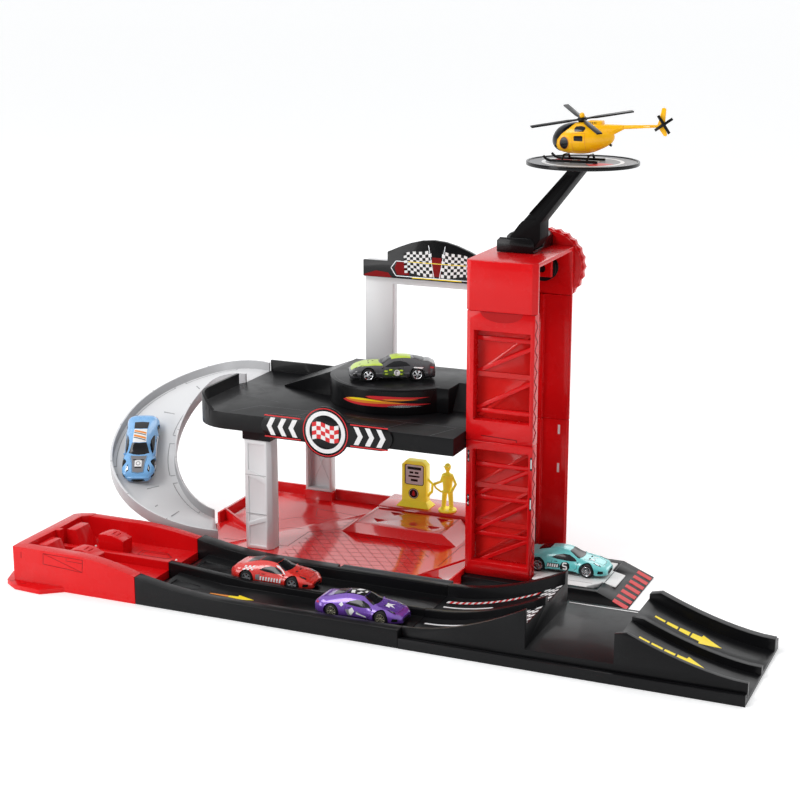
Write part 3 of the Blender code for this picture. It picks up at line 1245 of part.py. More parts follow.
def tower_section(low, high, window_low, window_high, door_low, door_high):
    """One storey of the tower: window frame in front, side and back walls, open at the right."""
    body = box((TOWER_LEFT_X, TOWER_FRONT_Y, low), (TOWER_RIGHT_X, TOWER_BACK_Y, high))
    inner_front = TOWER_FRONT_Y + TOWER_FRAME_DEPTH
    shaft = box((TOWER_LEFT_X + WALL, inner_front, low - WALL), (TOWER_RIGHT_X + WALL, TOWER_BACK_Y - WALL, high + WALL))
    window = box((TOWER_LEFT_X + TOWER_FRAME_SIDE, TOWER_FRONT_Y - WALL, window_low),
                 (TOWER_RIGHT_X - TOWER_FRAME_SIDE + 0.0025, inner_front + WALL, window_high))
    cuts = [shaft, window]
    if door_high > door_low:
        cuts.append(box((TOWER_LEFT_X - WALL, inner_front + 0.001, door_low),
                        (TOWER_LEFT_X + WALL * 2, TOWER_BACK_Y - WALL - RAIL_RIB_DEPTH, door_high)))
    cut(body, *cuts)

    # Guide ribs for the lift's shoe on the back wall
    half = SHOE_WIDTH / 2 + SLIDE_GAP
    ribs = []
    for side in (-1, 1):
        near = SHOE_X + side * half
        far = near + side * RAIL_RIB_WIDTH
        ribs.append(box((min(near, far), TOWER_BACK_Y - WALL - RAIL_RIB_DEPTH, low),
                        (max(near, far), TOWER_BACK_Y - WALL / 2, high)))

    # Flange along the back wall's right edge
    ribs.append(box((TOWER_RIGHT_X - WALL, TOWER_BACK_Y - WALL / 2, low), (TOWER_RIGHT_X + TOWER_FLANGE,
                TOWER_BACK_Y + TOWER_BACK_RIB, high)))

    # Braces on the outside of the back wall
    edge = TOWER_FRAME_SIDE
    frame_out = TOWER_BACK_Y + TOWER_BACK_RIB
    count = 3
    storey = (window_high - window_low) / count
    left = TOWER_LEFT_X + edge
    right = TOWER_RIGHT_X - edge
    for index in range(count + 1):
        level = window_low + storey * index
        ribs.append(box((left - WALL, TOWER_BACK_Y - WALL / 2, level - WINDOW_BAR / 2),
                        (right + WALL, frame_out, level + WINDOW_BAR / 2)))
    for index in range(count):
        bottom = window_low + storey * index
        ribs.append(prism([(left, bottom - WINDOW_BAR / 2), (right, bottom + storey - WINDOW_BAR / 2),
                           (right, bottom + storey + WINDOW_BAR / 2), (left, bottom + WINDOW_BAR / 2)],
                          TOWER_BACK_Y - WALL / 2, frame_out - GAP, "Y"))
    unite(body, *ribs)
    return body


def make_tower_lower():
    """Lower storey of the lift tower."""
    body = tower_section(TOWER_FOOT_Z + GAP, TOWER_SEAM_Z, LOWER_WINDOW_LOW_Z, LOWER_WINDOW_HIGH_Z, 0.0, 0.0)
    return finish(body, "tower_lower", "red_plastic", RED)


def make_tower_upper():
    """Upper storey, with a side door at the stage's level."""
    body = tower_section(TOWER_SEAM_Z + GAP, TOWER_TOP_Z - GAP, UPPER_WINDOW_LOW_Z, UPPER_WINDOW_HIGH_Z,
                         STAGE_TOP_Z - 0.006, SIDE_DOOR_TOP_Z)
    return finish(body, "tower_upper", "red_plastic", RED)


def make_window(name, low, high, count):
    """Clear red pane set in the front frame, with level bars and slanting braces."""
    clear = GAP
    left = TOWER_LEFT_X + TOWER_FRAME_SIDE + clear
    right = TOWER_RIGHT_X - TOWER_FRAME_SIDE + 0.0025 - clear
    pane_back = TOWER_FRONT_Y + TOWER_FRAME_DEPTH - GAP
    pane_front = pane_back - WINDOW_THICKNESS
    body = box((left, pane_front, low + clear), (right, pane_back, high - clear))
    bar_front = pane_front - WINDOW_BAR_DEPTH
    storey = (high - low) / count
    bars = []
    for index in range(1, count):
        level = low + storey * index
        bars.append(box((left, bar_front, level - WINDOW_BAR / 2), (right, pane_front + GAP, level + WINDOW_BAR / 2)))
    for index in range(count):
        bottom = low + storey * index + WINDOW_BAR / 2
        top = low + storey * (index + 1) - WINDOW_BAR / 2
        bars.append(prism([(left, bottom), (left + WINDOW_BAR, bottom), (right, top), (right - WINDOW_BAR, top)],
                          bar_front + GAP, pane_front + GAP, "Y"))
    unite(body, *bars)
    return finish(body, name, "clear_red_plastic", CLEAR_RED)


def make_cap():
    """Box-shaped head of the tower, open at the right, with a bearing for the lift's shaft."""
    left = TOWER_LEFT_X - CAP_OVERHANG
    right = TOWER_RIGHT_X + CAP_OVERHANG
    front = TOWER_FRONT_Y - CAP_OVERHANG
    back = TOWER_BACK_Y + CAP_OVERHANG
    low = TOWER_TOP_Z
    high = CAP_TOP_Z
    chamfer = CAP_CORNER
    plan = [(left, front + chamfer), (left + chamfer, front), (right - chamfer, front), (right, front + chamfer),
            (right, back), (left, back)]
    body = prism(plan, low, high)
    hollow = box((left + CAP_WALL, front + CAP_WALL * 2, low - WALL), (right + WALL, back - CAP_WALL, high - CAP_WALL))
    cut(body, hollow)

    # Bearing web for the shaft's front end, hung from the roof
    web_back = spool_front_y() - SLIDE_GAP
    web = box((KNOB_X - 0.009, web_back - WALL * 1.5, KNOB_Z - 0.007), (KNOB_X + 0.009, web_back, high - CAP_WALL / 2))
    dome = cylinder((KNOB_X, back - CAP_WALL, KNOB_Z), (KNOB_X, back - GAP / 2, KNOB_Z), 0.008, 20)
    unite(body, web, dome)
    bore = cylinder((KNOB_X, web_back - WALL * 3, KNOB_Z), (KNOB_X, back + WALL, KNOB_Z),
                    SPOOL_SHAFT_RADIUS + GAP, 20)
    cut(body, bore)
    return finish(body, "tower_cap", "red_plastic", RED)


# Lift

def shoe_y():
    """Front and back of the lift's guide shoe."""
    back = TOWER_BACK_Y - WALL - SLIDE_GAP
    return back - 0.0065, back


def spool_front_y():
    """Front of the spool's drum, which stands over the shoe's middle."""
    front, back = shoe_y()
    return (front + back) / 2 - SPOOL_DRUM_LENGTH / 2 - SPOOL_FLANGE_THICKNESS


def make_platform():
    """Pale lift platform with a sloping tab, an arm and a guide shoe for the back wall's ribs."""
    low = PLATFORM_LOW_Z
    high = PLATFORM_TOP_Z
    tower_clear = SLIDE_GAP * 2
    neck_left = TOWER_LEFT_X + WALL + tower_clear
    out_left = TOWER_RIGHT_X + tower_clear
    plan = [(neck_left, NECK_FRONT_Y), (out_left, NECK_FRONT_Y), (out_left, PLATFORM_FRONT_Y),
            (PLATFORM_RIGHT_X - 0.010, PLATFORM_FRONT_Y), (PLATFORM_RIGHT_X, PLATFORM_FRONT_Y + 0.013),
            (PLATFORM_RIGHT_X, PLATFORM_BACK_Y), (neck_left, PLATFORM_BACK_Y)]
    body = prism(plan, low, high)
    tab = prism([(PLATFORM_RIGHT_X - WALL, low), (PLATFORM_RIGHT_X + TAB_LENGTH, low),
                 (PLATFORM_RIGHT_X + TAB_LENGTH, low + 0.001), (PLATFORM_RIGHT_X, high), (PLATFORM_RIGHT_X - WALL, high)],
                TAB_FRONT_Y, TAB_BACK_Y, "Y")
    shoe_front, shoe_back = shoe_y()
    left = SHOE_X - SHOE_WIDTH / 2
    right = SHOE_X + SHOE_WIDTH / 2
    arm = box((left, PLATFORM_BACK_Y - WALL, low), (right, shoe_front + WALL, high))
    shoe = box((left, shoe_front, low), (right, shoe_back, low + SHOE_HEIGHT))
    unite(body, tab, arm, shoe)

    # Raised side kerbs and rolled grip lines stay plain; the front edge is bevelled down
    front_slope = prism([(PLATFORM_FRONT_Y - WALL, high + GAP), (PLATFORM_FRONT_Y - WALL, low + 0.001),
                         (PLATFORM_FRONT_Y + 0.003, high + GAP)], out_left - WALL, PLATFORM_RIGHT_X + WALL, "X")
    cut(body, front_slope)
    return finish(body, "lift_platform", "white_plastic", PALE, (SHOE_X, shoe_back, low))


def make_cord():
    """Lift cord from the spool's drum down to the shoe."""
    shoe_front, shoe_back = shoe_y()
    y = (shoe_front + shoe_back) / 2
    low = PLATFORM_LOW_Z + SHOE_HEIGHT + GAP
    body = cylinder((CORD_X, y, low), (CORD_X, y, KNOB_Z), CORD_RADIUS, 8)
    return finish(body, "lift_cord", "cord", CORD_WHITE)


def make_spool():
    """Shaft and flanged drum inside the cap."""
    front = spool_front_y()
    drum_start = front + SPOOL_FLANGE_THICKNESS
    drum_end = drum_start + SPOOL_DRUM_LENGTH
    knob_front = TOWER_BACK_Y + CAP_OVERHANG + GAP
    shaft = cylinder((KNOB_X, front - WALL * 1.5, KNOB_Z), (KNOB_X, knob_front + KNOB_THICKNESS / 2, KNOB_Z),
                     SPOOL_SHAFT_RADIUS, 20)
    drum = cylinder((KNOB_X, front, KNOB_Z), (KNOB_X, drum_end + SPOOL_FLANGE_THICKNESS, KNOB_Z), SPOOL_DRUM_RADIUS, 24)
    flange_1 = cylinder((KNOB_X, front, KNOB_Z), (KNOB_X, drum_start, KNOB_Z), SPOOL_FLANGE_RADIUS, 24)
    flange_2 = cylinder((KNOB_X, drum_end, KNOB_Z), (KNOB_X, drum_end + SPOOL_FLANGE_THICKNESS, KNOB_Z),
                        SPOOL_FLANGE_RADIUS, 24)
    unite(shaft, drum, flange_1, flange_2)
    return finish(shaft, "lift_spool", "black_plastic", BLACK, (KNOB_X, front, KNOB_Z))


def make_knob():
    """Large knurled knob on the back of the cap."""
    front = TOWER_BACK_Y + CAP_OVERHANG + GAP
    back = front + KNOB_THICKNESS
    outline = []
    for step in range(KNOB_LOBES * 2):
        angle = math.pi * step / KNOB_LOBES
        radius = KNOB_RADIUS if step % 2 == 0 else KNOB_RADIUS - 0.0016
        outline.append((KNOB_X + radius * math.cos(angle), KNOB_Z + radius * math.sin(angle)))
    body = prism(outline, front + WALL, back - WALL, "Y")
    face = cylinder((KNOB_X, back - WALL - GAP, KNOB_Z), (KNOB_X, back, KNOB_Z), KNOB_RADIUS - 0.002, 32)
    inner = cylinder((KNOB_X, front, KNOB_Z), (KNOB_X, front + WALL + GAP, KNOB_Z), KNOB_RADIUS - 0.002, 32)
    unite(body, face, inner)
    bore = cylinder((KNOB_X, front - WALL, KNOB_Z), (KNOB_X, front + KNOB_THICKNESS / 2 + GAP, KNOB_Z),
                    SPOOL_SHAFT_RADIUS + GAP, 20)
    dish = cylinder((KNOB_X, front + WALL * 3, KNOB_Z), (KNOB_X, back + WALL, KNOB_Z), KNOB_RADIUS * 0.55, 28)
    cut(body, bore, dish)
    return finish(body, "lift_knob", "red_plastic", RED, (KNOB_X, front, KNOB_Z))


def make_exit_ramp():
    """Black floor plate under the tower and the drive-off ramp beside it."""
    clear = SLIDE_GAP
    tower_plate = box((TOWER_LEFT_X, EXIT_FRONT_Y, 0.0), (TOWER_RIGHT_X, TOWER_BACK_Y, TOWER_FOOT_Z))
    plate = box((TOWER_RIGHT_X - WALL, EXIT_FRONT_Y, 0.0), (PLATFORM_RIGHT_X + clear + WALL, EXIT_BACK_Y, TOWER_FOOT_Z))
    outline = [(TOWER_RIGHT_X + GAP * 2, 0.0), (EXIT_FOOT_X, 0.0), (EXIT_FOOT_X, EXIT_TOE_Z), (EXIT_CREST_X, EXIT_TOP_Z),
               (TOWER_RIGHT_X + GAP * 2, EXIT_TOP_Z)]
    ramp = prism(outline, EXIT_FRONT_Y, EXIT_BACK_Y, "Y")
    body = unite(tower_plate, plate, ramp)
    pit = box((TOWER_RIGHT_X - WALL, PLATFORM_FRONT_Y - clear, TOWER_FOOT_Z),
              (PLATFORM_RIGHT_X + clear, PLATFORM_BACK_Y + clear, 0.02))
    slot = box((PLATFORM_RIGHT_X - WALL, TAB_FRONT_Y - clear, TOWER_FOOT_Z),
               (PLATFORM_RIGHT_X + TAB_LENGTH + clear, TAB_BACK_Y + clear, 0.02))
    cut(body, pit, slot)
    under = box((TOWER_LEFT_X + WALL, EXIT_FRONT_Y + WALL, -WALL),
                (PLATFORM_RIGHT_X - WALL, EXIT_BACK_Y - WALL, TOWER_FOOT_Z - FLOOR))
    under_back = box((TOWER_LEFT_X + WALL, EXIT_BACK_Y - WALL * 2, -WALL),
                     (TOWER_RIGHT_X - WALL, TOWER_BACK_Y - WALL, TOWER_FOOT_Z - FLOOR))
    cut(body, under, under_back)
    return finish(body, "exit_ramp", "black_plastic", BLACK)


# Helipad and helicopter

def make_helipad_base():
    """Chamfered block on the tower's roof."""
    low = CAP_TOP_Z + GAP
    high = low + PAD_BASE_HEIGHT
    chamfer = 0.003
    profile = [(PAD_BASE_LEFT_X, low), (PAD_BASE_RIGHT_X, low), (PAD_BASE_RIGHT_X, high - chamfer),
               (PAD_BASE_RIGHT_X - chamfer, high), (PAD_BASE_LEFT_X + chamfer, high), (PAD_BASE_LEFT_X, high - chamfer)]
    body = prism(profile, PAD_ARM_BACK_Y + GAP, PAD_BASE_BACK_Y, "Y")
    front = prism(profile, PAD_BASE_FRONT_Y, PAD_ARM_FRONT_Y - GAP, "Y")
    deck = box((PAD_BASE_LEFT_X, PAD_BASE_FRONT_Y, low), (PAD_BASE_RIGHT_X, PAD_ARM_BACK_Y + WALL, low + WALL))
    unite(body, front, deck)
    return finish(body, "helipad_base", "black_plastic", BLACK)


def make_helipad_arm():
    """Slanting arm from the base to the landing disc."""
    low = CAP_TOP_Z + GAP * 2 + WALL
    head_low = HELIPAD_TOP_Z - HELIPAD_THICKNESS - GAP - 0.003
    post_x = PAD_BASE_RIGHT_X + 0.005
    outline = [(PAD_BASE_LEFT_X + 0.004, low), (PAD_BASE_RIGHT_X - 0.001, low), (post_x, CAP_TOP_Z + PAD_BASE_HEIGHT),
               (post_x, CAP_TOP_Z + 0.026), (HELIPAD_X + 0.003, head_low), (HELIPAD_X + 0.003, head_low + 0.003),
               (HELIPAD_X - 0.009, head_low + 0.003), (HELIPAD_X - 0.009, head_low),
               (PAD_BASE_LEFT_X + 0.019, CAP_TOP_Z + 0.024), (PAD_BASE_LEFT_X + 0.010, CAP_TOP_Z + 0.012),
               (PAD_BASE_LEFT_X + 0.004, CAP_TOP_Z + 0.009)]
    body = prism(outline, PAD_ARM_FRONT_Y, PAD_ARM_BACK_Y, "Y")
    slot_outline = [(post_x - 0.004, CAP_TOP_Z + 0.029), (HELIPAD_X - 0.005, head_low - 0.005),
                    (HELIPAD_X - 0.010, head_low - 0.005), (PAD_BASE_LEFT_X + 0.021, CAP_TOP_Z + 0.027)]
    recess_front = prism(slot_outline, PAD_ARM_FRONT_Y - WALL, PAD_ARM_FRONT_Y + 0.003, "Y")
    recess_back = prism(slot_outline, PAD_ARM_BACK_Y - 0.003, PAD_ARM_BACK_Y + WALL, "Y")
    cut(body, recess_front, recess_back)
    return finish(body, "helipad_arm", "black_plastic", BLACK)


def make_helipad_disc():
    """Round landing disc with a raised rim."""
    low = HELIPAD_TOP_Z - HELIPAD_THICKNESS
    body = cylinder((HELIPAD_X, HELIPAD_Y, low), (HELIPAD_X, HELIPAD_Y, HELIPAD_TOP_Z), HELIPAD_RADIUS, 48,
                    HELIPAD_RADIUS)
    dish = cylinder((HELIPAD_X, HELIPAD_Y, HELIPAD_TOP_Z - HELIPAD_RIM), (HELIPAD_X, HELIPAD_Y, HELIPAD_TOP_Z + WALL),
                    HELIPAD_RADIUS - 0.002, 48)
    cut(body, dish)
    return finish(body, "helipad_disc", "black_plastic", BLACK)


def skid_low_z():
    """Height on which the helicopter's skids rest."""
    return HELIPAD_TOP_Z - HELIPAD_RIM + GAP


def oval(x, centre_y, centre_z, half_y, half_z, count=12):
    """A ring of points in the plane of constant x, squarish at the sides."""
    ring = []
    for step in range(count):
        angle = 2 * math.pi * step / count
        ring.append((x, centre_y + half_y * math.cos(angle), centre_z + half_z * math.sin(angle)))
    return ring


def make_helicopter_body():
    """Cabin, tail boom, fin and rotor mast in one moulding."""
    ground = skid_low_z()
    belly = ground + HELI_BELLY
    middle = belly + HELI_CABIN_HEIGHT / 2
    half_z = HELI_CABIN_HEIGHT / 2
    half_y = HELI_CABIN_WIDTH / 2
    nose = HELI_NOSE_X
    boom_z = belly + HELI_CABIN_HEIGHT * 0.80
    stations = (
        (0.0, -0.25, 0.18, 0.18), (0.0025, -0.20, 0.45, 0.45), (0.008, -0.12, 0.72, 0.72), (0.016, 0.0, 0.93, 0.95),
        (0.026, 0.0, 1.0, 1.0), (0.036, 0.05, 0.95, 0.95), (0.046, 0.20, 0.72, 0.72), (0.055, 0.42, 0.40, 0.40),
        (0.061, 0.58, 0.22, 0.22),
    )
    sections = []
    for along, lift, wide, tall in stations:
        sections.append(oval(nose + along, HELIPAD_Y, middle + lift * half_z, half_y * wide, half_z * tall))
    sections.append(oval(nose + HELI_LENGTH - 0.004, HELIPAD_Y, boom_z + 0.003, 0.0013, 0.0013))
    body = loft(sections)
    tail = nose + HELI_LENGTH
    fin_top = boom_z + 0.018
    fin_low = boom_z - 0.006
    fin = prism([(tail - 0.011, boom_z + 0.002), (tail - 0.004, fin_low), (tail, fin_low + 0.001),
                 (tail - 0.002, boom_z + 0.003), (tail + 0.0005, fin_top), (tail - 0.005, fin_top)],
                HELIPAD_Y - 0.0008, HELIPAD_Y + 0.0008, "Y")
    wing = box((tail - 0.020, HELIPAD_Y - 0.008, boom_z + 0.0015), (tail - 0.013, HELIPAD_Y + 0.008, boom_z + 0.0030))
    hub = Vector((HELI_HUB_X, HELIPAD_Y, ground + ROTOR_HEIGHT))
    mast = cylinder(hub - rotor_axis() * 0.012, hub - rotor_axis() * (0.0020 + GAP), 0.0014, 12)
    pylon = box((HELI_HUB_X - 0.006, HELIPAD_Y - 0.004, middle), (HELI_HUB_X + 0.008, HELIPAD_Y + 0.004,
                belly + HELI_CABIN_HEIGHT - 0.0008))
    keel = box((nose + 0.010, HELIPAD_Y - 0.003, belly), (nose + 0.036, HELIPAD_Y + 0.003, middle))
    unite(body, fin, wing, mast, pylon, keel)
    return finish(body, "helicopter_body", "yellow_plastic", YELLOW, (HELI_HUB_X, HELIPAD_Y, ground))


def make_skids():
    """Two landing skids with cross tubes."""
    ground = skid_low_z()
    z = ground + SKID_RADIUS
    left = HELI_NOSE_X - 0.001
    right = HELI_NOSE_X + 0.042
    belly = ground + HELI_BELLY
    pieces = []
    for side in (-1, 1):
        y = HELIPAD_Y + side * SKID_SPAN / 2
        pieces.append(rod([(left - 0.003, y, z + 0.0035), (left, y, z + 0.0008), (left + 0.003, y, z), (right, y, z)],
                          SKID_RADIUS))
    for x in (left + 0.013, right - 0.009):
        strut_z = belly - GAP - SKID_RADIUS * 0.9
        pieces.append(rod([(x, HELIPAD_Y - SKID_SPAN / 2, z), (x, HELIPAD_Y - 0.006, strut_z),
                           (x, HELIPAD_Y + 0.006, strut_z), (x, HELIPAD_Y + SKID_SPAN / 2, z)],
                          SKID_RADIUS * 0.9))
    body = pieces.pop(0)
    unite(body, *pieces)
    return finish(body, "helicopter_skids", "black_plastic", BLACK)


def rotor_axis():
    """Direction of the main rotor's shaft."""
    tilt = math.radians(ROTOR_TILT_DEG)
    return Vector((0.0, -math.sin(tilt), math.cos(tilt)))


def make_main_rotor():
    """Four-bladed main rotor."""
    z = skid_low_z() + ROTOR_HEIGHT
    hub = Vector((HELI_HUB_X, HELIPAD_Y, z))
    body = cylinder((0, 0, -0.0020), (0, 0, 0.0016), 0.0034, 16)
    blades = []
    for quarter in range(4):
        angle = math.radians(ROTOR_ANGLE_DEG + 90 * quarter)
        along = Vector((math.cos(angle), math.sin(angle)))
        side = Vector((-along.y, along.x))
        shape = ((0.0, -0.0010), (0.008, -0.0012), (0.012, -0.0024), (ROTOR_RADIUS, -0.0024),
                 (ROTOR_RADIUS, 0.0020), (0.012, 0.0020), (0.008, 0.0012), (0.0, 0.0010))
        outline = [tuple(along * a + side * s) for a, s in shape]
        blades.append(prism(outline, -0.0006, 0.0006))
    unite(body, *blades)
    body.data.transform(Matrix.Translation(hub) @ Matrix.Rotation(math.radians(ROTOR_TILT_DEG), 4, "X"))
    return finish(body, "main_rotor", "black_plastic", BLACK, tuple(hub))


def tail_rotor_place():
    """Centre of the tail rotor, on the viewer's side of the fin."""
    belly = skid_low_z() + HELI_BELLY
    return (HELI_NOSE_X + HELI_LENGTH - 0.003, HELIPAD_Y - 0.0008 - GAP, belly + HELI_CABIN_HEIGHT * 0.80 + 0.006)


def make_tail_rotor():
    """Two-bladed tail rotor on the fin."""
    x, y, z = tail_rotor_place()
    body = cylinder((x, y, z), (x, y - 0.0026, z), 0.0016, 12)
    blades = []
    for angle in (math.radians(35), math.radians(125)):
        along = Vector((math.cos(angle), math.sin(angle)))
        side = Vector((-along.y, along.x)) * 0.0011
        tip = along * TAIL_ROTOR_RADIUS
        corners = (tip + side, -tip + side, -tip - side, tip - side)
        blades.append(prism([(x + c.x, z + c.y) for c in corners], y - 0.0022, y - 0.0012, "Y"))
    unite(body, *blades)
    return finish(body, "tail_rotor", "black_plastic", BLACK, (x, y, z))


# Fuel pump and attendant

def make_fuel_pump():
    """Yellow fuel pump on a flared foot, on the island."""
    low = ISLAND_Z + GAP
    front = PUMP_FRONT_Y + 0.004
    foot = loft([
        [(PUMP_X - PUMP_FOOT_WIDTH / 2, PUMP_FRONT_Y, low), (PUMP_X + PUMP_FOOT_WIDTH / 2, PUMP_FRONT_Y, low),
         (PUMP_X + PUMP_FOOT_WIDTH / 2, front + PUMP_DEPTH + 0.004, low), (PUMP_X - PUMP_FOOT_WIDTH / 2,
          front + PUMP_DEPTH + 0.004, low)],
        [(PUMP_X - PUMP_WIDTH / 2, front, low + PUMP_FOOT_HEIGHT), (PUMP_X + PUMP_WIDTH / 2, front, low + PUMP_FOOT_HEIGHT),
         (PUMP_X + PUMP_WIDTH / 2, front + PUMP_DEPTH, low + PUMP_FOOT_HEIGHT), (PUMP_X - PUMP_WIDTH / 2,
          front + PUMP_DEPTH, low + PUMP_FOOT_HEIGHT)],
    ])
    half = PUMP_WIDTH / 2
    top = low + PUMP_HEIGHT
    waist = half - 0.0001
    outline = [(PUMP_X - waist, low + PUMP_FOOT_HEIGHT / 2), (PUMP_X + waist, low + PUMP_FOOT_HEIGHT / 2),
               (PUMP_X + waist, low + PUMP_FOOT_HEIGHT), (PUMP_X + half, low + PUMP_FOOT_HEIGHT + 0.0001),
               (PUMP_X + half, top - 0.004), (PUMP_X + half - 0.004, top), (PUMP_X - half + 0.004, top),
               (PUMP_X - half, top - 0.004), (PUMP_X - half, low + PUMP_FOOT_HEIGHT + 0.0001),
               (PUMP_X - waist, low + PUMP_FOOT_HEIGHT)]
    body = prism(outline, front + 0.0001, front + PUMP_DEPTH - 0.0001, "Y")
    dial = box((PUMP_X - half + 0.0025, front - WALL, low + 0.0205), (PUMP_X + half - 0.0025, front + PANEL_RECESS,
               top - 0.0035))
    side_x = PUMP_X + half
    handle_y = front + PUMP_DEPTH / 2
    handle = rod([(side_x - 0.001, handle_y, low + 0.0270), (side_x + 0.0045, handle_y, low + 0.0225),
                  (side_x + 0.0040, handle_y, low + 0.0150), (side_x - 0.001, handle_y, low + 0.0095)], 0.0013,
                 resolution=0)
    unite(body, foot, handle)
    cut(body, dial)
    return finish(body, "fuel_pump", "yellow_plastic", YELLOW)


def make_attendant():
    """Small standing figure of plain rounded shapes, holding a looped fuel hose."""
    low = ISLAND_Z + GAP
    x = ATTENDANT_X
    y = ATTENDANT_Y
    unit = ATTENDANT_HEIGHT
    plate_top = low + 0.0018
    plate = cylinder((x, y, low), (x, y, plate_top), ATTENDANT_PLATE_RADIUS, 20)
    hip = low + unit * 0.42
    shoulder = low + unit * 0.76
    legs = []
    for side in (-1, 1):
        foot_x = x + side * 0.0040
        legs.append(cylinder((foot_x, y, plate_top - GAP), (x + side * 0.0026, y, hip), 0.0020, 8, 0.0027))
        legs.append(ball((foot_x, y - 0.0012, plate_top + 0.0008), 0.0026, (0.85, 1.3, 0.6), 8, 5))
    torso = cylinder((x, y, hip - 0.001), (x, y, shoulder), 0.0040, 12, 0.0054)
    chest = ball((x, y, shoulder - 0.0010), 0.0054, (1.10, 0.72, 0.55), 12, 6)
    neck = cylinder((x, y, shoulder), (x, y, shoulder + 0.004), 0.0018, 8)
    head = ball((x, y, low + unit * 0.915), 0.0034, (0.92, 1.0, 1.14), 10, 7)
    visor = box((x - 0.0024, y - 0.0054, low + unit * 0.938), (x + 0.0024, y - 0.0015, low + unit * 0.955))
    grip = Vector((x - 0.0125, y - 0.0030, low + unit * 0.545))
    left_arm = rod([(x - 0.0045, y, shoulder - 0.0012), (x - 0.0062, y - 0.001, low + unit * 0.60), grip], 0.0014,
                   resolution=1)
    right_hand = Vector((x + 0.0050, y - 0.0040, low + unit * 0.42))
    right_arm = rod([(x + 0.0045, y, shoulder - 0.0012), (x + 0.0082, y - 0.0005, low + unit * 0.58), right_hand],
                    0.0014, resolution=1)
    hose = []
    for across, forward, up in ((0.0, 0.0, 0.0), (0.0022, 0.0, -0.0035), (0.0065, 0.0005, -0.0063), (0.0110, -0.0010, -0.0062)):
        hose.append((grip.x + across, grip.y + forward, grip.z + up))
    hose.append(tuple(right_hand))
    hose_tube = rod(hose, 0.0010, resolution=1)
    unite(plate, torso, chest, neck, head, visor, left_arm, right_arm, hose_tube, *legs)
    return finish(plate, "attendant", "yellow_plastic", YELLOW)


# Toy cars

# Body stations along the car: share of the length from the tail, half width share, roof height share
# of the body's height, and how far the cabin's roof narrows
CAR_STATIONS = (
    (0.00, 0.70, 0.52, 0.95), (0.04, 0.88, 0.66, 0.90), (0.14, 0.98, 0.74, 0.86), (0.24, 1.00, 0.86, 0.74),
    (0.34, 0.98, 0.97, 0.66), (0.46, 0.96, 1.00, 0.64), (0.56, 0.96, 0.94, 0.66), (0.66, 0.97, 0.74, 0.74),
    (0.76, 1.00, 0.62, 0.86), (0.88, 0.97, 0.52, 0.90), (0.96, 0.84, 0.40, 0.90), (1.00, 0.62, 0.28, 0.90),
)


def car_ring(share, wide, tall, narrow):
    """One cross section of a car body, in the car's own frame with +X forwards."""
    x = (share - 0.5) * CAR_LENGTH
    half = CAR_WIDTH / 2 * wide
    low = CAR_GROUND_CLEARANCE
    roof = low + CAR_BODY_HEIGHT * tall
    belt = low + (roof - low) * min(0.62, 0.34 / tall)
    belt = min(belt, low + CAR_BODY_HEIGHT * 0.52)
    right = [(x, -half * 0.82, low), (x, -half * 0.97, low + (belt - low) * 0.30), (x, -half, belt),
             (x, -half * (0.55 + 0.40 * narrow), belt + (roof - belt) * 0.55), (x, -half * narrow * 0.80, roof - (roof - belt) * 0.10),
             (x, -half * narrow * 0.45, roof)]
    left = [(px, -py, pz) for px, py, pz in reversed(right)]
    return right + left


def make_car(name, label, colour, place, heading_deg, pitch_deg=0.0, parent_name=None):
    """A toy car: body shell and two axles with wheels. The place is the ground under its centre."""
    body = loft([car_ring(*station) for station in CAR_STATIONS])
    arch = CAR_WHEEL_RADIUS + CAR_ARCH_GAP
    inner = CAR_WIDTH / 2 - CAR_WHEEL_WIDTH - SLIDE_GAP * 2
    cutters = []
    for side_x in (-1, 1):
        hub_x = side_x * CAR_WHEELBASE / 2
        for side_y in (-1, 1):
            cutters.append(cylinder((hub_x, side_y * inner, CAR_WHEEL_RADIUS),
                                    (hub_x, side_y * CAR_WIDTH, CAR_WHEEL_RADIUS), arch, 20))
        cutters.append(cylinder((hub_x, -CAR_WIDTH, CAR_WHEEL_RADIUS), (hub_x, CAR_WIDTH, CAR_WHEEL_RADIUS),
                                CAR_AXLE_RADIUS + GAP, 10))
    cut(body, *cutters)
    turn = Matrix.Rotation(math.radians(heading_deg), 4, "Z") @ Matrix.Rotation(math.radians(-pitch_deg), 4, "Y")
    frame = Matrix.Translation(place) @ turn
    body.data.transform(frame)
    finish(body, name + "_body", label, colour, place)
    for which, side_x in (("front", 1), ("rear", -1)):
        hub = Vector((side_x * CAR_WHEELBASE / 2, 0.0, CAR_WHEEL_RADIUS))
        axle = make_axle(hub)
        axle.data.transform(frame)
        finish(axle, name + "_" + which + "_wheels", "tyre", TYRE, tuple(frame @ hub))
    return body


def make_axle(hub):
    """Axle rod with a wheel at each end."""
    outer = CAR_WIDTH / 2 - SLIDE_GAP
    axle = cylinder(hub + Vector((0, -outer + CAR_WHEEL_WIDTH / 2, 0)), hub + Vector((0, outer - CAR_WHEEL_WIDTH / 2, 0)),
                    CAR_AXLE_RADIUS, 10)
    wheels = []
    for side in (-1, 1):
        far = hub + Vector((0, side * outer, 0))
        near = hub + Vector((0, side * (outer - CAR_WHEEL_WIDTH), 0))
        wheels.append(cylinder(near, far, CAR_WHEEL_RADIUS, 24))
    return unite(axle, *wheels)


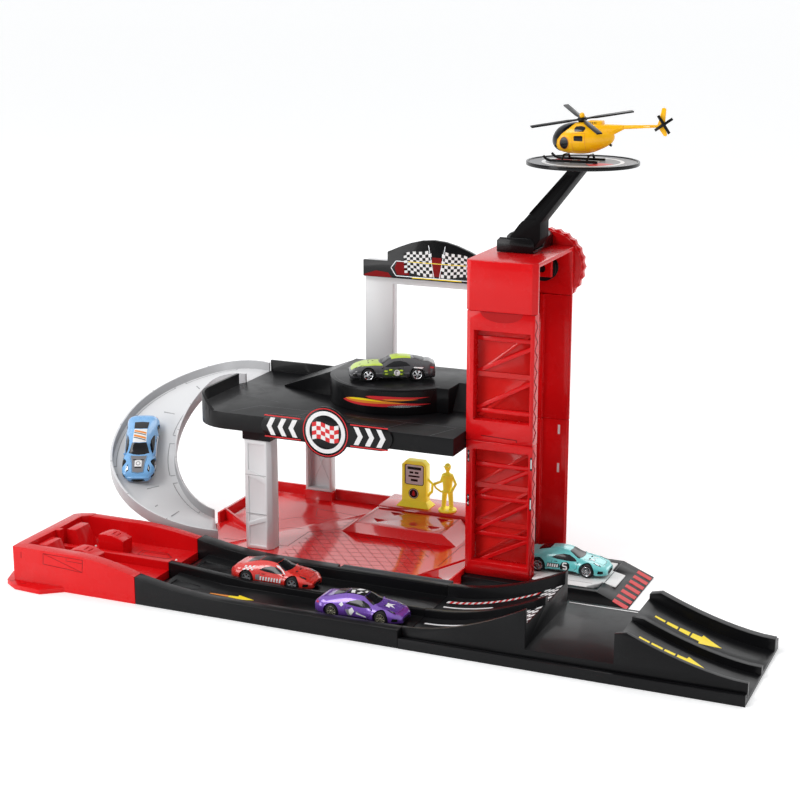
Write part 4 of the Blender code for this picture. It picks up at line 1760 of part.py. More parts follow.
def spiral_place(share, radius_share):
    """Point on the spiral's floor, with the heading and the pitch of the way down."""
    step = 0.01

    def point(at):
        inner = spiral_edge(at, SPIRAL_INNER_RADIUS, DECK_MOUTH_Y)
        outer = spiral_edge(at, SPIRAL_OUTER_RADIUS, DECK_BACK_Y - WALL)
        plan = inner.lerp(outer, radius_share)
        return Vector((plan.x, plan.y, spiral_floor(at)))

    here = point(share)
    ahead = point(share + step) - point(share - step)
    heading = math.degrees(math.atan2(ahead.y, ahead.x))
    pitch = math.degrees(math.atan2(ahead.z, math.hypot(ahead.x, ahead.y)))
    return here, heading, pitch


PURPLE_X = 0.0865
RED_X = -0.0125
TEAL_X = 0.2085
TEAL_Y = -0.0145
GREEN_X = 0.0325
GREEN_Y = 0.0146
GREEN_HEADING_DEG = 207.8
BLUE_SHARE = 0.56
BLUE_ACROSS = 0.53
BLUE_CLEARANCE = 0.0028
LANE_OFFSET = 0.0042


def make_cars():
    """The five toy cars where they stand."""
    track_ground = LANE_FLOOR_Z + GAP
    make_car("purple_car", "purple_paint", CAR_PURPLE, (PURPLE_X, LANE_CENTRES[0] + LANE_OFFSET, track_ground), 0.0)
    make_car("red_car", "red_paint", CAR_RED, (RED_X, LANE_CENTRES[1] - LANE_OFFSET, track_ground), 0.0)
    make_car("teal_car", "teal_paint", CAR_TEAL, (TEAL_X, TEAL_Y, PLATFORM_TOP_Z + GAP), 0.0)
    make_car("green_car", "green_paint", CAR_GREEN, (GREEN_X, GREEN_Y, STAGE_TOP_Z + GAP), GREEN_HEADING_DEG)
    here, heading, pitch = spiral_place(BLUE_SHARE, BLUE_ACROSS)
    here.z += BLUE_CLEARANCE
    make_car("blue_car", "blue_paint", CAR_BLUE, tuple(here), heading, pitch)


def main():
    """Build every part."""
    clear_scene()
    make_launcher()
    make_slider(0, "launch_slider_front")
    make_slider(1, "launch_slider_back")
    make_approach_track()
    make_guard_rail()
    make_jump_tray()
    make_garage_base()
    make_front_column()
    make_rear_column()
    make_deck()
    make_stage()
    make_sign_board()
    make_arch_frame()
    make_arch_sign()
    make_spiral()
    make_tower_lower()
    make_tower_upper()
    make_window("tower_window_lower", LOWER_WINDOW_LOW_Z, LOWER_WINDOW_HIGH_Z, 3)
    make_window("tower_window_upper", UPPER_WINDOW_LOW_Z, UPPER_WINDOW_HIGH_Z, 2)
    make_cap()
    make_exit_ramp()
    make_platform()
    make_knob()
    make_spool()
    make_cord()
    make_helipad_base()
    make_helipad_arm()
    make_helipad_disc()
    make_helicopter_body()
    make_skids()
    make_main_rotor()
    make_tail_rotor()
    make_fuel_pump()
    make_attendant()
    make_cars()


main()
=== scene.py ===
"""Looks for a toy parking garage: launcher, jump track, deck, spiral ramp, lift tower, helipad and toys.

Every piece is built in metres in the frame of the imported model, +X along the tracks, +Y to the back
and +Z up, with its place in its mesh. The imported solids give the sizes; this script adds rounded
edges, printed panels, small mouldings and the finishes. Prints and engraved lines are thin closed
plates, laid on surfaces that are written as functions of a plan and a height.
"""
from __future__ import annotations

import json
import logging
import math
from dataclasses import dataclass, field
from enum import Enum
from typing import Callable, Sequence

import bmesh
import bpy
import numpy as np
from mathutils import Matrix, Vector

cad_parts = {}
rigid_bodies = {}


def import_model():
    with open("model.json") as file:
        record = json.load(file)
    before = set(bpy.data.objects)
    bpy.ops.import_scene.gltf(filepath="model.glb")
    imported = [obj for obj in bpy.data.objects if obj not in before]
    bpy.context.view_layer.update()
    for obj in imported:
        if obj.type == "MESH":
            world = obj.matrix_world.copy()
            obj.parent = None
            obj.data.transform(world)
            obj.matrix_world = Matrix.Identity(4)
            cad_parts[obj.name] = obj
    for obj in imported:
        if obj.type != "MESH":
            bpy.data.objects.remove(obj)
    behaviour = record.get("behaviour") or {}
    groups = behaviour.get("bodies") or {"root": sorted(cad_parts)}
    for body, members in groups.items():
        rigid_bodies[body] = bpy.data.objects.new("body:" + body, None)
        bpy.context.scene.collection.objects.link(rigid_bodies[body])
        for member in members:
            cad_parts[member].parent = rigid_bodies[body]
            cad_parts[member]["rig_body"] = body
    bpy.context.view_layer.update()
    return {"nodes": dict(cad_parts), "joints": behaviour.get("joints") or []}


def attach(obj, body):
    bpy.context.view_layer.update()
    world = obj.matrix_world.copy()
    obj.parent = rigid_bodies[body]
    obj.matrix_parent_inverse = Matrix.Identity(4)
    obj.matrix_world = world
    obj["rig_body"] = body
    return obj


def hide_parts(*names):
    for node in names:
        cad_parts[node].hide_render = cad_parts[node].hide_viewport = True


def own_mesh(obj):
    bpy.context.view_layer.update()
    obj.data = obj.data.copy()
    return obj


LOG = logging.getLogger("garage")
Pair = tuple[float, float]
Point = tuple[float, float, float]
Outline = list[Pair]
Surface = Callable[[np.ndarray, np.ndarray], np.ndarray]
Piece = bpy.types.Object
Socket = bpy.types.NodeSocket

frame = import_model()
NODES: dict[str, Piece] = frame["nodes"]
MM = 0.001


# Meshes

def linked(name: str, data: bpy.types.ID) -> Piece:
    """New object of the given data, placed in the scene."""
    piece = bpy.data.objects.new(name, data)
    bpy.context.scene.collection.objects.link(piece)
    return piece


def from_work(name: str, work: bmesh.types.BMesh) -> Piece:
    """New object from a working mesh, which is freed.

    Args:
        name: name of the object.
        work: working mesh.

    Returns:
        The object, with no material.
    """
    mesh = bpy.data.meshes.new(name)
    work.to_mesh(mesh)
    work.free()
    mesh.materials.clear()
    return linked(name, mesh)


def shade(piece: Piece, smooth_deg: float) -> None:
    """Shade smoothly, with edges sharper than the angle kept crisp."""
    piece.data.shade_smooth()
    piece.data.set_sharp_from_angle(angle=math.radians(smooth_deg))


def tidy(piece: Piece, smooth_deg: float, merge: float = 1e-6) -> None:
    """Merge doubles, turn the faces outwards and shade.

    Args:
        piece: mesh object.
        smooth_deg: edges sharper than this stay crisp.
        merge: distance under which points are one.
    """
    work = bmesh.new()
    work.from_mesh(piece.data)
    bmesh.ops.remove_doubles(work, verts=work.verts, dist=merge)
    bmesh.ops.recalc_face_normals(work, faces=work.faces)
    work.to_mesh(piece.data)
    work.free()
    shade(piece, smooth_deg)


def make_mesh(name: str, points: np.ndarray, faces: Sequence[Sequence[int]]) -> Piece:
    """Turn points and faces into an object at the origin.

    Args:
        name: name of the object.
        points: array of points, three numbers each, in metres.
        faces: rows of point numbers.

    Returns:
        The new object.
    """
    mesh = bpy.data.meshes.new(name)
    mesh.from_pydata(np.asarray(points, float).reshape(-1, 3).tolist(), [], faces)
    mesh.update()
    return linked(name, mesh)


def closed_sweep(name: str, rings: np.ndarray, smooth_deg: float = 40.0, loop: bool = False) -> Piece:
    """Skin a row of closed rings, and cap both ends or join them.

    Args:
        name: name of the object.
        rings: array of rings, each a closed loop of points.
        smooth_deg: edges sharper than this stay crisp.
        loop: the last ring joins the first; otherwise both ends are capped.

    Returns:
        The new closed object.
    """
    count, around = rings.shape[:2]
    row, column = np.meshgrid(np.arange(count if loop else count - 1), np.arange(around), indexing="ij")
    after, right = (row + 1) % count, (column + 1) % around
    quads = np.stack([row * around + column, after * around + column, after * around + right,
                      row * around + right], axis=-1)
    faces = quads.reshape(-1, 4).tolist()
    if not loop:
        faces += [list(range(around)), list(range(count * around - 1, (count - 1) * around - 1, -1))]
    piece = make_mesh(name, rings, faces)
    tidy(piece, smooth_deg)
    return piece


def round_tube(name: str, path: np.ndarray | Sequence[Point], radius: float | np.ndarray,
               sides: int = 12) -> Piece:
    """Round tube along a path: each ring lies across the path's direction at its point.

    Args:
        name: name of the object.
        path: points of the centre line.
        radius: radius, or one for each point.
        sides: points round the tube.

    Returns:
        The new object.
    """
    path = np.asarray(path, float)
    ahead = np.roll(path, -1, 0) - np.roll(path, 1, 0)
    ahead[0] = path[1] - path[0]
    ahead[-1] = path[-1] - path[-2]
    ahead /= np.linalg.norm(ahead, axis=1, keepdims=True)
    guide = np.array([0.0, 0.0, 1.0]) if abs(ahead[:, 2]).max() < 0.95 else np.array([0.31, 0.93, 0.17])
    side = np.cross(ahead, guide)
    side /= np.linalg.norm(side, axis=1, keepdims=True)
    up = np.cross(side, ahead)
    turn = np.linspace(0.0, 2 * np.pi, sides, endpoint=False)
    size = np.broadcast_to(np.asarray(radius, float), (len(path),))[:, None, None]
    return closed_sweep(name, path[:, None] + size * (np.cos(turn)[None, :, None] * side[:, None]
                                                      + np.sin(turn)[None, :, None] * up[:, None]), 50.0)


def prism(name: str, outline: Sequence[Pair], low: float, high: float, axis: int = 2) -> Piece:
    """Flat outline carried from low to high along an axis.

    Args:
        name: name of the object.
        outline: points of the outline, in the order of the other two axes.
        low: start along the axis.
        high: end along the axis.
        axis: 0, 1 or 2 for X, Y or Z.

    Returns:
        The new closed object.
    """
    rings = np.zeros((2, len(outline), 3))
    rings[:, :, [k for k in range(3) if k != axis]] = np.asarray(outline, float)
    rings[:, :, axis] = ((low,), (high,))
    return closed_sweep(name, rings, 30.0)


def turned(name: str, profile: Sequence[Pair], sides: int = 32, loop: bool = False) -> Piece:
    """Profile of radius and Y turned about the Y axis: each row is a circle of that radius at that Y.

    Args:
        name: name of the object.
        profile: radius and Y of each row.
        sides: points round it.
        loop: the last row joins the first, as in a tyre; otherwise both ends are capped.

    Returns:
        The closed object.
    """
    turn = np.linspace(0, 2 * np.pi, sides, endpoint=False)
    table = np.asarray(profile, float)
    rings = np.zeros((len(table), sides, 3))
    rings[:, :, 0] = table[:, :1] * np.cos(turn)
    rings[:, :, 1] = table[:, 1:]
    rings[:, :, 2] = table[:, :1] * np.sin(turn)
    return closed_sweep(name, rings, 35.0, loop)


def dome(name: str, foot: Point, radius: float, height: float) -> Piece:
    """Low dome: at a share s of the way out, its height is the cosine of a quarter turn times s.

    Args:
        name: name of the object.
        foot: middle of its foot.
        radius: radius of the foot.
        height: height of the crown.

    Returns:
        The closed object, sunk a little into what it stands on.
    """
    share = np.linspace(1.0, 0.08, 8)
    share = np.concatenate([[1.0], share])[:, None]
    turn = np.linspace(0, 2 * np.pi, 20, endpoint=False)
    level = height * np.cos(share * np.pi / 2)
    level[0] = -0.0004
    rings = np.stack([foot[0] + radius * share * np.cos(turn), foot[1] + radius * share * np.sin(turn),
                      foot[2] + level + 0 * turn], axis=-1)
    return closed_sweep(name, rings)


def apply_modifiers(piece: Piece) -> None:
    """Bake the modifiers into the mesh."""
    graph = bpy.context.evaluated_depsgraph_get()
    graph.update()
    baked = bpy.data.meshes.new_from_object(piece.evaluated_get(graph), depsgraph=graph)
    piece.modifiers.clear()
    piece.data = baked


def bevel(piece: Piece, width: float, segments: int = 2, angle_deg: float = 35.0) -> Piece:
    """Round the edges that are sharper than an angle, and apply it.

    Args:
        piece: mesh object.
        width: width of the rounding.
        segments: faces across it.
        angle_deg: least angle that is rounded.

    Returns:
        The same object.
    """
    step = piece.modifiers.new("Rounded edges", "BEVEL")
    step.width = width
    step.segments = segments
    step.limit_method = "ANGLE"
    step.angle_limit = math.radians(angle_deg)
    step.use_clamp_overlap = True
    step.harden_normals = False
    apply_modifiers(piece)
    shade(piece, 40.0)
    return piece


def softened(node: str, width: float, segments: int = 2) -> Piece:
    """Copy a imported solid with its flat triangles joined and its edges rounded.

    Args:
        node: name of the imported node, which the copy then stands for.
        width: width of the rounding.
        segments: faces across it.

    Returns:
        The rounded copy, riding on the node's body.
    """
    work = bmesh.new()
    work.from_mesh(NODES[node].data)
    bmesh.ops.remove_doubles(work, verts=work.verts, dist=5e-6)
    bmesh.ops.dissolve_limit(work, angle_limit=math.radians(1.0), verts=work.verts, edges=work.edges)
    piece = bevel(from_work(node + "_rounded", work), width, segments, 32.0)
    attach(piece, NODES[node]["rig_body"])
    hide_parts(node)
    return piece


def joined(name: str, pieces: Sequence[Piece]) -> Piece:
    """One object from several closed ones at the origin, which are removed.

    Args:
        name: name of the object.
        pieces: the objects.

    Returns:
        The joined object.
    """
    work = bmesh.new()
    for piece in pieces:
        work.from_mesh(piece.data)
        bpy.data.objects.remove(piece)
    whole = from_work(name, work)
    shade(whole, 40.0)
    return whole


def cut_away(piece: Piece, cutter: Piece) -> None:
    """Take the cutter's volume out of a piece and remove the cutter."""
    step = piece.modifiers.new("Cut", "BOOLEAN")
    step.operation = "DIFFERENCE"
    step.solver = "EXACT"
    step.object = cutter
    apply_modifiers(piece)
    bpy.data.objects.remove(cutter)
    shade(piece, 40.0)


def curve(at: np.ndarray, knots: np.ndarray, values: np.ndarray) -> np.ndarray:
    """Smooth curve through uneven knots: cubic pieces whose slope at a knot is the mean slope there.

    Args:
        at: where it is wanted.
        knots: rising places of the values.
        values: values at the knots, one row each.

    Returns:
        One row for each place.
    """
    slopes = np.gradient(values, knots, axis=0)
    i = np.clip(np.searchsorted(knots, at, side="right") - 1, 0, len(knots) - 2)
    extra = (1,) * (values.ndim - 1)
    width = (knots[i + 1] - knots[i]).reshape(-1, *extra)
    s = np.clip((at - knots[i]).reshape(-1, *extra) / width, 0, 1)
    return ((2 * s**3 - 3 * s**2 + 1) * values[i] + (s**3 - 2 * s**2 + s) * width * slopes[i]
            + (3 * s**2 - 2 * s**3) * values[i + 1] + (s**3 - s**2) * width * slopes[i + 1])


# Shader trees

class Wiring:
    """Short-hand for placing and joining the nodes of one shader tree."""

    def __init__(self, tree: bpy.types.NodeTree) -> None:
        """Keep the tree that the nodes go into."""
        self.tree = tree

    def add(self, kind: str, **settings: object) -> bpy.types.Node:
        """Place a node.

        Args:
            kind: Blender's name of the node type.
            settings: attributes to set on it.

        Returns:
            The node.
        """
        node = self.tree.nodes.new(kind)
        for key, value in settings.items():
            setattr(node, key, value)
        return node

    def join(self, value: object, target: Socket) -> None:
        """Link a socket to the target, or set the target to a plain value."""
        if isinstance(value, Socket):
            self.tree.links.new(value, target)
        else:
            target.default_value = value

    def calc(self, operation: str, *values: object, clamp: bool = False) -> Socket:
        """One Math node.

        Args:
            operation: Math operation.
            values: its inputs.
            clamp: keep the answer between 0 and 1.

        Returns:
            Its answer.
        """
        node = self.add("ShaderNodeMath", operation=operation, use_clamp=clamp)
        for socket, value in zip(node.inputs, values):
            self.join(value, socket)
        return node.outputs[0]

    def blend(self, share: object, first: object, second: object) -> Socket:
        """Mix two colours.

        Args:
            share: how much of the second.
            first: first colour.
            second: second colour.

        Returns:
            The mixed colour.
        """
        node = self.add("ShaderNodeMix", data_type="RGBA")
        for socket, value in ((0, share), (6, first), (7, second)):
            self.join(value, node.inputs[socket])
        return node.outputs[2]

    def remap(self, value: object, low: float, high: float, new_low: float = 0.0,
              new_high: float = 1.0) -> Socket:
        """Stretch a range of values to another, clamped.

        Args:
            value: what is stretched.
            low: start of its range.
            high: end of its range.
            new_low: answer at the start.
            new_high: answer at the end.

        Returns:
            The stretched value.
        """
        node = self.add("ShaderNodeMapRange", clamp=True)
        for socket, given in zip(node.inputs, (value, low, high, new_low, new_high)):
            self.join(given, socket)
        return node.outputs[0]

    def noise(self, place: Socket, scale: object, detail: float = 2.0, roughness: float = 0.5) -> Socket:
        """Soft noise.

        Args:
            place: coordinates.
            scale: waves per metre.
            detail: octaves.
            roughness: share of the fine octaves.

        Returns:
            Noise from 0 to 1.
        """
        node = self.add("ShaderNodeTexNoise")
        for key, value in (("Vector", place), ("Scale", scale), ("Detail", detail), ("Roughness", roughness)):
            self.join(value, node.inputs[key])
        return node.outputs[0]

    def here(self) -> Socket:
        """Object coordinates."""
        return self.add("ShaderNodeTexCoord").outputs["Object"]

    def brighter(self, colour: object, by: Socket) -> Socket:
        """Colour whose brightness is 1 plus the given amount times its own."""
        node = self.add("ShaderNodeHueSaturation")
        self.join(colour, node.inputs["Color"])
        self.join(self.calc("ADD", 1.0, by), node.inputs["Value"])
        return node.outputs[0]


Group = tuple[bpy.types.NodeTree, Wiring, bpy.types.Node, bpy.types.Node]


def new_group(name: str, inputs: dict[str, object], outputs: Sequence[str]) -> Group:
    """Start a shader node group whose sockets are numbers, or colours where the name is Colour.

    Args:
        name: name of the group.
        inputs: default of each input by name.
        outputs: names of the outputs.

    Returns:
        The group, its wiring, and its input and output nodes.
    """
    tree = bpy.data.node_groups.new(name, "ShaderNodeTree")
    for way, labels in (("INPUT", inputs), ("OUTPUT", outputs)):
        for label in labels:
            kind = "NodeSocketColor" if label == "Colour" else "NodeSocketFloat"
            socket = tree.interface.new_socket(name=label, in_out=way, socket_type=kind)
            if way == "INPUT":
                socket.default_value = inputs[label]
    wiring = Wiring(tree)
    return tree, wiring, wiring.add("NodeGroupInput"), wiring.add("NodeGroupOutput")


MID_GREY = (0.5, 0.5, 0.5, 1.0)


def moulded_skin_group() -> bpy.types.NodeTree:
    """Moulded plastic's skin: slow flow waves, a fine grain, handling smudges and light dust.

    Returns:
        Group from colour and amounts to Colour, Roughness and Height.
    """
    tree, w, start, end = new_group(
        "Moulded skin", {"Colour": MID_GREY, "Roughness": 0.3, "Smudge": 0.08, "Grain": 0.3, "Flow": 0.3,
                         "Dust": 0.05,
                         "Grain scale": 2500.0}, ("Colour", "Roughness", "Height"))
    here = w.here()
    slow = w.noise(here, 14.0)
    patch = w.noise(here, 55.0, 4.0, 0.6)
    fine = w.noise(here, start.outputs["Grain scale"])
    lighter = w.brighter(start.outputs["Colour"], w.calc("MULTIPLY", w.calc("SUBTRACT", slow, 0.5), 0.16))
    split = w.add("ShaderNodeSeparateXYZ")
    w.join(w.add("ShaderNodeNewGeometry").outputs["Normal"], split.inputs[0])
    upward = w.calc("MULTIPLY", w.remap(split.outputs["Z"], 0.55, 1.0), start.outputs["Dust"])
    lying = w.calc("MULTIPLY", w.remap(patch, 0.42, 0.72), upward)
    w.join(w.blend(lying, lighter, (0.55, 0.53, 0.50, 1.0)), end.inputs["Colour"])
    smudge = w.calc("MULTIPLY", w.remap(patch, 0.45, 0.75), start.outputs["Smudge"])
    rough = w.calc("ADD", start.outputs["Roughness"], smudge)
    w.join(w.calc("ADD", rough, w.calc("MULTIPLY", lying, 0.5), clamp=True), end.inputs["Roughness"])
    w.join(w.calc("ADD", w.calc("MULTIPLY", fine, start.outputs["Grain"]),
                  w.calc("MULTIPLY", slow, start.outputs["Flow"])), end.inputs["Height"])
    return tree


def scuff_group() -> bpy.types.NodeTree:
    """Fine scratches: thin bright lines in two directions, broken up by patches.

    Returns:
        Group from Amount and Scale to a Mask.
    """
    tree, w, start, end = new_group("Scuffs", {"Amount": 0.1, "Scale": 160.0}, ("Mask",))
    here = w.here()
    total: object = 0.0
    for turn, stretch in ((0.4, 9.0), (1.9, 7.0)):
        mapping = w.add("ShaderNodeMapping")
        mapping.inputs["Rotation"].default_value = (0.3, 0.2, turn)
        mapping.inputs["Scale"].default_value = (1.0, stretch, 1.0)
        w.join(here, mapping.inputs["Vector"])
        line = w.noise(mapping.outputs[0], start.outputs["Scale"], 3.0, 0.7)
        near = w.calc("ABSOLUTE", w.calc("SUBTRACT", line, 0.5))
        total = w.calc("ADD", total, w.remap(near, 0.0, 0.012, 1.0, 0.0))
    broken = w.calc("MULTIPLY", total, w.remap(w.noise(here, 40.0), 0.5, 0.7))
    w.join(w.calc("MULTIPLY", broken, start.outputs["Amount"], clamp=True), end.inputs["Mask"])
    return tree


def flake_group() -> bpy.types.NodeTree:
    """Metallic flakes in car paint: small cells of slightly different brightness.

    Returns:
        Group from Colour and Sparkle to Colour.
    """
    tree, w, start, end = new_group("Paint flakes", {"Colour": MID_GREY, "Sparkle": 0.3}, ("Colour",))
    cells = w.add("ShaderNodeTexVoronoi")
    w.join(w.here(), cells.inputs["Vector"])
    cells.inputs["Scale"].default_value = 3200.0
    split = w.add("ShaderNodeSeparateColor")
    w.join(cells.outputs["Color"], split.inputs[0])
    change = w.calc("MULTIPLY", w.calc("SUBTRACT", split.outputs[0], 0.4), start.outputs["Sparkle"])
    w.join(w.brighter(start.outputs["Colour"], change), end.inputs["Colour"])
    return tree


class Effect(Enum):
    """Shared shader effects, by the name of their group."""

    SKIN = "Moulded skin"
    SCUFFS = "Scuffs"
    FLAKES = "Paint flakes"


BUILDERS = {Effect.SKIN: moulded_skin_group, Effect.SCUFFS: scuff_group, Effect.FLAKES: flake_group}


def effect(w: Wiring, which: Effect, **values: object) -> bpy.types.Node:
    """Place a shared effect in a material.

    Args:
        w: wiring of the material.
        which: the effect.
        values: its inputs by name, with underscores for spaces.

    Returns:
        The group node.
    """
    tree = bpy.data.node_groups.get(which.value) or BUILDERS[which]()
    node = w.add("ShaderNodeGroup", node_tree=tree)
    for key, value in values.items():
        w.join(value, node.inputs[key.replace("_", " ")])
    return node


@dataclass(frozen=True)
class Plastic:
    """Moulded or painted plastic, with its skin, scratches and sheen."""

    name: str
    colour: Point
    roughness: float = 0.32
    smudge: float = 0.10
    grain: float = 0.25
    flow: float = 0.35
    dust: float = 0.04
    scuffs: float = 0.10
    bump: float = 0.25
    coat: float = 0.0
    flakes: float = 0.0
    metallic: float = 0.0
    alpha: float = 1.0
    specular: float = 0.5
    # Emission in the finish's own colour: painted light on a part that is no lamp.
    glow: float = 0.0

    def make(self) -> bpy.types.Material:
        """The material, built once."""
        material = bpy.data.materials.get(self.name)
        if material is None:
            material = bpy.data.materials.new(self.name)
            material.use_nodes = True
            self.dress(Wiring(material.node_tree), material.node_tree.nodes["Principled BSDF"])
        return material

    def dress(self, w: Wiring, shader: bpy.types.Node) -> None:
        """Wire this finish's skin into a shader.

        Args:
            w: wiring of the material.
            shader: its Principled BSDF.
        """
        colour: object = (*self.colour, 1.0)
        if self.flakes:
            colour = effect(w, Effect.FLAKES, Colour=colour, Sparkle=self.flakes).outputs[0]
        skin = effect(w, Effect.SKIN, Colour=colour, Roughness=self.roughness, Smudge=self.smudge,
                      Grain=self.grain, Flow=self.flow, Dust=self.dust, Grain_scale=2500.0)
        scratched = effect(w, Effect.SCUFFS, Amount=self.scuffs)
        light = tuple(min(1.0, c * 0.6 + 0.30) for c in self.colour)
        w.join(w.blend(scratched.outputs[0], skin.outputs["Colour"], (*light, 1.0)),
               shader.inputs["Base Color"])
        w.join(skin.outputs["Roughness"], shader.inputs["Roughness"])
        relief = w.add("ShaderNodeBump")
        relief.inputs["Strength"].default_value = self.bump
        relief.inputs["Distance"].default_value = 0.0002
        w.join(skin.outputs["Height"], relief.inputs["Height"])
        w.join(relief.outputs[0], shader.inputs["Normal"])
        shader.inputs["Metallic"].default_value = self.metallic
        shader.inputs["Coat Weight"].default_value = self.coat
        shader.inputs["Coat Roughness"].default_value = 0.06
        shader.inputs["Alpha"].default_value = self.alpha
        shader.inputs["Specular IOR Level"].default_value = self.specular
        # Painted glow: emission in the finish's own colour, not a lamp.
        shader.inputs["Emission Color"].default_value = (*self.colour, 1.0)
        shader.inputs["Emission Strength"].default_value = self.glow


def clean(name: str, colour: Point, roughness: float = 0.32, **rest: float) -> Plastic:
    """Finish without dust, hardly scuffed and dull unless told otherwise."""
    return Plastic(name, colour, roughness, **{"scuffs": 0.03, "dust": 0.0, "specular": 0.2, **rest})


class Finish:
    """The set's plain finishes."""

    RED = clean("Glossy red moulding", (0.66, 0.005, 0.007), 0.24, coat=0.28, bump=0.12, specular=0.10,
                scuffs=0.05)
    RED_FLOOR = clean("Glossy red floor", (0.80, 0.008, 0.010), 0.18, coat=0.85, bump=0.10, scuffs=0.10)
    # Darker red: engraved lines and moulded marks, and painted shade on the tower post's ribs.
    DARK_RED = Plastic("Shaded red moulding", (0.22, 0.003, 0.004), 0.35, specular=0.10)
    # Mid red for the cap's finger notch: painted shade in the sunk half-round.
    NOTCH_PAINTED_SHADE = Plastic("Half-shaded red moulding", (0.42, 0.004, 0.005), 0.30, coat=0.1, specular=0.10)
    BLACK = clean("Semi-gloss black moulding", (0.0055, 0.0055, 0.0062), 0.30, bump=0.15, scuffs=0.02,
                    specular=0.13, coat=0.08)
    GLOSS_BLACK = clean("Glossy black moulding", (0.0050, 0.0050, 0.0058), 0.20, coat=0.18, bump=0.08,
                          scuffs=0.02, specular=0.13)
    MATT_BLACK = clean("Matt black moulding", (0.0060, 0.0060, 0.0065), 0.50, bump=0.12, scuffs=0.02,
                       specular=0.05)
    GREY = Plastic("Dark grey moulding", (0.055, 0.055, 0.060), 0.38, specular=0.3)
    PALE = Plastic("Pale grey moulding", (0.72, 0.72, 0.73), 0.32, coat=0.1, bump=0.12, scuffs=0.04,
                   specular=0.3)
    # Darker copy of the pale grey: painted shade on the spiral's upright faces.
    PALE_PAINTED_SHADE = Plastic("Shaded pale moulding", (0.42, 0.42, 0.43), 0.34, coat=0.1, bump=0.12, scuffs=0.04,
                        specular=0.3)
    SHADE_PALE = Plastic("Groove grey", (0.34, 0.34, 0.35), 0.45)
    WHITE = Plastic("White moulding", (0.80, 0.80, 0.79), 0.34, scuffs=0.04)
    # The yellow's glow paints light on the pump and the attendant where the deck shades them.
    YELLOW = clean("Yellow moulding", (0.97, 0.82, 0.060), 0.34, coat=0.10, bump=0.12, scuffs=0.10,
                     specular=0.25, glow=0.18)
    # The helicopter yellow's glow is painted light.
    HELI_YELLOW = clean("Helicopter yellow", (0.97, 0.49, 0.003), 0.24, coat=0.30, bump=0.08, scuffs=0.10,
                          specular=0.25, glow=0.06)
    HELI_GLASS = clean("Dark glass print", (0.006, 0.006, 0.008), 0.14, coat=0.25, bump=0.0, scuffs=0.02,
                         specular=0.25)
    # The sheet's glow paints the light that shines through it.
    CLEAR_RED = clean("See-through red sheet", (0.62, 0.014, 0.012), 0.20, coat=0.25, alpha=0.84, bump=0.1,
                        scuffs=0.10, glow=0.05)
    CORD = Plastic("White cord", (0.62, 0.61, 0.57), 0.85, grain=0.8, bump=0.5)
    TYRE = Plastic("Tyre black", (0.010, 0.010, 0.011), 0.55, grain=0.6, bump=0.3, specular=0.3)
    HUB = Plastic("Bright hub", (0.62, 0.63, 0.65), 0.18, metallic=0.9, bump=0.05)
    PRINT_WHITE = clean("White print", (0.82, 0.82, 0.82), 0.35, specular=0.5)
    PRINT_BLACK = clean("Black print", (0.008, 0.008, 0.008), 0.30, scuffs=0.02)
    PRINT_RED = clean("Red print", (0.68, 0.030, 0.035))
    PRINT_YELLOW = clean("Yellow print", (1.0, 0.76, 0.015))
    PRINT_ORANGE = clean("Orange print", (0.80, 0.26, 0.030))
    PRINT_GREY = clean("Grey print", (0.20, 0.20, 0.21), 0.35, specular=0.3)


def paint(piece: Piece, finish: Plastic) -> Piece:
    """Give a piece its finish.

    Args:
        piece: mesh object.
        finish: the finish.

    Returns:
        The same object.
    """
    piece.data.materials.clear()
    piece.data.materials.append(finish.make())
    return piece


def paint_sides(piece: Piece, finish: Plastic) -> None:
    """Give a painted piece's upright faces a second finish, such as a darker copy that paints shade on them.

    Args:
        piece: painted mesh object.
        finish: finish of the faces whose normal rises or falls by less than a half.
    """
    faces = piece.data.polygons
    normals = np.empty(3 * len(faces), dtype=np.float32)
    faces.foreach_get("normal", normals)
    upright = np.abs(normals.reshape(-1, 3)[:, 2]) < 0.5
    piece.data.materials.append(finish.make())
    faces.foreach_set("material_index", upright.astype(np.int32))


# Printed inlays: thin closed plates that lie on a surface

def flat_on(axis: int, level: float, lift: float = 1.0) -> Surface:
    """Surface function of a plane across an axis.

    Args:
        axis: 0, 1 or 2 for the plane's X, Y or Z.
        level: its place on that axis.
        lift: 1 to stand off towards +, -1 towards -.

    Returns:
        Function from a plate's own two coordinates, which are the other two axes in order, and its
        height to points.
    """

    def place(plan: np.ndarray, height: np.ndarray) -> np.ndarray:
        """Put the plan on the plane."""
        return np.insert(plan, axis, level + lift * height, axis=1)

    return place


def floor_surface(height_at: Callable[[np.ndarray], np.ndarray]) -> Surface:
    """Surface of a floor whose height changes along X only.

    Args:
        height_at: height for each X.

    Returns:
        Function from plan (X, Y) and height over the floor to points.
    """

    def place(plan: np.ndarray, height: np.ndarray) -> np.ndarray:
        """Put the plan on the floor."""
        return np.column_stack([plan, height_at(plan[:, 0]) + height])

    return place


def cylinder_surface(centre: Pair, radius: float) -> Surface:
    """Upright cylinder seen from outside: the plan is the arc length from the angle 0 and the height Z.

    Args:
        centre: its axis in plan.
        radius: its radius.

    Returns:
        Function from plan and height to points.
    """

    def place(plan: np.ndarray, height: np.ndarray) -> np.ndarray:
        """Wrap the plan round the cylinder."""
        turn = plan[:, 0] / radius
        reach = radius + height
        return np.column_stack([centre[0] + reach * np.cos(turn), centre[1] + reach * np.sin(turn),
                                plan[:, 1]])

    return place


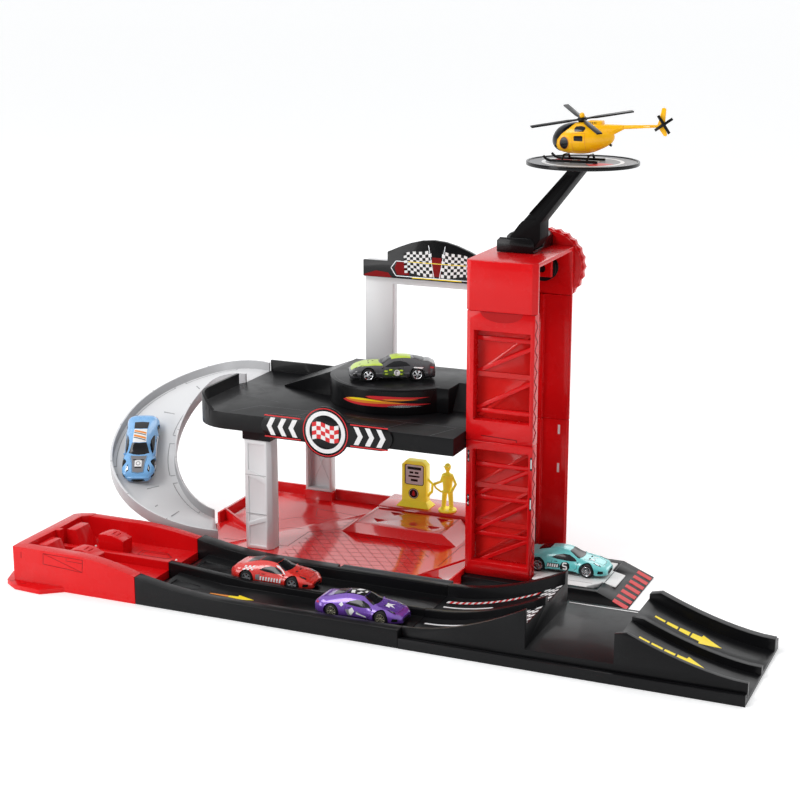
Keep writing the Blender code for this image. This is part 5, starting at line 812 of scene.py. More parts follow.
def inlay(name: str, outlines: Sequence[Outline], surface: Surface, thick: float, sink: float, step: float,
          cross: float) -> Piece:
    """Thin plates with the given outlines, wrapped onto a surface as one piece.

    Each outline is filled, cut into strips where the surface bends, given a top above the surface and
    an underside below it, and its rim is closed.

    Args:
        name: name of the object.
        outlines: closed outlines in the surface's own two coordinates.
        surface: function from plan and height to points.
        thick: height of the top above the surface.
        sink: depth of the underside below it.
        step: width of strips along the first coordinate, or 0 for none.
        cross: width of strips along the second coordinate, or 0 for none.

    Returns:
        The piece.
    """
    work = bmesh.new()
    for outline in outlines:
        work.faces.new([work.verts.new((u, v, 0.0)) for u, v in outline])
    bmesh.ops.remove_doubles(work, verts=work.verts, dist=2e-7)
    for width, normal in ((step, Vector((1, 0, 0))), (cross, Vector((0, 1, 0)))):
        if width > 0:
            span = np.array([v.co.dot(normal) for v in work.verts])
            for place in np.arange(span.min() + width, span.max() - width * 0.2, width):
                bmesh.ops.bisect_plane(work, geom=work.verts[:] + work.edges[:] + work.faces[:], dist=1e-7,
                                       plane_co=normal * float(place), plane_no=normal)
    bmesh.ops.triangulate(work, faces=work.faces)
    bmesh.ops.recalc_face_normals(work, faces=work.faces)
    for face in work.faces:
        if face.normal.z < 0:
            face.normal_flip()
    copy = bmesh.ops.duplicate(work, geom=work.verts[:] + work.edges[:] + work.faces[:])["geom"]
    below = {}
    for vert in (g for g in copy if isinstance(g, bmesh.types.BMVert)):
        vert.co.z = -1.0
        below[(round(vert.co.x, 8), round(vert.co.y, 8))] = vert
    bmesh.ops.reverse_faces(work, faces=[g for g in copy if isinstance(g, bmesh.types.BMFace)])
    for edge in [e for e in work.edges if len(e.link_faces) == 1 and e.verts[0].co.z > -0.5]:
        first, second = edge.verts
        work.faces.new((first, second, *(below[(round(v.co.x, 8),
                                                round(v.co.y, 8))] for v in (second, first))))
    piece = from_work(name, work)
    flat = np.zeros(len(piece.data.vertices) * 3)
    piece.data.vertices.foreach_get("co", flat)
    flat = flat.reshape(-1, 3)
    points = surface(flat[:, :2], np.where(flat[:, 2] < -0.5, -sink, thick))
    piece.data.vertices.foreach_set("co", points.astype(np.float32).ravel())
    tidy(piece, 35.0, 1e-8)
    return piece


def rectangle(low_u: float, low_v: float, high_u: float, high_v: float) -> Outline:
    """Outline of a rectangle from its two corners."""
    return [(low_u, low_v), (high_u, low_v), (high_u, high_v), (low_u, high_v)]


def bar(start: Pair, end: Pair, width: float) -> Outline:
    """Outline of a straight bar of a width between two points.

    Args:
        start: middle of its first end.
        end: middle of its second end.
        width: its width.

    Returns:
        Four corners.
    """
    along = np.subtract(end, start)
    side = np.array([-along[1], along[0]]) / max(np.hypot(*along), 1e-9) * width / 2
    corners = [np.add(start, side), np.subtract(start, side), np.subtract(end, side), np.add(end, side)]
    return [(float(u), float(v)) for u, v in corners]


def bars(points: Sequence[Pair], width: float, closed: bool = False) -> list[Outline]:
    """Bars along a line of points.

    Args:
        points: the line.
        width: width of the bars.
        closed: join the last point to the first.

    Returns:
        One outline for each stretch.
    """
    ends = list(points[1:]) + ([points[0]] if closed else [])
    return [bar(a, b, width) for a, b in zip(points, ends)]


def in_mm(outlines: Sequence[Outline]) -> list[Outline]:
    """Outlines given in millimetres, in metres."""
    return [[(u * MM, v * MM) for u, v in outline] for outline in outlines]


def ring_band(centre: Pair, inner: float, outer: float, parts: int = 48, start_deg: float = 0.0,
              sweep_deg: float = 360.0) -> list[Outline]:
    """Ring between two radii as a row of quads.

    Args:
        centre: centre of the ring.
        inner: inner radius.
        outer: outer radius.
        parts: number of quads.
        start_deg: where it starts.
        sweep_deg: how far it goes round.

    Returns:
        One outline for each quad.
    """
    turn = np.radians(start_deg + np.linspace(0, sweep_deg, parts + 1))
    across, up = np.cos(turn), np.sin(turn)
    return [[(centre[0] + r * across[j], centre[1] + r * up[j])
             for r, j in ((inner, k), (outer, k), (outer, k + 1), (inner, k + 1))] for k in range(parts)]


def chequers(corner: Pair, across: Pair, up: Pair, columns: int, rows: int, odd: int = 0, wave: float = 0.0,
             grow: float = 0.0) -> list[Outline]:
    """Every other field of a board spanned by two directions.

    Args:
        corner: first corner of the board.
        across: its full width as a vector.
        up: its full height as a vector.
        columns: fields across.
        rows: fields up.
        odd: 0 or 1, which fields are kept.
        wave: how far the board waves along its height.
        grow: how much taller its far side is, as a share.

    Returns:
        One outline for each kept field.
    """
    def at(column: int, row: int) -> Pair:
        """Corner of a field."""
        c, r = column / columns, row / rows
        risen = r * (1 + grow * c) + wave * math.sin(c * 2 * math.pi)
        return corner[0] + across[0] * c + up[0] * risen, corner[1] + across[1] * c + up[1] * risen

    return [[at(c, r), at(c + 1, r), at(c + 1, r + 1), at(c, r + 1)]
            for c in range(columns) for r in range(rows) if (c + r) % 2 == odd]


# Studio

@dataclass
class Studio:
    """Pale floor, soft light and the camera at the photograph's angle."""

    position: Point = (0.6290, -1.3475, 0.5250)
    heading_deg: float = 23.37
    down_deg: float = 14.64
    focal_px: float = 1725.0
    frame_px: float = 800.0
    sensor_mm: float = 36.0
    floor_size: float = 80.0
    aim: Point = (0.08, -0.03, 0.12)

    def place_camera(self) -> None:
        """Set the camera that matches the photograph."""
        lens = bpy.data.cameras.new("Camera")
        lens.sensor_width = self.sensor_mm
        lens.lens = self.focal_px / self.frame_px * self.sensor_mm
        lens.clip_end = 50.0
        camera = linked("Camera", lens)
        camera.location = self.position
        camera.rotation_euler = (math.radians(90.0 - self.down_deg), 0.0, math.radians(self.heading_deg))
        bpy.context.scene.camera = camera

    def lay_floor(self) -> None:
        """Plain pale floor."""
        half = self.floor_size / 2
        corners = [(*corner, 0.0) for corner in rectangle(-half, -half, half, half)]
        floor = make_mesh("floor", corners, [[0, 1, 2, 3]])
        floor.location.z = -0.0002
        material = bpy.data.materials.new("Floor")
        material.use_nodes = True
        shader = material.node_tree.nodes["Principled BSDF"]
        shader.inputs["Base Color"].default_value = (0.95, 0.95, 0.95, 1.0)
        shader.inputs["Roughness"].default_value = 0.55
        shader.inputs["Specular IOR Level"].default_value = 0.25
        shader.inputs["Emission Color"].default_value = (1.0, 1.0, 1.0, 1.0)
        shader.inputs["Emission Strength"].default_value = 0.22
        floor.data.materials.append(material)

    def hang_light(self, name: str, place: Point, size: float, power: float) -> None:
        """Square soft light that faces the set.

        Args:
            name: name of the light.
            place: where it hangs.
            size: its side.
            power: its power in watts.
        """
        lamp = bpy.data.lights.new(name, "AREA")
        lamp.shape = "SQUARE"
        lamp.size = size
        lamp.energy = power
        light = linked(name, lamp)
        light.location = place
        light.rotation_euler = (Vector(self.aim) - Vector(place)).to_track_quat("-Z", "Y").to_euler()

    def build(self) -> None:
        """Camera, floor, sky and lights."""
        self.place_camera()
        self.lay_floor()
        world = bpy.data.worlds.new("Studio")
        bpy.context.scene.world = world
        world.use_nodes = True
        sky = world.node_tree.nodes["Background"]
        sky.inputs[0].default_value = (0.98, 0.99, 1.0, 1.0)
        w = Wiring(world.node_tree)
        way = w.add("ShaderNodeSeparateXYZ")
        w.join(w.add("ShaderNodeTexCoord").outputs["Generated"], way.inputs[0])
        rise = w.calc("MULTIPLY_ADD", way.outputs["Z"], 0.7, way.outputs["Y"])
        seen = w.add("ShaderNodeLightPath").outputs["Is Camera Ray"]
        w.join(w.calc("MAXIMUM", w.remap(rise, -0.75, 0.60, 0.20, 0.95), seen), sky.inputs[1])
        self.hang_light("Key", (-0.9, -1.5, 1.9), 1.0, 24.0)
        self.hang_light("Fill", (-1.3, -1.6, 0.42), 0.8, 9.0)
        self.hang_light("Rim", (0.2, 1.9, 1.5), 1.3, 9.0)
        bpy.context.scene.view_settings.view_transform = "Standard"
        bpy.context.scene.view_settings.look = "None"


# Sub-assemblies

@dataclass
class SubAssembly:
    """One group of the set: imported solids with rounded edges, and the pieces added to them."""

    body: str = "garage"
    slot: str = "red_plastic"
    made: list[Piece] = field(default_factory=list)

    def solid(self, node: str, finish: Plastic, width: float, segments: int = 2, slot: str = "") -> Piece:
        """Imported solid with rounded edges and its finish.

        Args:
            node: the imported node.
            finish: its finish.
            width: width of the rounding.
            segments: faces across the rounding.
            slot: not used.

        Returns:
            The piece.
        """
        self.made.append(paint(softened(node, width, segments), finish))
        return self.made[-1]

    def prints(self, name: str, outlines: Sequence[Outline], surface: Surface, finish: Plastic,
               thick: float = 0.00018, sink: float = 0.0003, step: float = 0.0, cross: float = 0.0) -> None:
        """Thin printed or engraved plates on a surface.

        Args:
            name: name of the piece.
            outlines: closed outlines in the surface's coordinates.
            surface: function from plan and height to points.
            finish: its finish.
            thick: height of the top above the surface.
            sink: depth of the underside below it.
            step: width of strips along the first coordinate, or 0 for none.
            cross: width of strips along the second coordinate, or 0 for none.
        """
        self.added(inlay(name, outlines, surface, thick, sink, step, cross), finish)

    def added(self, piece: Piece, finish: Plastic, slot: str = "", body: str = "") -> None:
        """Finish a new piece and let it ride.

        Args:
            piece: mesh object.
            finish: its finish.
            slot: not used.
            body: body that it rides on, if not the group's own.
        """
        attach(piece, body or self.body)
        self.made.append(paint(piece, finish))


@dataclass
class Launcher(SubAssembly):
    """Red start tray with two push sliders."""

    wall_y: float = -0.204
    floor_z: float = 0.0113
    front_centre: float = -0.17125
    back_centre: float = -0.1275

    def build(self) -> None:
        """Tray, sliders, engraved panel, floor marks and pins."""
        self.solid("launcher_tray", Finish.RED, 0.0011, 3)
        for which in ("front", "back"):
            self.solid(f"launch_slider_{which}", Finish.RED, 0.0009, 3)
        self.engrave_wall()
        self.mark_floor()
        self.set_pins()

    def engrave_wall(self) -> None:
        """Panel lines, a step and a slot on the front wall, and two ticks on the flange."""
        front = flat_on(1, self.wall_y, -1.0)
        corners = [(-0.1939, 0.0222), (-0.1933, 0.0316), (-0.1540, 0.0312), (-0.1551, 0.0202)]
        lines = bars(corners, 0.0005, closed=True)
        lines.append(bar(corners[1], corners[3], 0.00045))
        lines += bars([(-0.1703, 0.0308), (-0.1706, 0.0283), (-0.1541, 0.0281)], 0.00045)
        lines.append(bar((-0.2158, 0.0300), (-0.2160, 0.0245), 0.0006))
        self.prints("launcher_wall_lines", lines, front, Finish.DARK_RED, thick=0.00006)
        ticks = [bar((-0.2255, -0.2085), (-0.2215, -0.2055), 0.0005),
                 bar((-0.2135, -0.2125), (-0.2095, -0.2075), 0.0005)]
        self.prints("launcher_flange_ticks", ticks, flat_on(2, 0.004), Finish.DARK_RED, thick=0.00006)

    def mark_floor(self) -> None:
        """Raised outlines moulded into the two lanes' floors."""
        floor = flat_on(2, self.floor_z)
        lines: list[Outline] = []
        for centre in (self.front_centre, self.back_centre + 0.008):
            loop = [(-0.1500, centre - 0.006), (-0.1510, centre + 0.005), (-0.1265, centre + 0.006),
                    (-0.1180, centre - 0.002), (-0.1200, centre - 0.006)]
            lines += bars(loop, 0.0007, closed=True)
            lines += bars([(x + 0.003, centre + (y - centre) * 0.5) for x, y in loop[:3]], 0.0006)
        self.prints("launcher_floor_marks", lines, floor, Finish.DARK_RED, thick=0.00012)

    def set_pins(self) -> None:
        """Small pins: a dome on a disc, its height the cosine of the way out."""
        spots = [(-0.1955, -0.1216, self.floor_z), (-0.1110, -0.1251, self.floor_z),
                 (-0.1955, -0.1660, self.floor_z)]
        for number, spot in enumerate(spots):
            self.added(dome(f"launcher_pin_{number}", spot, 0.0012, 0.0010), Finish.WHITE)


@dataclass
class Tracks(SubAssembly):
    """Approach track with its guard rail, and the jump tray with its two ramps."""

    slot: str = "black_plastic"
    lanes: Pair = (-0.17125, -0.12175)
    floor_z: float = 0.006
    plate_z: float = 0.0135
    takeoff_start: float = 0.1388
    takeoff_run: float = 0.0955
    landing_end: float = 0.4038
    landing_run: float = 0.100

    def takeoff(self, x: np.ndarray) -> np.ndarray:
        """Takeoff floor: level, then the run's share to the power 1.8."""
        share = np.clip((x - self.takeoff_start) / self.takeoff_run, 0.0, 1.0)
        return self.floor_z + 0.0265 * share ** 1.8

    def landing(self, x: np.ndarray) -> np.ndarray:
        """Landing floor: the share of the way back from the end to the power 1.6."""
        share = np.clip((self.landing_end - x) / self.landing_run, 0.0, 1.0)
        return 0.0028 + 0.028 * share ** 1.6

    def build(self) -> None:
        """Tracks, rail and every printed mark."""
        self.solid("approach_track", Finish.BLACK, 0.0006)
        self.solid("jump_tray", Finish.BLACK, 0.0006)
        self.solid("guard_rail", Finish.GREY, 0.0007, 3, slot="grey_plastic")
        self.lane_arrow()
        self.takeoff_marks()
        self.landing_arrows()
        self.plate_line()

    def lane_arrow(self) -> None:
        """Arrow printed in the front lane, with a trail that narrows backwards."""
        y = self.lanes[0]
        floor = flat_on(2, self.floor_z)
        head = [(-0.0270, y - 0.0056), (-0.0105, y), (-0.0270, y + 0.0056), (-0.0262, y + 0.0022),
                (-0.0340, y + 0.0016), (-0.0340, y - 0.0016), (-0.0262, y - 0.0022)]
        self.prints("lane_arrow", [head], floor, Finish.PRINT_YELLOW)
        trail = [(-0.0343, y - 0.0016), (-0.0343, y + 0.0016), (-0.0600, y + 0.0003), (-0.0600, y - 0.0003)]
        self.prints("lane_arrow_trail", [trail], floor, Finish.PRINT_ORANGE)

    def takeoff_marks(self) -> None:
        """White lines, a kerb of red and white blocks, and a chequered band at each lip."""
        surface = floor_surface(self.takeoff)
        back, front = self.lanes[1], self.lanes[0]
        lines = [bar((0.1385, back - 0.0010), (0.1815, back - 0.0018), 0.0022),
                 bar((0.1380, front + 0.0096), (0.1815, front + 0.0086), 0.0022)]
        self.prints("takeoff_lines", lines, surface, Finish.PRINT_WHITE, step=0.004)
        count = 30
        blocks = [[], []]
        for k in range(count):
            low = 0.1372 + (0.2150 - 0.1372) * k / count
            high = 0.1372 + (0.2150 - 0.1372) * (k + 1) / count
            y = -0.1116 + 0.0064 * (low - 0.1372) / 0.0916
            blocks[k % 2].append([(low, y - 0.0022), (high, y - 0.0022), (high + 0.0006, y + 0.0022),
                                  (low + 0.0006, y + 0.0022)])
        self.prints("kerb_white", blocks[0], surface, Finish.PRINT_WHITE)
        self.prints("kerb_red", blocks[1], surface, Finish.PRINT_RED)
        for label, centre in (("front", front), ("back", back)):
            wide = chequers((0.2185, centre - 0.0195), (0.0145, 0.0), (0.0, 0.039), 3, 9)
            self.prints(f"lip_chequers_{label}", wide, surface, Finish.PRINT_WHITE)

    def landing_arrows(self) -> None:
        """Two yellow arrows with broken shafts that point down the landing lanes."""
        surface = floor_surface(self.landing)
        for label, y in (("back", self.lanes[1] - 0.0010), ("front", self.lanes[0] + 0.0030)):
            parts = [[(0.3515, y - 0.0088), (0.3680, y - 0.0010), (0.3515, y + 0.0080), (0.3510, y + 0.0040),
                      (0.3440, y + 0.0036), (0.3440, y - 0.0046), (0.3510, y - 0.0050)]]
            for low, high, half in ((0.3345, 0.3425, 0.0034), (0.3245, 0.3330, 0.0026),
                                    (0.3150, 0.3230, 0.0017)):
                parts.append([(low, y - half * 0.85 - 0.0004), (high, y - half - 0.0004),
                              (high, y + half - 0.0004), (low, y + half * 0.85 - 0.0004)])
            self.prints(f"landing_arrow_{label}", parts, surface, Finish.PRINT_YELLOW, step=0.004)

    def plate_line(self) -> None:
        """Fine white line along the back of the level plate."""
        line = [bar((0.2350, -0.0905), (0.3035, -0.0905), 0.0014)]
        self.prints("plate_line", line, flat_on(2, self.plate_z), Finish.PRINT_WHITE)


@dataclass
class GarageBase(SubAssembly):
    """Red base with the service pad, the island and its floor pattern."""

    floor_z: float = 0.012
    pad_z: float = 0.022

    def build(self) -> None:
        """Base and engraved floor lines."""
        self.solid("garage_base", Finish.RED_FLOOR, 0.0007)
        self.tile_lines()
        self.panel_lines()

    def tile_lines(self) -> None:
        """Slanting paving lines in front of the pad, cut to the paved field."""
        low_x, high_x, low_y, high_y = -0.034, 0.088, -0.082, -0.004
        lines: list[Outline] = []
        for slope, pitch in ((-1.15, 0.0135), (0.28, 0.0105)):
            count = int((high_y - low_y + abs(slope) * (high_x - low_x)) / pitch) + 2
            start = low_y - max(0.0, slope) * (high_x - low_x)
            for k in range(count):
                level = start + pitch * k
                ends = self.clipped(slope, level, (low_x, high_x, low_y, high_y))
                if ends is not None:
                    lines.append(bar(*ends, 0.00042))
        self.prints("paving_lines", lines, flat_on(2, self.floor_z), Finish.DARK_RED, thick=0.00005)

    @staticmethod
    def clipped(slope: float, level: float,
                field_box: tuple[float, float, float, float]) -> tuple[Pair, Pair] | None:
        """Ends of the line Y = level + slope (X - low X) within a field.

        Args:
            slope: slope of the line.
            level: its Y at the field's left side.
            field_box: low X, high X, low Y and high Y.

        Returns:
            The two ends, or None where less than 4 mm is inside.
        """
        low_x, high_x, low_y, high_y = field_box
        first = low_x + (low_y - level) / slope
        second = low_x + (high_y - level) / slope
        start = max(low_x, min(first, second))
        end = min(high_x, max(first, second))
        if end - start < 0.004:
            return None
        return (start, level + slope * (start - low_x)), (end, level + slope * (end - low_x))

    def panel_lines(self) -> None:
        """Panel lines and cracks on the rest of the floor, the pad and the island."""
        floor = flat_on(2, self.floor_z)
        lines = bars([(-0.1000, -0.0600), (-0.0380, -0.0560), (-0.0380, -0.0130), (-0.0140, 0.0050),
                      (-0.0140, 0.0450), (-0.0600, 0.0500)], 0.0006)
        lines += bars([(-0.0600, 0.0500), (-0.0520, 0.0300), (-0.0420, 0.0280)], 0.0004)
        lines += bars([(-0.0900, -0.0250), (-0.0700, -0.0220), (-0.0610, -0.0100), (-0.0450, -0.0080)],
                      0.0004)
        lines += bars([(-0.0950, 0.0100), (-0.0760, 0.0080), (-0.0660, 0.0200), (-0.0400, 0.0220),
                       (-0.0300, 0.0340)], 0.0004)
        for k in range(5):
            y = -0.006 + 0.0095 * k
            lines.append(bar((-0.0200, y), (-0.0140, y + 0.002), 0.0004))
        lines += bars([(0.1040, -0.0500), (0.1040, 0.0000), (0.1060, 0.0440)], 0.0006)
        self.prints("floor_panel_lines", lines, floor, Finish.DARK_RED, thick=0.00005)
        pad = [bar((0.0040, 0.0030), (0.0060, 0.0440), 0.0005),
               bar((0.0840, 0.0030), (0.0850, 0.0440), 0.0005)]
        self.prints("pad_lines", pad, flat_on(2, self.pad_z), Finish.DARK_RED, thick=0.00005)


@dataclass
class Columns(SubAssembly):
    """The two pale columns under the deck."""

    slot: str = "pale_plastic"

    def build(self) -> None:
        """Columns with their joint lines."""
        self.solid("front_column", Finish.PALE, 0.0005)
        self.solid("rear_column", Finish.PALE, 0.0004)
        lines = [bar((-0.0695, 0.0445), (-0.0490, 0.0445), 0.0005),
                 bar((-0.0695, 0.0800), (-0.0490, 0.0800), 0.0005)]
        self.prints("column_lines", lines, flat_on(1, -0.073, -1.0), Finish.SHADE_PALE, thick=0.00004)


@dataclass
class ParkingDeck(SubAssembly):
    """Black deck, the raised stage with a band of streaks, and the sign board in front."""

    slot: str = "black_plastic"
    top_z: float = 0.1345
    stage_z: float = 0.157
    stage_centre: Pair = (0.0327, 0.0324)
    stage_radius: float = 0.0625
    board_y: float = -0.0773
    board_middle: float = 0.1279

    def build(self) -> None:
        """Deck, stage, board and what is printed on them."""
        self.solid("deck", Finish.BLACK, 0.0008, 3)
        self.solid("deck_stage", Finish.BLACK, 0.0006)
        self.solid("sign_board", Finish.GLOSS_BLACK, 0.0005)
        self.deck_lines()
        self.stage_band()
        self.board_print()

    def deck_lines(self) -> None:
        """Engraved bays, cracks and seams on the deck and the stage."""
        deck = flat_on(2, self.top_z)
        lines = bars([(-0.0850, -0.0700), (-0.0700, -0.0420), (0.1240, -0.0420)], 0.0005)
        for x in (-0.0300, 0.0150, 0.0600, 0.1050):
            lines.append(bar((x, -0.0730), (x + 0.0120, -0.0430), 0.0005))
        lines += bars([(-0.1150, -0.0200), (-0.0950, -0.0150), (-0.0880, 0.0050), (-0.1050, 0.0200)], 0.0005)
        lines += bars([(-0.0950, -0.0150), (-0.0600, -0.0250)], 0.0004)
        self.prints("deck_lines", lines, deck, Finish.GREY, thick=0.00004)
        stage = flat_on(2, self.stage_z)
        edge = ring_band(self.stage_centre, self.stage_radius - 0.0042, self.stage_radius - 0.0038, 40, 205.0,
                         125.0)
        edge += bars([(0.0000, 0.0600), (0.0330, 0.0520), (0.0700, 0.0620)], 0.0004)
        edge += bars([(-0.0180, 0.0300), (0.0050, 0.0250)], 0.0004)
        self.prints("stage_lines", edge, stage, Finish.GREY, thick=0.00004)

    def stage_band(self) -> None:
        """Band round the stage's front: long tapering streaks in red, orange, yellow and silver."""
        radius = self.stage_radius
        surface = cylinder_surface(self.stage_centre, radius)
        start, end = math.radians(237.0) * radius, math.radians(322.0) * radius
        low, high = 0.1412, 0.1552
        ground = [(start + 0.006, low + 0.006), (start + 0.016, low), (end - 0.020, low),
                  (end - 0.004, low + 0.005), (end, high), (start, high)]
        self.prints("flame_band_ground", [ground], surface, Finish.PRINT_BLACK, step=0.003, thick=0.00012)
        reach = end - start
        streaks = (("red", Finish.PRINT_RED, ((0.004, 0.92, 0.1438, 0.0052, 0.0006),
                                              (0.030, 0.62, 0.1500, 0.0034, -0.0004))),
                   ("orange", Finish.PRINT_ORANGE, ((0.007, 0.66, 0.1452, 0.0040, 0.0010),
                                                    (0.046, 0.34, 0.1484, 0.0016, 0.0))),
                   ("yellow", Finish.PRINT_YELLOW, ((0.012, 0.40, 0.1462, 0.0018, 0.0010),)),
                   ("grey", Finish.HUB, ((0.050, 0.34, 0.1424, 0.0022, 0.0004),)))
        for number, (name, finish, rows) in enumerate(streaks):
            outlines = [self.streak(start + place, reach * share, *sizes) for place, share, *sizes in rows]
            self.prints(f"streak_{name}", outlines, surface, finish, step=0.002,
                        thick=0.00018 + 0.00006 * number)

    @staticmethod
    def streak(start: float, reach: float, level: float, tall: float, bow: float) -> Outline:
        """Long streak that tapers to both ends: its edges bow by a sine, and it is thickest a third in.

        Args:
            start: where it starts along the band.
            reach: its length.
            level: height of its middle.
            tall: its greatest height.
            bow: how far its middle rises.

        Returns:
            Closed outline.
        """
        share = np.linspace(0, 1, 15)
        middle = level + bow * np.sin(np.pi * share)
        half = tall / 2 * np.sin(np.pi * share ** 0.63)
        upper = [(start + reach * float(a), float(m + h)) for a, m, h in zip(share, middle, half)]
        lower = [(start + reach * float(a), float(m - h)) for a, m, h in zip(share, middle, half)]
        return upper + lower[-2:0:-1]

    def board_print(self) -> None:
        """Generic sign: a ringed chequered field in the middle, and chevrons at its sides."""
        board = flat_on(1, self.board_y, -1.0)
        middle = self.board_middle
        chevrons: list[Outline] = []
        for side in (-1, 1):
            for k in range(3):
                x = 0.011 + side * (0.0265 + 0.0105 * k)
                chevrons.append([(x + side * out, middle + up) for out, up in
                                 ((0, -0.0078), (0.0045, -0.0078), (0.0085, 0), (0.0045, 0.0078), (0, 0.0078),
                                  (0.0040, 0))])
        self.prints("board_chevrons", chevrons, board, Finish.PRINT_WHITE)
        edge = [rectangle(left, middle + side * 0.0094 - 0.0005, right, middle + side * 0.0094 + 0.0005)
                for side in (-1, 1) for left, right in ((-0.0470, -0.0125), (0.0345, 0.0690))]
        edge += ring_band((0.011, middle), 0.0204, 0.0212)
        self.prints("board_edge", edge, board, Finish.PRINT_RED)
        self.prints("board_ring", ring_band((0.011, middle), 0.0150, 0.0186), board, Finish.PRINT_WHITE)
        for name, odd, finish in (("board_chequers", 0, Finish.PRINT_WHITE),
                                  ("board_chequers_red", 1, Finish.PRINT_RED)):
            fields = chequers((-0.0015, middle - 0.0075), (0.025, 0.0), (0.0, 0.015), 6, 4, odd, 0.10)
            self.prints(name, fields, board, finish)


@dataclass
class Arch(SubAssembly):
    """Pale gate behind the deck with its black sign."""

    slot: str = "black_plastic"
    front_y: float = 0.0760
    low: float = 0.2344

    def build(self) -> None:
        """Gate, sign and its print."""
        self.solid("arch_frame", Finish.PALE, 0.0006, slot="pale_plastic")
        self.solid("arch_sign", Finish.GLOSS_BLACK, 0.0004)
        face = flat_on(1, self.front_y, -1.0)
        low = self.low
        shades = [[(-0.0215, low + 0.0004), (0.0060, low + 0.0004), (0.0020, low + 0.0048),
                   (-0.0100, low + 0.0060), (-0.0215, low + 0.0020)],
                  [(0.1000, low + 0.0004), (0.1160, low + 0.0004), (0.1160, low + 0.0030),
                   (0.1040, low + 0.0060)]]
        self.prints("sign_glow", shades, face, Finish.DARK_RED)
        shades = [[(0.0110, 0.2380), (0.0230, 0.2382), (0.0220, 0.2500), (0.0110, 0.2498), (0.0085, 0.2440)],
                  [(0.0440, 0.2385), (0.0560, 0.2385), (0.0545, 0.2560), (0.0455, 0.2560)]]
        self.prints("sign_glow_inner", shades, face, Finish.DARK_RED)
        self.flags(face)
        frame_line = [(0.0050, 0.2440), (0.0100, 0.2505), (0.0900, 0.2505), (0.0950, 0.2440),
                      (0.0900, 0.2368), (0.0100, 0.2368)]
        self.prints("sign_frame", bars(frame_line, 0.0007, closed=True), face, Finish.HUB,
                    thick=0.00030)
        gold = [bar((0.0220, 0.2505), (0.0780, 0.2505), 0.0006),
                bar((0.0260, 0.2360), (0.0740, 0.2360), 0.0008)]
        self.prints("sign_gold_lines", gold, face, Finish.PRINT_YELLOW, thick=0.00036)

    def flags(self, face: Surface) -> None:
        """Two chequered flags that lean away from the middle, waving along their width.

        Args:
            face: the sign's face.
        """
        for odd, finish, label in ((0, Finish.PRINT_WHITE, "white"), (1, Finish.PRINT_BLACK, "black")):
            fields = chequers((0.0185, 0.2400), (0.0275, -0.0020), (-0.0010, 0.0180), 9, 8, odd, 0.04, 0.38)
            fields += chequers((0.0815, 0.2400), (-0.0275, -0.0020), (0.0010, 0.0180), 9, 8, odd, 0.04, 0.38)
            self.prints(f"sign_flags_{label}", fields, face, finish,
                        thick=0.00020 if odd == 0 else 0.00018)
        poles = [bar((0.0474, 0.2372), (0.0420, 0.2668), 0.0006),
                 bar((0.0526, 0.2372), (0.0582, 0.2668), 0.0006)]
        self.prints("sign_poles", poles, face, Finish.HUB, thick=0.0003)


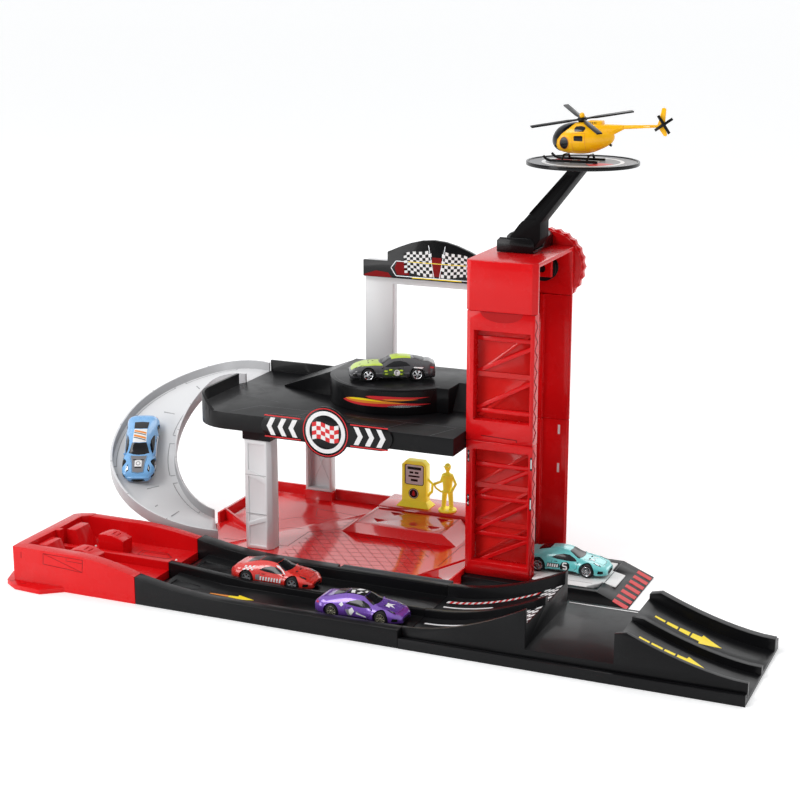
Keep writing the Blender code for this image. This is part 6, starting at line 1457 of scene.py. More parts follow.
@dataclass
class SpiralRamp(SubAssembly):
    """Pale spiral from the deck down to the base, with its moulded joint lines."""

    slot: str = "pale_plastic"
    centre: Pair = (-0.150, 0.0094)
    inner: float = 0.0325
    outer: float = 0.0944
    start_deg: float = 80.0
    end_deg: float = 302.0
    top_z: float = 0.1345
    low_z: float = 0.0145
    wall_height: float = 0.0083

    def edges(self, share: np.ndarray) -> tuple[np.ndarray, np.ndarray]:
        """Plan of the two edges: arcs about the centre, the outer one bulging by a squared sine, both
        drawn onto the deck's mouth by the square of what is left of the first 0.18 of the turn.

        Args:
            share: share of the turn, 0 at the deck.

        Returns:
            Inner and outer points, two numbers each.
        """
        angle = np.radians(self.start_deg + (self.end_deg - self.start_deg) * share)
        bulge = np.where(share < 0.54, 0.007 * np.sin(np.pi * np.minimum(share, 0.54) / 0.54) ** 2, 0.0)
        pull = np.where(share < 0.18, (1 - np.minimum(share, 0.18) / 0.18) ** 2, 0.0)[:, None]
        sides = []
        for radius, mouth_y in ((np.full_like(share, self.inner), 0.0275), (self.outer + bulge, 0.0776)):
            plan = np.column_stack([self.centre[0] + radius * np.cos(angle),
                                    self.centre[1] + radius * np.sin(angle)])
            start = math.radians(self.start_deg)
            there = np.column_stack([self.centre[0] + radius * math.cos(start),
                                     self.centre[1] + radius * math.sin(start)])
            sides.append(plan + (np.array([-0.1218, mouth_y]) - there) * pull)
        return sides[0], sides[1]

    def floor(self, plan: np.ndarray, height: np.ndarray) -> np.ndarray:
        """Point on the floor: the plan is the share of the turn and the share across from the inner edge.

        The height falls by 0.4 of an even share and 0.6 of a smooth step.

        Args:
            plan: the two shares.
            height: height over the floor.

        Returns:
            Points.
        """
        share = plan[:, 0]
        inner, outer = self.edges(share)
        across = inner + (outer - inner) * plan[:, 1:2]
        eased = share * share * (3 - 2 * share)
        level = self.top_z - (self.top_z - self.low_z) * (0.4 * share + 0.6 * eased)
        return np.column_stack([across, level + height])

    def wall_top(self, plan: np.ndarray, height: np.ndarray) -> np.ndarray:
        """Point on a wall's top, in the floor's coordinates."""
        return self.floor(plan, height + self.wall_height)

    def build(self) -> None:
        """Ramp, joint lines and short cracks."""
        # The spiral's upright faces get the darker pale, a painted shade.
        paint_sides(self.solid("spiral_ramp", Finish.PALE, 0.0005), Finish.PALE_PAINTED_SHADE)
        lines: list[Outline] = []
        for low, high, across in ((0.10, 0.24, 0.90), (0.27, 0.40, 0.91), (0.44, 0.60, 0.90),
                                  (0.63, 0.80, 0.91), (0.30, 0.46, 0.12), (0.50, 0.66, 0.13),
                                  (0.70, 0.90, 0.12)):
            lines.append([(low, across), (high, across), (high, across + 0.012), (low, across + 0.012)])
            for place in (low, high):
                outer = across > 0.5
                reach = (across, 0.955) if outer else (0.055, across)
                lines.append([(place, reach[0]), (place + 0.003, reach[0]), (place + 0.003, reach[1]),
                              (place, reach[1])])
        for share, low, high in ((0.36, 0.30, 0.52), (0.70, 0.36, 0.56), (0.78, 0.60, 0.66),
                                 (0.84, 0.40, 0.62), (0.90, 0.66, 0.72), (0.22, 0.42, 0.60)):
            lines.append([(share, low), (share + 0.003, low), (share + 0.006, high), (share + 0.003, high)])
        self.prints("spiral_joint_lines", lines, self.floor, Finish.SHADE_PALE, thick=0.00006, step=0.012)
        for label, across in (("inner", 0.018), ("outer", 0.982)):
            ticks = [[(s, across - 0.015), (s + 0.0025, across - 0.015), (s + 0.0025, across + 0.015),
                      (s, across + 0.015)]
                     for s in (0.18, 0.33, 0.47, 0.61, 0.74, 0.87)]
            self.prints(f"spiral_wall_ticks_{label}", ticks, self.wall_top, Finish.SHADE_PALE,
                        thick=0.00004)


@dataclass
class LiftTower(SubAssembly):
    """Red tower of two storeys with see-through windows, braces and the cap."""

    front_y: float = -0.047
    left: float = 0.1336
    right: float = 0.1825

    def build(self) -> None:
        """Storeys, windows, braces, cap and small fittings."""
        self.solid("tower_lower", Finish.RED, 0.0006)
        self.solid("tower_upper", Finish.RED, 0.0006)
        self.solid("tower_cap", Finish.RED, 0.0010, 3)
        self.solid("tower_window_lower", Finish.CLEAR_RED, 0.0003, 1, slot="clear_red_plastic")
        self.solid("tower_window_upper", Finish.CLEAR_RED, 0.0003, 1, slot="clear_red_plastic")
        self.braces("lower", (0.1049, 0.0759, 0.0435), ((0.1035, 0.0775), (0.0745, 0.0450), (0.0420, 0.0165)))
        self.braces("upper", (0.2138, 0.1835, 0.1520), ((0.2085, 0.1850), (0.1790, 0.1535)))
        self.cap_front()
        self.fittings()
        self.zigzag()

    def braces(self, storey: str, levels: Sequence[float], slants: Sequence[Pair]) -> None:
        """Red bars in front of a pane: level ones, and slanting ones from low left to high right.

        Args:
            storey: name of the storey.
            levels: heights of the level bars.
            slants: height at the right and at the left of each slanting bar.
        """
        front, back = -0.0394, -0.0372
        outlines = [rectangle(self.left, z - 0.0019, self.right, z + 0.0019) for z in levels]
        outlines += [[(self.left, low - 0.0020), (self.right, high - 0.0020), (self.right, high + 0.0020),
                      (self.left, low + 0.0020)] for high, low in slants]
        for number, outline in enumerate(outlines):
            piece = prism(f"brace_{storey}_{number}", outline, front + 0.0003 * (number % 2), back, 1)
            self.added(bevel(piece, 0.0004), Finish.RED)

    def cap_front(self) -> None:
        """Sunk half-round under the cap's front edge, shown by painted shade: a darker curved field and its
        rim.
        """
        middle, level, radius = 0.1575, 0.2377, 0.0185
        turn = np.radians(np.linspace(180, 360, 25))
        notch = [(middle + radius * math.cos(a), level + 0.0085 * math.sin(a)) for a in turn]
        self.prints("cap_finger_notch", [notch], flat_on(1, self.front_y, -1.0), Finish.NOTCH_PAINTED_SHADE,
                    thick=0.00006)

    def fittings(self) -> None:
        """Clip holes in the left post, slots in the right post and the back wall, and the groove; the holes
        and the post's slots are black plates of painted shade, the wall's slots white plates of painted
        light.
        """
        post = flat_on(1, self.front_y, -1.0)
        groove = bars([(0.1408, 0.1322), (0.1722, 0.1310), (0.1724, 0.1290)], 0.0008)
        self.prints("tower_groove", groove, post, Finish.DARK_RED, thick=0.00005)
        # Black plates paint the shade in the clip holes and the slots.
        holes = [rectangle(0.1289, z - 0.0052, 0.1306, z + 0.0052) for z in (0.1130, 0.0740)]
        holes += [rectangle(0.1845, z - 0.0056, 0.1862, z + 0.0056) for z in (0.1120, 0.0770)]
        self.prints("post_slot_shades", holes, post, Finish.PRINT_BLACK, thick=0.00006)
        for number, z in enumerate((0.1155, 0.1100, 0.0765, 0.0712)):
            path = np.array([(0.12975, -0.0468, z - 0.0008), (0.12975, -0.04735, z),
                             (0.12975, -0.0468, z + 0.0008)])
            self.added(round_tube(f"post_clip_{number}", path, 0.0007, 10), Finish.HUB)
        pegs = [rectangle(0.1850, z - 0.0040, 0.1859, z + 0.0040) for z in (0.1120, 0.0770)]
        self.prints("post_pegs", pegs, post, Finish.PRINT_WHITE, thick=0.0002)
        # White plates paint the light seen through the back wall's slots.
        inner = flat_on(1, 0.0446, -1.0)
        slots = [rectangle(0.1782, z - 0.0042, 0.1802, z + 0.0042) for z in (0.1180, 0.0830)]
        self.prints("wall_slot_light", slots, inner, Finish.PRINT_WHITE, thick=0.0001)

    def zigzag(self) -> None:
        """Row of slanting ribs down the side of the front right post, in a darker red that paints their
        shade.
        """
        side = flat_on(0, 0.1863, 1.0)
        front, back = -0.0457, -0.0394
        outlines: list[Outline] = []
        for low, high in ((0.012, 0.124), (0.131, 0.234)):
            count = int((high - low) / 0.0115)
            pitch = (high - low) / count
            for k in range(count):
                z = low + pitch * k
                outlines.append(bar((front, z), (back, z + pitch * 0.5), 0.0006))
                outlines.append(bar((back, z + pitch * 0.5), (front, z + pitch), 0.0006))
        # Darker red on the ribs: painted shade.
        self.prints("post_ribs", outlines, side, Finish.DARK_RED, thick=0.0003)


@dataclass
class Lift(SubAssembly):
    """Lift platform, its cord, the spool in the cap and the knob that winds it."""

    body: str = "lift"
    slot: str = "white_plastic"
    cord_x: float = 0.1541
    cord_y: float = 0.04075
    cord_low: float = 0.0346
    cord_top: float = 0.2615
    cord_radius: float = 0.0006
    squashed: float = 0.361

    def build(self) -> None:
        """Platform, cord, spool and knob."""
        self.solid("lift_platform", Finish.WHITE, 0.0005)
        self.grip_lines()
        self.solid("lift_spool", Finish.BLACK, 0.0004, slot="black_plastic")
        self.solid("lift_knob", Finish.RED, 0.0005, slot="red_plastic")
        self.hang_cord()

    def grip_lines(self) -> None:
        """Raised grip lines across the platform's tab."""
        places = [0.2455 + 0.0014 * k for k in range(7)]
        lines = [bar((x, -0.0295), (x, -0.0025), 0.0005) for x in places]

        def slope(x: np.ndarray) -> np.ndarray:
            """The tab falls from 12 mm to 9.3 mm over its 12 mm."""
            return 0.0120 - 0.0027 * (x - 0.2445) / 0.012

        self.prints("tab_grips", lines, floor_surface(slope), Finish.WHITE, thick=0.0003)
        marks = [bar((0.1900, -0.0380), (0.2380, -0.0380), 0.0006),
                 bar((0.1900, 0.0090), (0.2400, 0.0090), 0.0006)]
        self.prints("platform_lines", marks, flat_on(2, 0.0120), Finish.SHADE_PALE, thick=0.00004)

    def hang_cord(self) -> None:
        """Laid cord: a round tube whose radius waves along it as its strands turn."""
        z = np.linspace(self.cord_low, self.cord_top, 240)
        path = np.column_stack([np.full_like(z, self.cord_x), np.full_like(z, self.cord_y), z])
        radius = self.cord_radius * (0.94 + 0.06 * np.cos((z - self.cord_low) / 0.0016 * 2 * np.pi))
        cord = round_tube("cord_strand", path, radius, 10)
        self.added(cord, Finish.CORD, "cord", "garage")
        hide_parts("lift_cord")
        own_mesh(cord)


@dataclass
class ExitRamp(SubAssembly):
    """Black plate and drive-off ramp beside the tower."""

    slot: str = "black_plastic"
    crest_x: float = 0.247
    foot_x: float = 0.274
    top_z: float = 0.0118
    toe_z: float = 0.0008

    def slope(self, x: np.ndarray) -> np.ndarray:
        """Level up to the crest, then straight down to the toe."""
        share = np.clip((x - self.crest_x) / (self.foot_x - self.crest_x), 0, 1)
        return self.top_z - (self.top_z - self.toe_z) * share

    def build(self) -> None:
        """Ramp and its red stripes."""
        self.solid("exit_ramp", Finish.BLACK, 0.0005)
        stripes = []
        for k in range(7):
            y = 0.0195 - 0.0121 * k
            stripes.append([(0.2612, y - 0.0028), (0.2735, y - 0.0040), (0.2735, y + 0.0028),
                            (0.2612, y + 0.0036)])
        self.prints("exit_stripes", stripes, floor_surface(self.slope), Finish.PRINT_RED)
        lines = [bar((self.crest_x, -0.0540), (self.crest_x, 0.0255), 0.0004)]
        self.prints("exit_crest_line", lines, flat_on(2, self.top_z), Finish.GREY, thick=0.00005)


@dataclass
class Helipad(SubAssembly):
    """Landing disc on its slanting arm."""

    slot: str = "black_plastic"
    centre: Pair = (0.206, 0.008)
    floor_z: float = 0.357

    def build(self) -> None:
        """Base, arm, disc and the printed landing sign."""
        self.solid("helipad_base", Finish.GLOSS_BLACK, 0.0005)
        self.solid("helipad_arm", Finish.MATT_BLACK, 0.0006)
        self.solid("helipad_disc", Finish.GLOSS_BLACK, 0.0005, 3)
        top = flat_on(2, self.floor_z)
        self.prints("pad_ground", ring_band(self.centre, 0.0002, 0.0440, 64), top, Finish.PRINT_GREY,
                    thick=0.00010)
        self.prints("pad_ring", ring_band(self.centre, 0.0305, 0.0338, 64), top, Finish.PRINT_WHITE)
        x, y = self.centre
        wedge = ring_band(self.centre, 0.0060, 0.0285, 10, -62.0, 50.0)
        wedge += ring_band(self.centre, 0.0060, 0.0285, 10, 118.0, 50.0)
        self.prints("pad_wedges", wedge, top, Finish.PRINT_RED)
        bars_h = [rectangle(x - 0.0120, y - 0.0130, x - 0.0075, y + 0.0130),
                  rectangle(x + 0.0075, y - 0.0130, x + 0.0120, y + 0.0130),
                  rectangle(x - 0.0075, y - 0.0022, x + 0.0075, y + 0.0022)]
        self.prints("pad_bars", bars_h, top, Finish.PRINT_WHITE, thick=0.00022)


@dataclass
class Helicopter(SubAssembly):
    """Yellow toy helicopter: egg-shaped cabin, cowl, boom, forked fin, rotors and skids."""

    slot: str = "yellow_plastic"
    body: str = "helicopter"
    middle_y: float = 0.008
    power: float = 2.25
    hub: Point = (0.2045, 0.008, 0.3918)

    # X, top, bottom and half width of the cabin, in millimetres
    stations = np.array([
        (180.0, 374.9, 373.5, 0.7), (180.6, 377.2, 371.2, 3.2), (182.0, 380.2, 368.9, 5.6),
        (184.5, 383.5, 366.8, 8.0), (188.5, 386.3, 365.1, 10.0), (194.0, 388.2, 364.1, 11.4),
        (201.0, 389.3, 363.7, 12.0), (208.0, 389.4, 364.0, 12.0), (214.5, 388.7, 365.3, 11.2),
        (220.5, 387.2, 367.7, 9.6), (225.5, 385.2, 370.2, 7.5), (229.0, 383.2, 372.6, 5.2),
        (231.2, 381.2, 375.0, 2.8), (231.9, 379.6, 376.6, 1.2),
    ])

    def profile(self, x: np.ndarray) -> np.ndarray:
        """Top, bottom and half width at each X, smoothly through the stations."""
        return curve(x, self.stations[:, 0] * MM, self.stations[:, 1:] * MM)

    def ring_point(self, x: np.ndarray, turn: np.ndarray, lift: np.ndarray) -> np.ndarray:
        """Point of the cabin: a superellipse about the middle height, its angle counted from +Y over the top.

        Args:
            x: place along the cabin.
            turn: angle.
            lift: how far outside the skin.

        Returns:
            Points.
        """
        top, bottom, half = self.profile(x).T
        tall = (top - bottom) / 2 + lift
        c, s = np.cos(turn), np.sin(turn)
        y = self.middle_y + (half + lift) * np.sign(c) * np.abs(c) ** (2 / self.power)
        z = (top + bottom) / 2 + tall * np.sign(s) * np.abs(s) ** (2 / self.power)
        return np.column_stack([x, y, z])

    def side(self, sign: int) -> Surface:
        """Surface of one side: the plan is X and Z, and Y follows from the superellipse.

        Args:
            sign: -1 for the near side, +1 for the far side.

        Returns:
            Function from plan and height to points.
        """

        def place(plan: np.ndarray, height: np.ndarray) -> np.ndarray:
            """Put the plan on the side."""
            top, bottom, half = self.profile(plan[:, 0]).T
            share = np.clip(np.abs(plan[:, 1] - (top + bottom) / 2) / ((top - bottom) / 2), 0, 0.995)
            across = half * (1 - share ** self.power) ** (1 / self.power)
            slope = np.sign(plan[:, 1] - (top + bottom) / 2) * share
            out = across + height * np.sqrt(1 - slope * slope * 0.8)
            return np.column_stack([plan[:, 0], self.middle_y + sign * out, plan[:, 1] + height * slope])

        return place

    def build(self) -> None:
        """Cabin, glass, boom, rotors and skids."""
        self.cabin()
        self.canopy()
        self.side_windows()
        self.cowl_and_boom()
        self.fin()
        self.solid("helicopter_skids", Finish.BLACK, 0.0002, slot="black_plastic")
        self.rotors()

    def cabin(self) -> None:
        """Egg-shaped cabin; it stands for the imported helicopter."""
        low, high = self.stations[0, 0] * MM, self.stations[-1, 0] * MM
        share = np.linspace(0, 1, 56)
        x = low + (high - low) * (1 - np.cos(np.pi * share)) / 2
        turn = np.linspace(0, 2 * np.pi, 56, endpoint=False)
        grid_x, grid_turn = np.meshgrid(x, turn, indexing="ij")
        points = self.ring_point(grid_x.ravel(), grid_turn.ravel(), np.zeros(grid_x.size))
        piece = closed_sweep("cabin", points.reshape(56, 56, 3), 50.0)
        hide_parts("helicopter_body")
        self.added(piece, Finish.HELI_YELLOW)

    def canopy(self) -> None:
        """Dark windscreen over the nose: a cup whose rim runs where X meets the glass edge at that height."""
        edge_z = np.array([366.0, 368.0, 371.0, 375.3, 380.0, 384.9, 388.0, 390.0]) * MM
        edge_x = np.array([187.0, 186.0, 185.5, 186.4, 190.2, 196.4, 199.5, 200.0]) * MM
        turn = np.linspace(0, 2 * np.pi, 72, endpoint=False)
        rim = np.full(72, 0.188)
        for _ in range(12):
            level = self.ring_point(rim, turn, np.zeros(72))[:, 2]
            rim = 0.5 * rim + 0.5 * np.interp(level, edge_z, edge_x)
        low = self.stations[0, 0] * MM
        share = 1 - np.cos(np.linspace(0.02, 1, 26) * np.pi / 2)
        rings = []
        for lift, order in ((0.00028, share), (-0.0004, share[::-1])):
            for s in order:
                rings.append(self.ring_point(low + (rim - low) * s, turn, np.full(72, lift)))
        piece = closed_sweep("canopy", np.stack(rings), 40.0)
        self.added(piece, Finish.HELI_GLASS)

    def side_windows(self) -> None:
        """Drop-shaped window, two square windows and the door lines on both sides."""
        turn = np.linspace(0, 2 * np.pi, 24, endpoint=False)
        drop = [(192.9 + 3.9 * math.cos(a) + 0.7 * math.sin(a),
                 373.0 + 5.0 * math.sin(a) - 0.6 * math.cos(a)) for a in turn]
        upper = [(201.6, 382.5), (201.1, 384.6), (202.2, 386.3), (206.4, 386.8), (209.6, 386.2),
                 (210.2, 384.8), (208.9, 382.7)]
        lower = [(201.5, 375.2), (201.2, 378.4), (202.0, 379.1), (208.0, 379.3), (208.7, 378.8),
                 (208.8, 375.6), (208.2, 375.1)]
        lines = bars([(199.9, 380.4), (200.0, 371.0), (200.8, 366.2)], 0.28)
        lines += bars([(200.0, 381.0), (204.0, 380.9), (210.4, 381.3), (210.6, 374.0), (211.2, 367.6)], 0.28)
        lines += bars([(200.8, 366.2), (211.2, 367.0)], 0.28)
        for label, sign in (("near", -1), ("far", 1)):
            self.prints(f"heli_windows_{label}", in_mm([drop, upper, lower]), self.side(sign),
                        Finish.HELI_GLASS, step=0.0015, cross=0.0015, thick=0.00022)
            rims = [bar(a, b, 0.0004) for a, b in zip(in_mm([drop])[0], in_mm([drop[1:] + drop[:1]])[0])]
            self.prints(f"heli_drop_frame_{label}", rims, self.side(sign), Finish.PRINT_ORANGE,
                        thick=0.00026)
            self.prints(f"heli_door_lines_{label}", in_mm(lines), self.side(sign), Finish.PRINT_ORANGE,
                        step=0.002, cross=0.0015, thick=0.00008)

    def cowl_and_boom(self) -> None:
        """Engine cowl, boom root and the tapering tail boom."""
        cowl = closed_sweep("cowl", np.array([[(x * MM, self.middle_y + y * MM, z * MM) for y, z in
                                                ((-w, 386.0), (-w, top - 0.8), (-w * 0.75, top),
                                                 (w * 0.75, top), (w, top - 0.8), (w, 386.0))]
                                               for x, w, top in ((207.0, 3.2, 389.4), (210.0, 4.4, 390.6),
                                                                 (211.5, 4.6, 391.1), (221.6, 4.4, 391.2),
                                                                 (222.4, 4.2, 390.6))]))
        bevel(cowl, 0.0004, 2)
        root = closed_sweep("boom_root", np.array([[(x * MM, self.middle_y + y * MM, z * MM) for y, z in
                                                     ((-w * 0.5, low), (-w, (low + top) / 2),
                                                      (-w * 0.9, top - 0.5), (-w * 0.6, top), (w * 0.6, top),
                                                      (w * 0.9, top - 0.5), (w, (low + top) / 2),
                                                      (w * 0.5, low))]
                                                    for x, w, low, top in ((214.0, 6.6, 376.0, 388.3),
                                                                           (222.0, 6.0, 377.0, 388.3),
                                                                           (231.0, 4.4, 380.0, 388.3),
                                                                           (239.0, 2.9, 384.3, 388.3),
                                                                           (239.6, 2.7, 384.6, 388.1))]))
        bevel(root, 0.0004, 2)
        x = np.linspace(237.0, 269.5, 12) * MM
        share = np.linspace(0, 1, 12)
        boom = round_tube("boom", np.column_stack([x, np.full(12, self.middle_y),
                                                   (386.4 + 2.1 * share) * MM]),
                          (1.75 - 0.65 * share) * MM, 20)
        stub = round_tube("boom_stub", [(0.2665, self.middle_y, 0.3870), (0.2665, self.middle_y, 0.3858)],
                          0.0006, 10)
        self.added(joined("tail", [cowl, root, boom, stub]), Finish.HELI_YELLOW)
        vents = [rectangle(x0, 388.6, x0 + 0.5, 390.2) for x0 in (213.0, 214.4, 215.8, 217.2)]
        for label, sign in (("near", -1.0), ("far", 1.0)):
            self.prints(f"cowl_vents_{label}", in_mm(vents), flat_on(1, self.middle_y + sign * 0.0044, sign),
                        Finish.PRINT_BLACK, thick=0.00024)
        pipe = round_tube("exhaust", [(0.2275, self.middle_y, 0.3725), (0.2300, self.middle_y, 0.3712)],
                          0.0010, 14)
        self.added(pipe, Finish.BLACK)

    def fin(self) -> None:
        """Forked fin: a tall blade up, a short one down, and a small level plate."""
        y = self.middle_y
        upper = [(266.6, 387.6), (268.6, 394.0), (270.4, 402.6), (271.4, 403.2), (273.6, 402.8),
                 (273.9, 401.6), (273.4, 391.5), (272.2, 387.9)]
        lower = [(266.8, 388.9), (268.5, 386.4), (272.6, 381.0), (273.8, 380.5), (275.2, 381.0),
                 (275.4, 382.2), (272.6, 389.0)]
        blades = []
        for number, outline in enumerate(in_mm([upper, lower])):
            blades.append(bevel(prism(f"fin_{number}", outline, y - 0.0007, y + 0.0007, 1), 0.0005, 3, 30))
        plate = in_mm([[(257.0, 1.0), (262.5, 1.0), (262.5, 15.0), (257.6, 15.0)]])[0]
        blades.append(bevel(prism("fin_plate", plate, 0.3873, 0.3882), 0.0003))
        self.added(joined("fins", blades), Finish.HELI_YELLOW)

    def rotors(self) -> None:
        """Rotors, the hub's yoke and its yellow cap."""
        self.solid("main_rotor", Finish.BLACK, 0.0004, slot="black_plastic")
        self.solid("tail_rotor", Finish.BLACK, 0.0003, slot="black_plastic")
        tilt = math.radians(12.5)
        up = np.array([0.0, -math.sin(tilt), math.cos(tilt)])
        hub = np.array(self.hub)
        heights = np.linspace(0.0006, 0.0052, 9)
        radius = 0.0021 * np.sqrt(np.clip(1 - ((heights - 0.0030) / 0.0026) ** 2, 0.05, 1))
        ball = round_tube("rotor_cap", hub + heights[:, None] * up, radius, 20)
        self.added(ball, Finish.HELI_YELLOW, "black_plastic", "main_rotor")
        yoke_path = hub + np.linspace(-0.0014, 0.0012, 5)[:, None] * up
        yoke = round_tube("rotor_yoke", yoke_path, np.array([0.0030, 0.0040, 0.0043, 0.0040, 0.0032]), 24)
        self.added(yoke, Finish.BLACK, "black_plastic", "main_rotor")
        mast = round_tube("mast", np.array([hub - up * 0.0075, hub - up * 0.0024]), 0.0015, 14)
        self.added(mast, Finish.BLACK)


@dataclass
class FuelStop(SubAssembly):
    """Yellow fuel pump and its attendant on the island."""

    slot: str = "yellow_plastic"
    front_y: float = 0.057
    recess_y: float = 0.0578
    middle_x: float = 0.0362

    def build(self) -> None:
        """Pump, dial, badge and attendant."""
        self.solid("fuel_pump", Finish.YELLOW, 0.0004)
        x = self.middle_x
        dial = flat_on(1, self.recess_y, -1.0)
        face = flat_on(1, self.front_y, -1.0)
        half = 0.0091
        frame_outline = [(x - half, 0.0468), (x - half, 0.0636), (x - half + 0.0016, 0.0648),
                         (x + half - 0.0016, 0.0648), (x + half, 0.0636), (x + half, 0.0468),
                         (x + half - 0.0012, 0.0456), (x - half + 0.0012, 0.0456)]
        self.prints("dial_ground", [frame_outline], dial, Finish.PRINT_WHITE, thick=0.00012)
        self.prints("dial_frame", bars(frame_outline, 0.0007, closed=True), dial, Finish.PRINT_BLACK,
                    thick=0.0002)
        rows = [rectangle(x - 0.0068, 0.0600, x + 0.0068, 0.0626)]
        rows += [rectangle(x - 0.0048 + 0.0052 * k, low, x - 0.0010 + 0.0052 * k, low + 0.0019)
                 for k, low in ((0, 0.0562), (1, 0.0562))]
        rows += [rectangle(x - 0.0058, 0.0528, x + 0.0052, 0.0544),
                 rectangle(x - 0.0034, 0.0488, x + 0.0034, 0.0510)]
        self.prints("dial_rows", rows, dial, Finish.PRINT_BLACK, thick=0.0002)
        centre = (x - 0.0004, 0.0372)
        self.prints("badge_ground", ring_band(centre, 0.00005, 0.0050, 32), face, Finish.PRINT_BLACK,
                    thick=0.00012)
        self.prints("badge_ring", ring_band(centre, 0.0040, 0.0045, 32), face, Finish.PRINT_WHITE,
                    thick=0.0002)
        drop = [(centre[0], centre[1] + 0.0034), (centre[0] + 0.0015, centre[1] + 0.0002),
                (centre[0] + 0.0014, centre[1] - 0.0016), (centre[0], centre[1] - 0.0025),
                (centre[0] - 0.0014, centre[1] - 0.0016), (centre[0] - 0.0015, centre[1] + 0.0002)]
        self.prints("badge_drop", [drop], face, Finish.PRINT_RED, thick=0.0002)
        self.attendant()

    def attendant(self) -> None:
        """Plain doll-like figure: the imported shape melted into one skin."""
        mesh = NODES["attendant"].data.copy()
        mesh.materials.clear()
        figure = linked("attendant_skin", mesh)
        melt = figure.modifiers.new("Melt", "REMESH")
        melt.mode = "VOXEL"
        melt.voxel_size = 0.00030
        soften = figure.modifiers.new("Soften", "SMOOTH")
        soften.factor = 0.5
        soften.iterations = 4
        apply_modifiers(figure)
        shade(figure, 80.0)
        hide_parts("attendant")
        self.added(figure, Finish.YELLOW)


# Share of the length from the tail, then half width, height and narrowness of the roof as shares
SPORT_STATIONS = (
    (0.00, 0.72, 0.50, 0.95), (0.04, 0.89, 0.66, 0.90), (0.14, 0.99, 0.76, 0.84), (0.24, 1.00, 0.87, 0.74),
    (0.34, 0.97, 0.96, 0.67), (0.46, 0.95, 1.00, 0.64), (0.56, 0.95, 0.945, 0.66), (0.66, 0.96, 0.745, 0.74),
    (0.76, 1.00, 0.625, 0.87), (0.88, 0.98, 0.53, 0.90), (0.96, 0.86, 0.41, 0.90), (1.00, 0.66, 0.29, 0.88),
)
COUPE_STATIONS = (
    (0.00, 0.78, 0.66, 0.92), (0.04, 0.92, 0.745, 0.86), (0.12, 0.98, 0.80, 0.78), (0.22, 1.00, 0.90, 0.70),
    (0.32, 0.97, 0.98, 0.65), (0.42, 0.95, 1.00, 0.64), (0.52, 0.95, 0.94, 0.66), (0.61, 0.96, 0.735, 0.76),
    (0.74, 1.00, 0.68, 0.88), (0.88, 0.98, 0.60, 0.90), (0.96, 0.90, 0.47, 0.88), (1.00, 0.74, 0.33, 0.86),
)


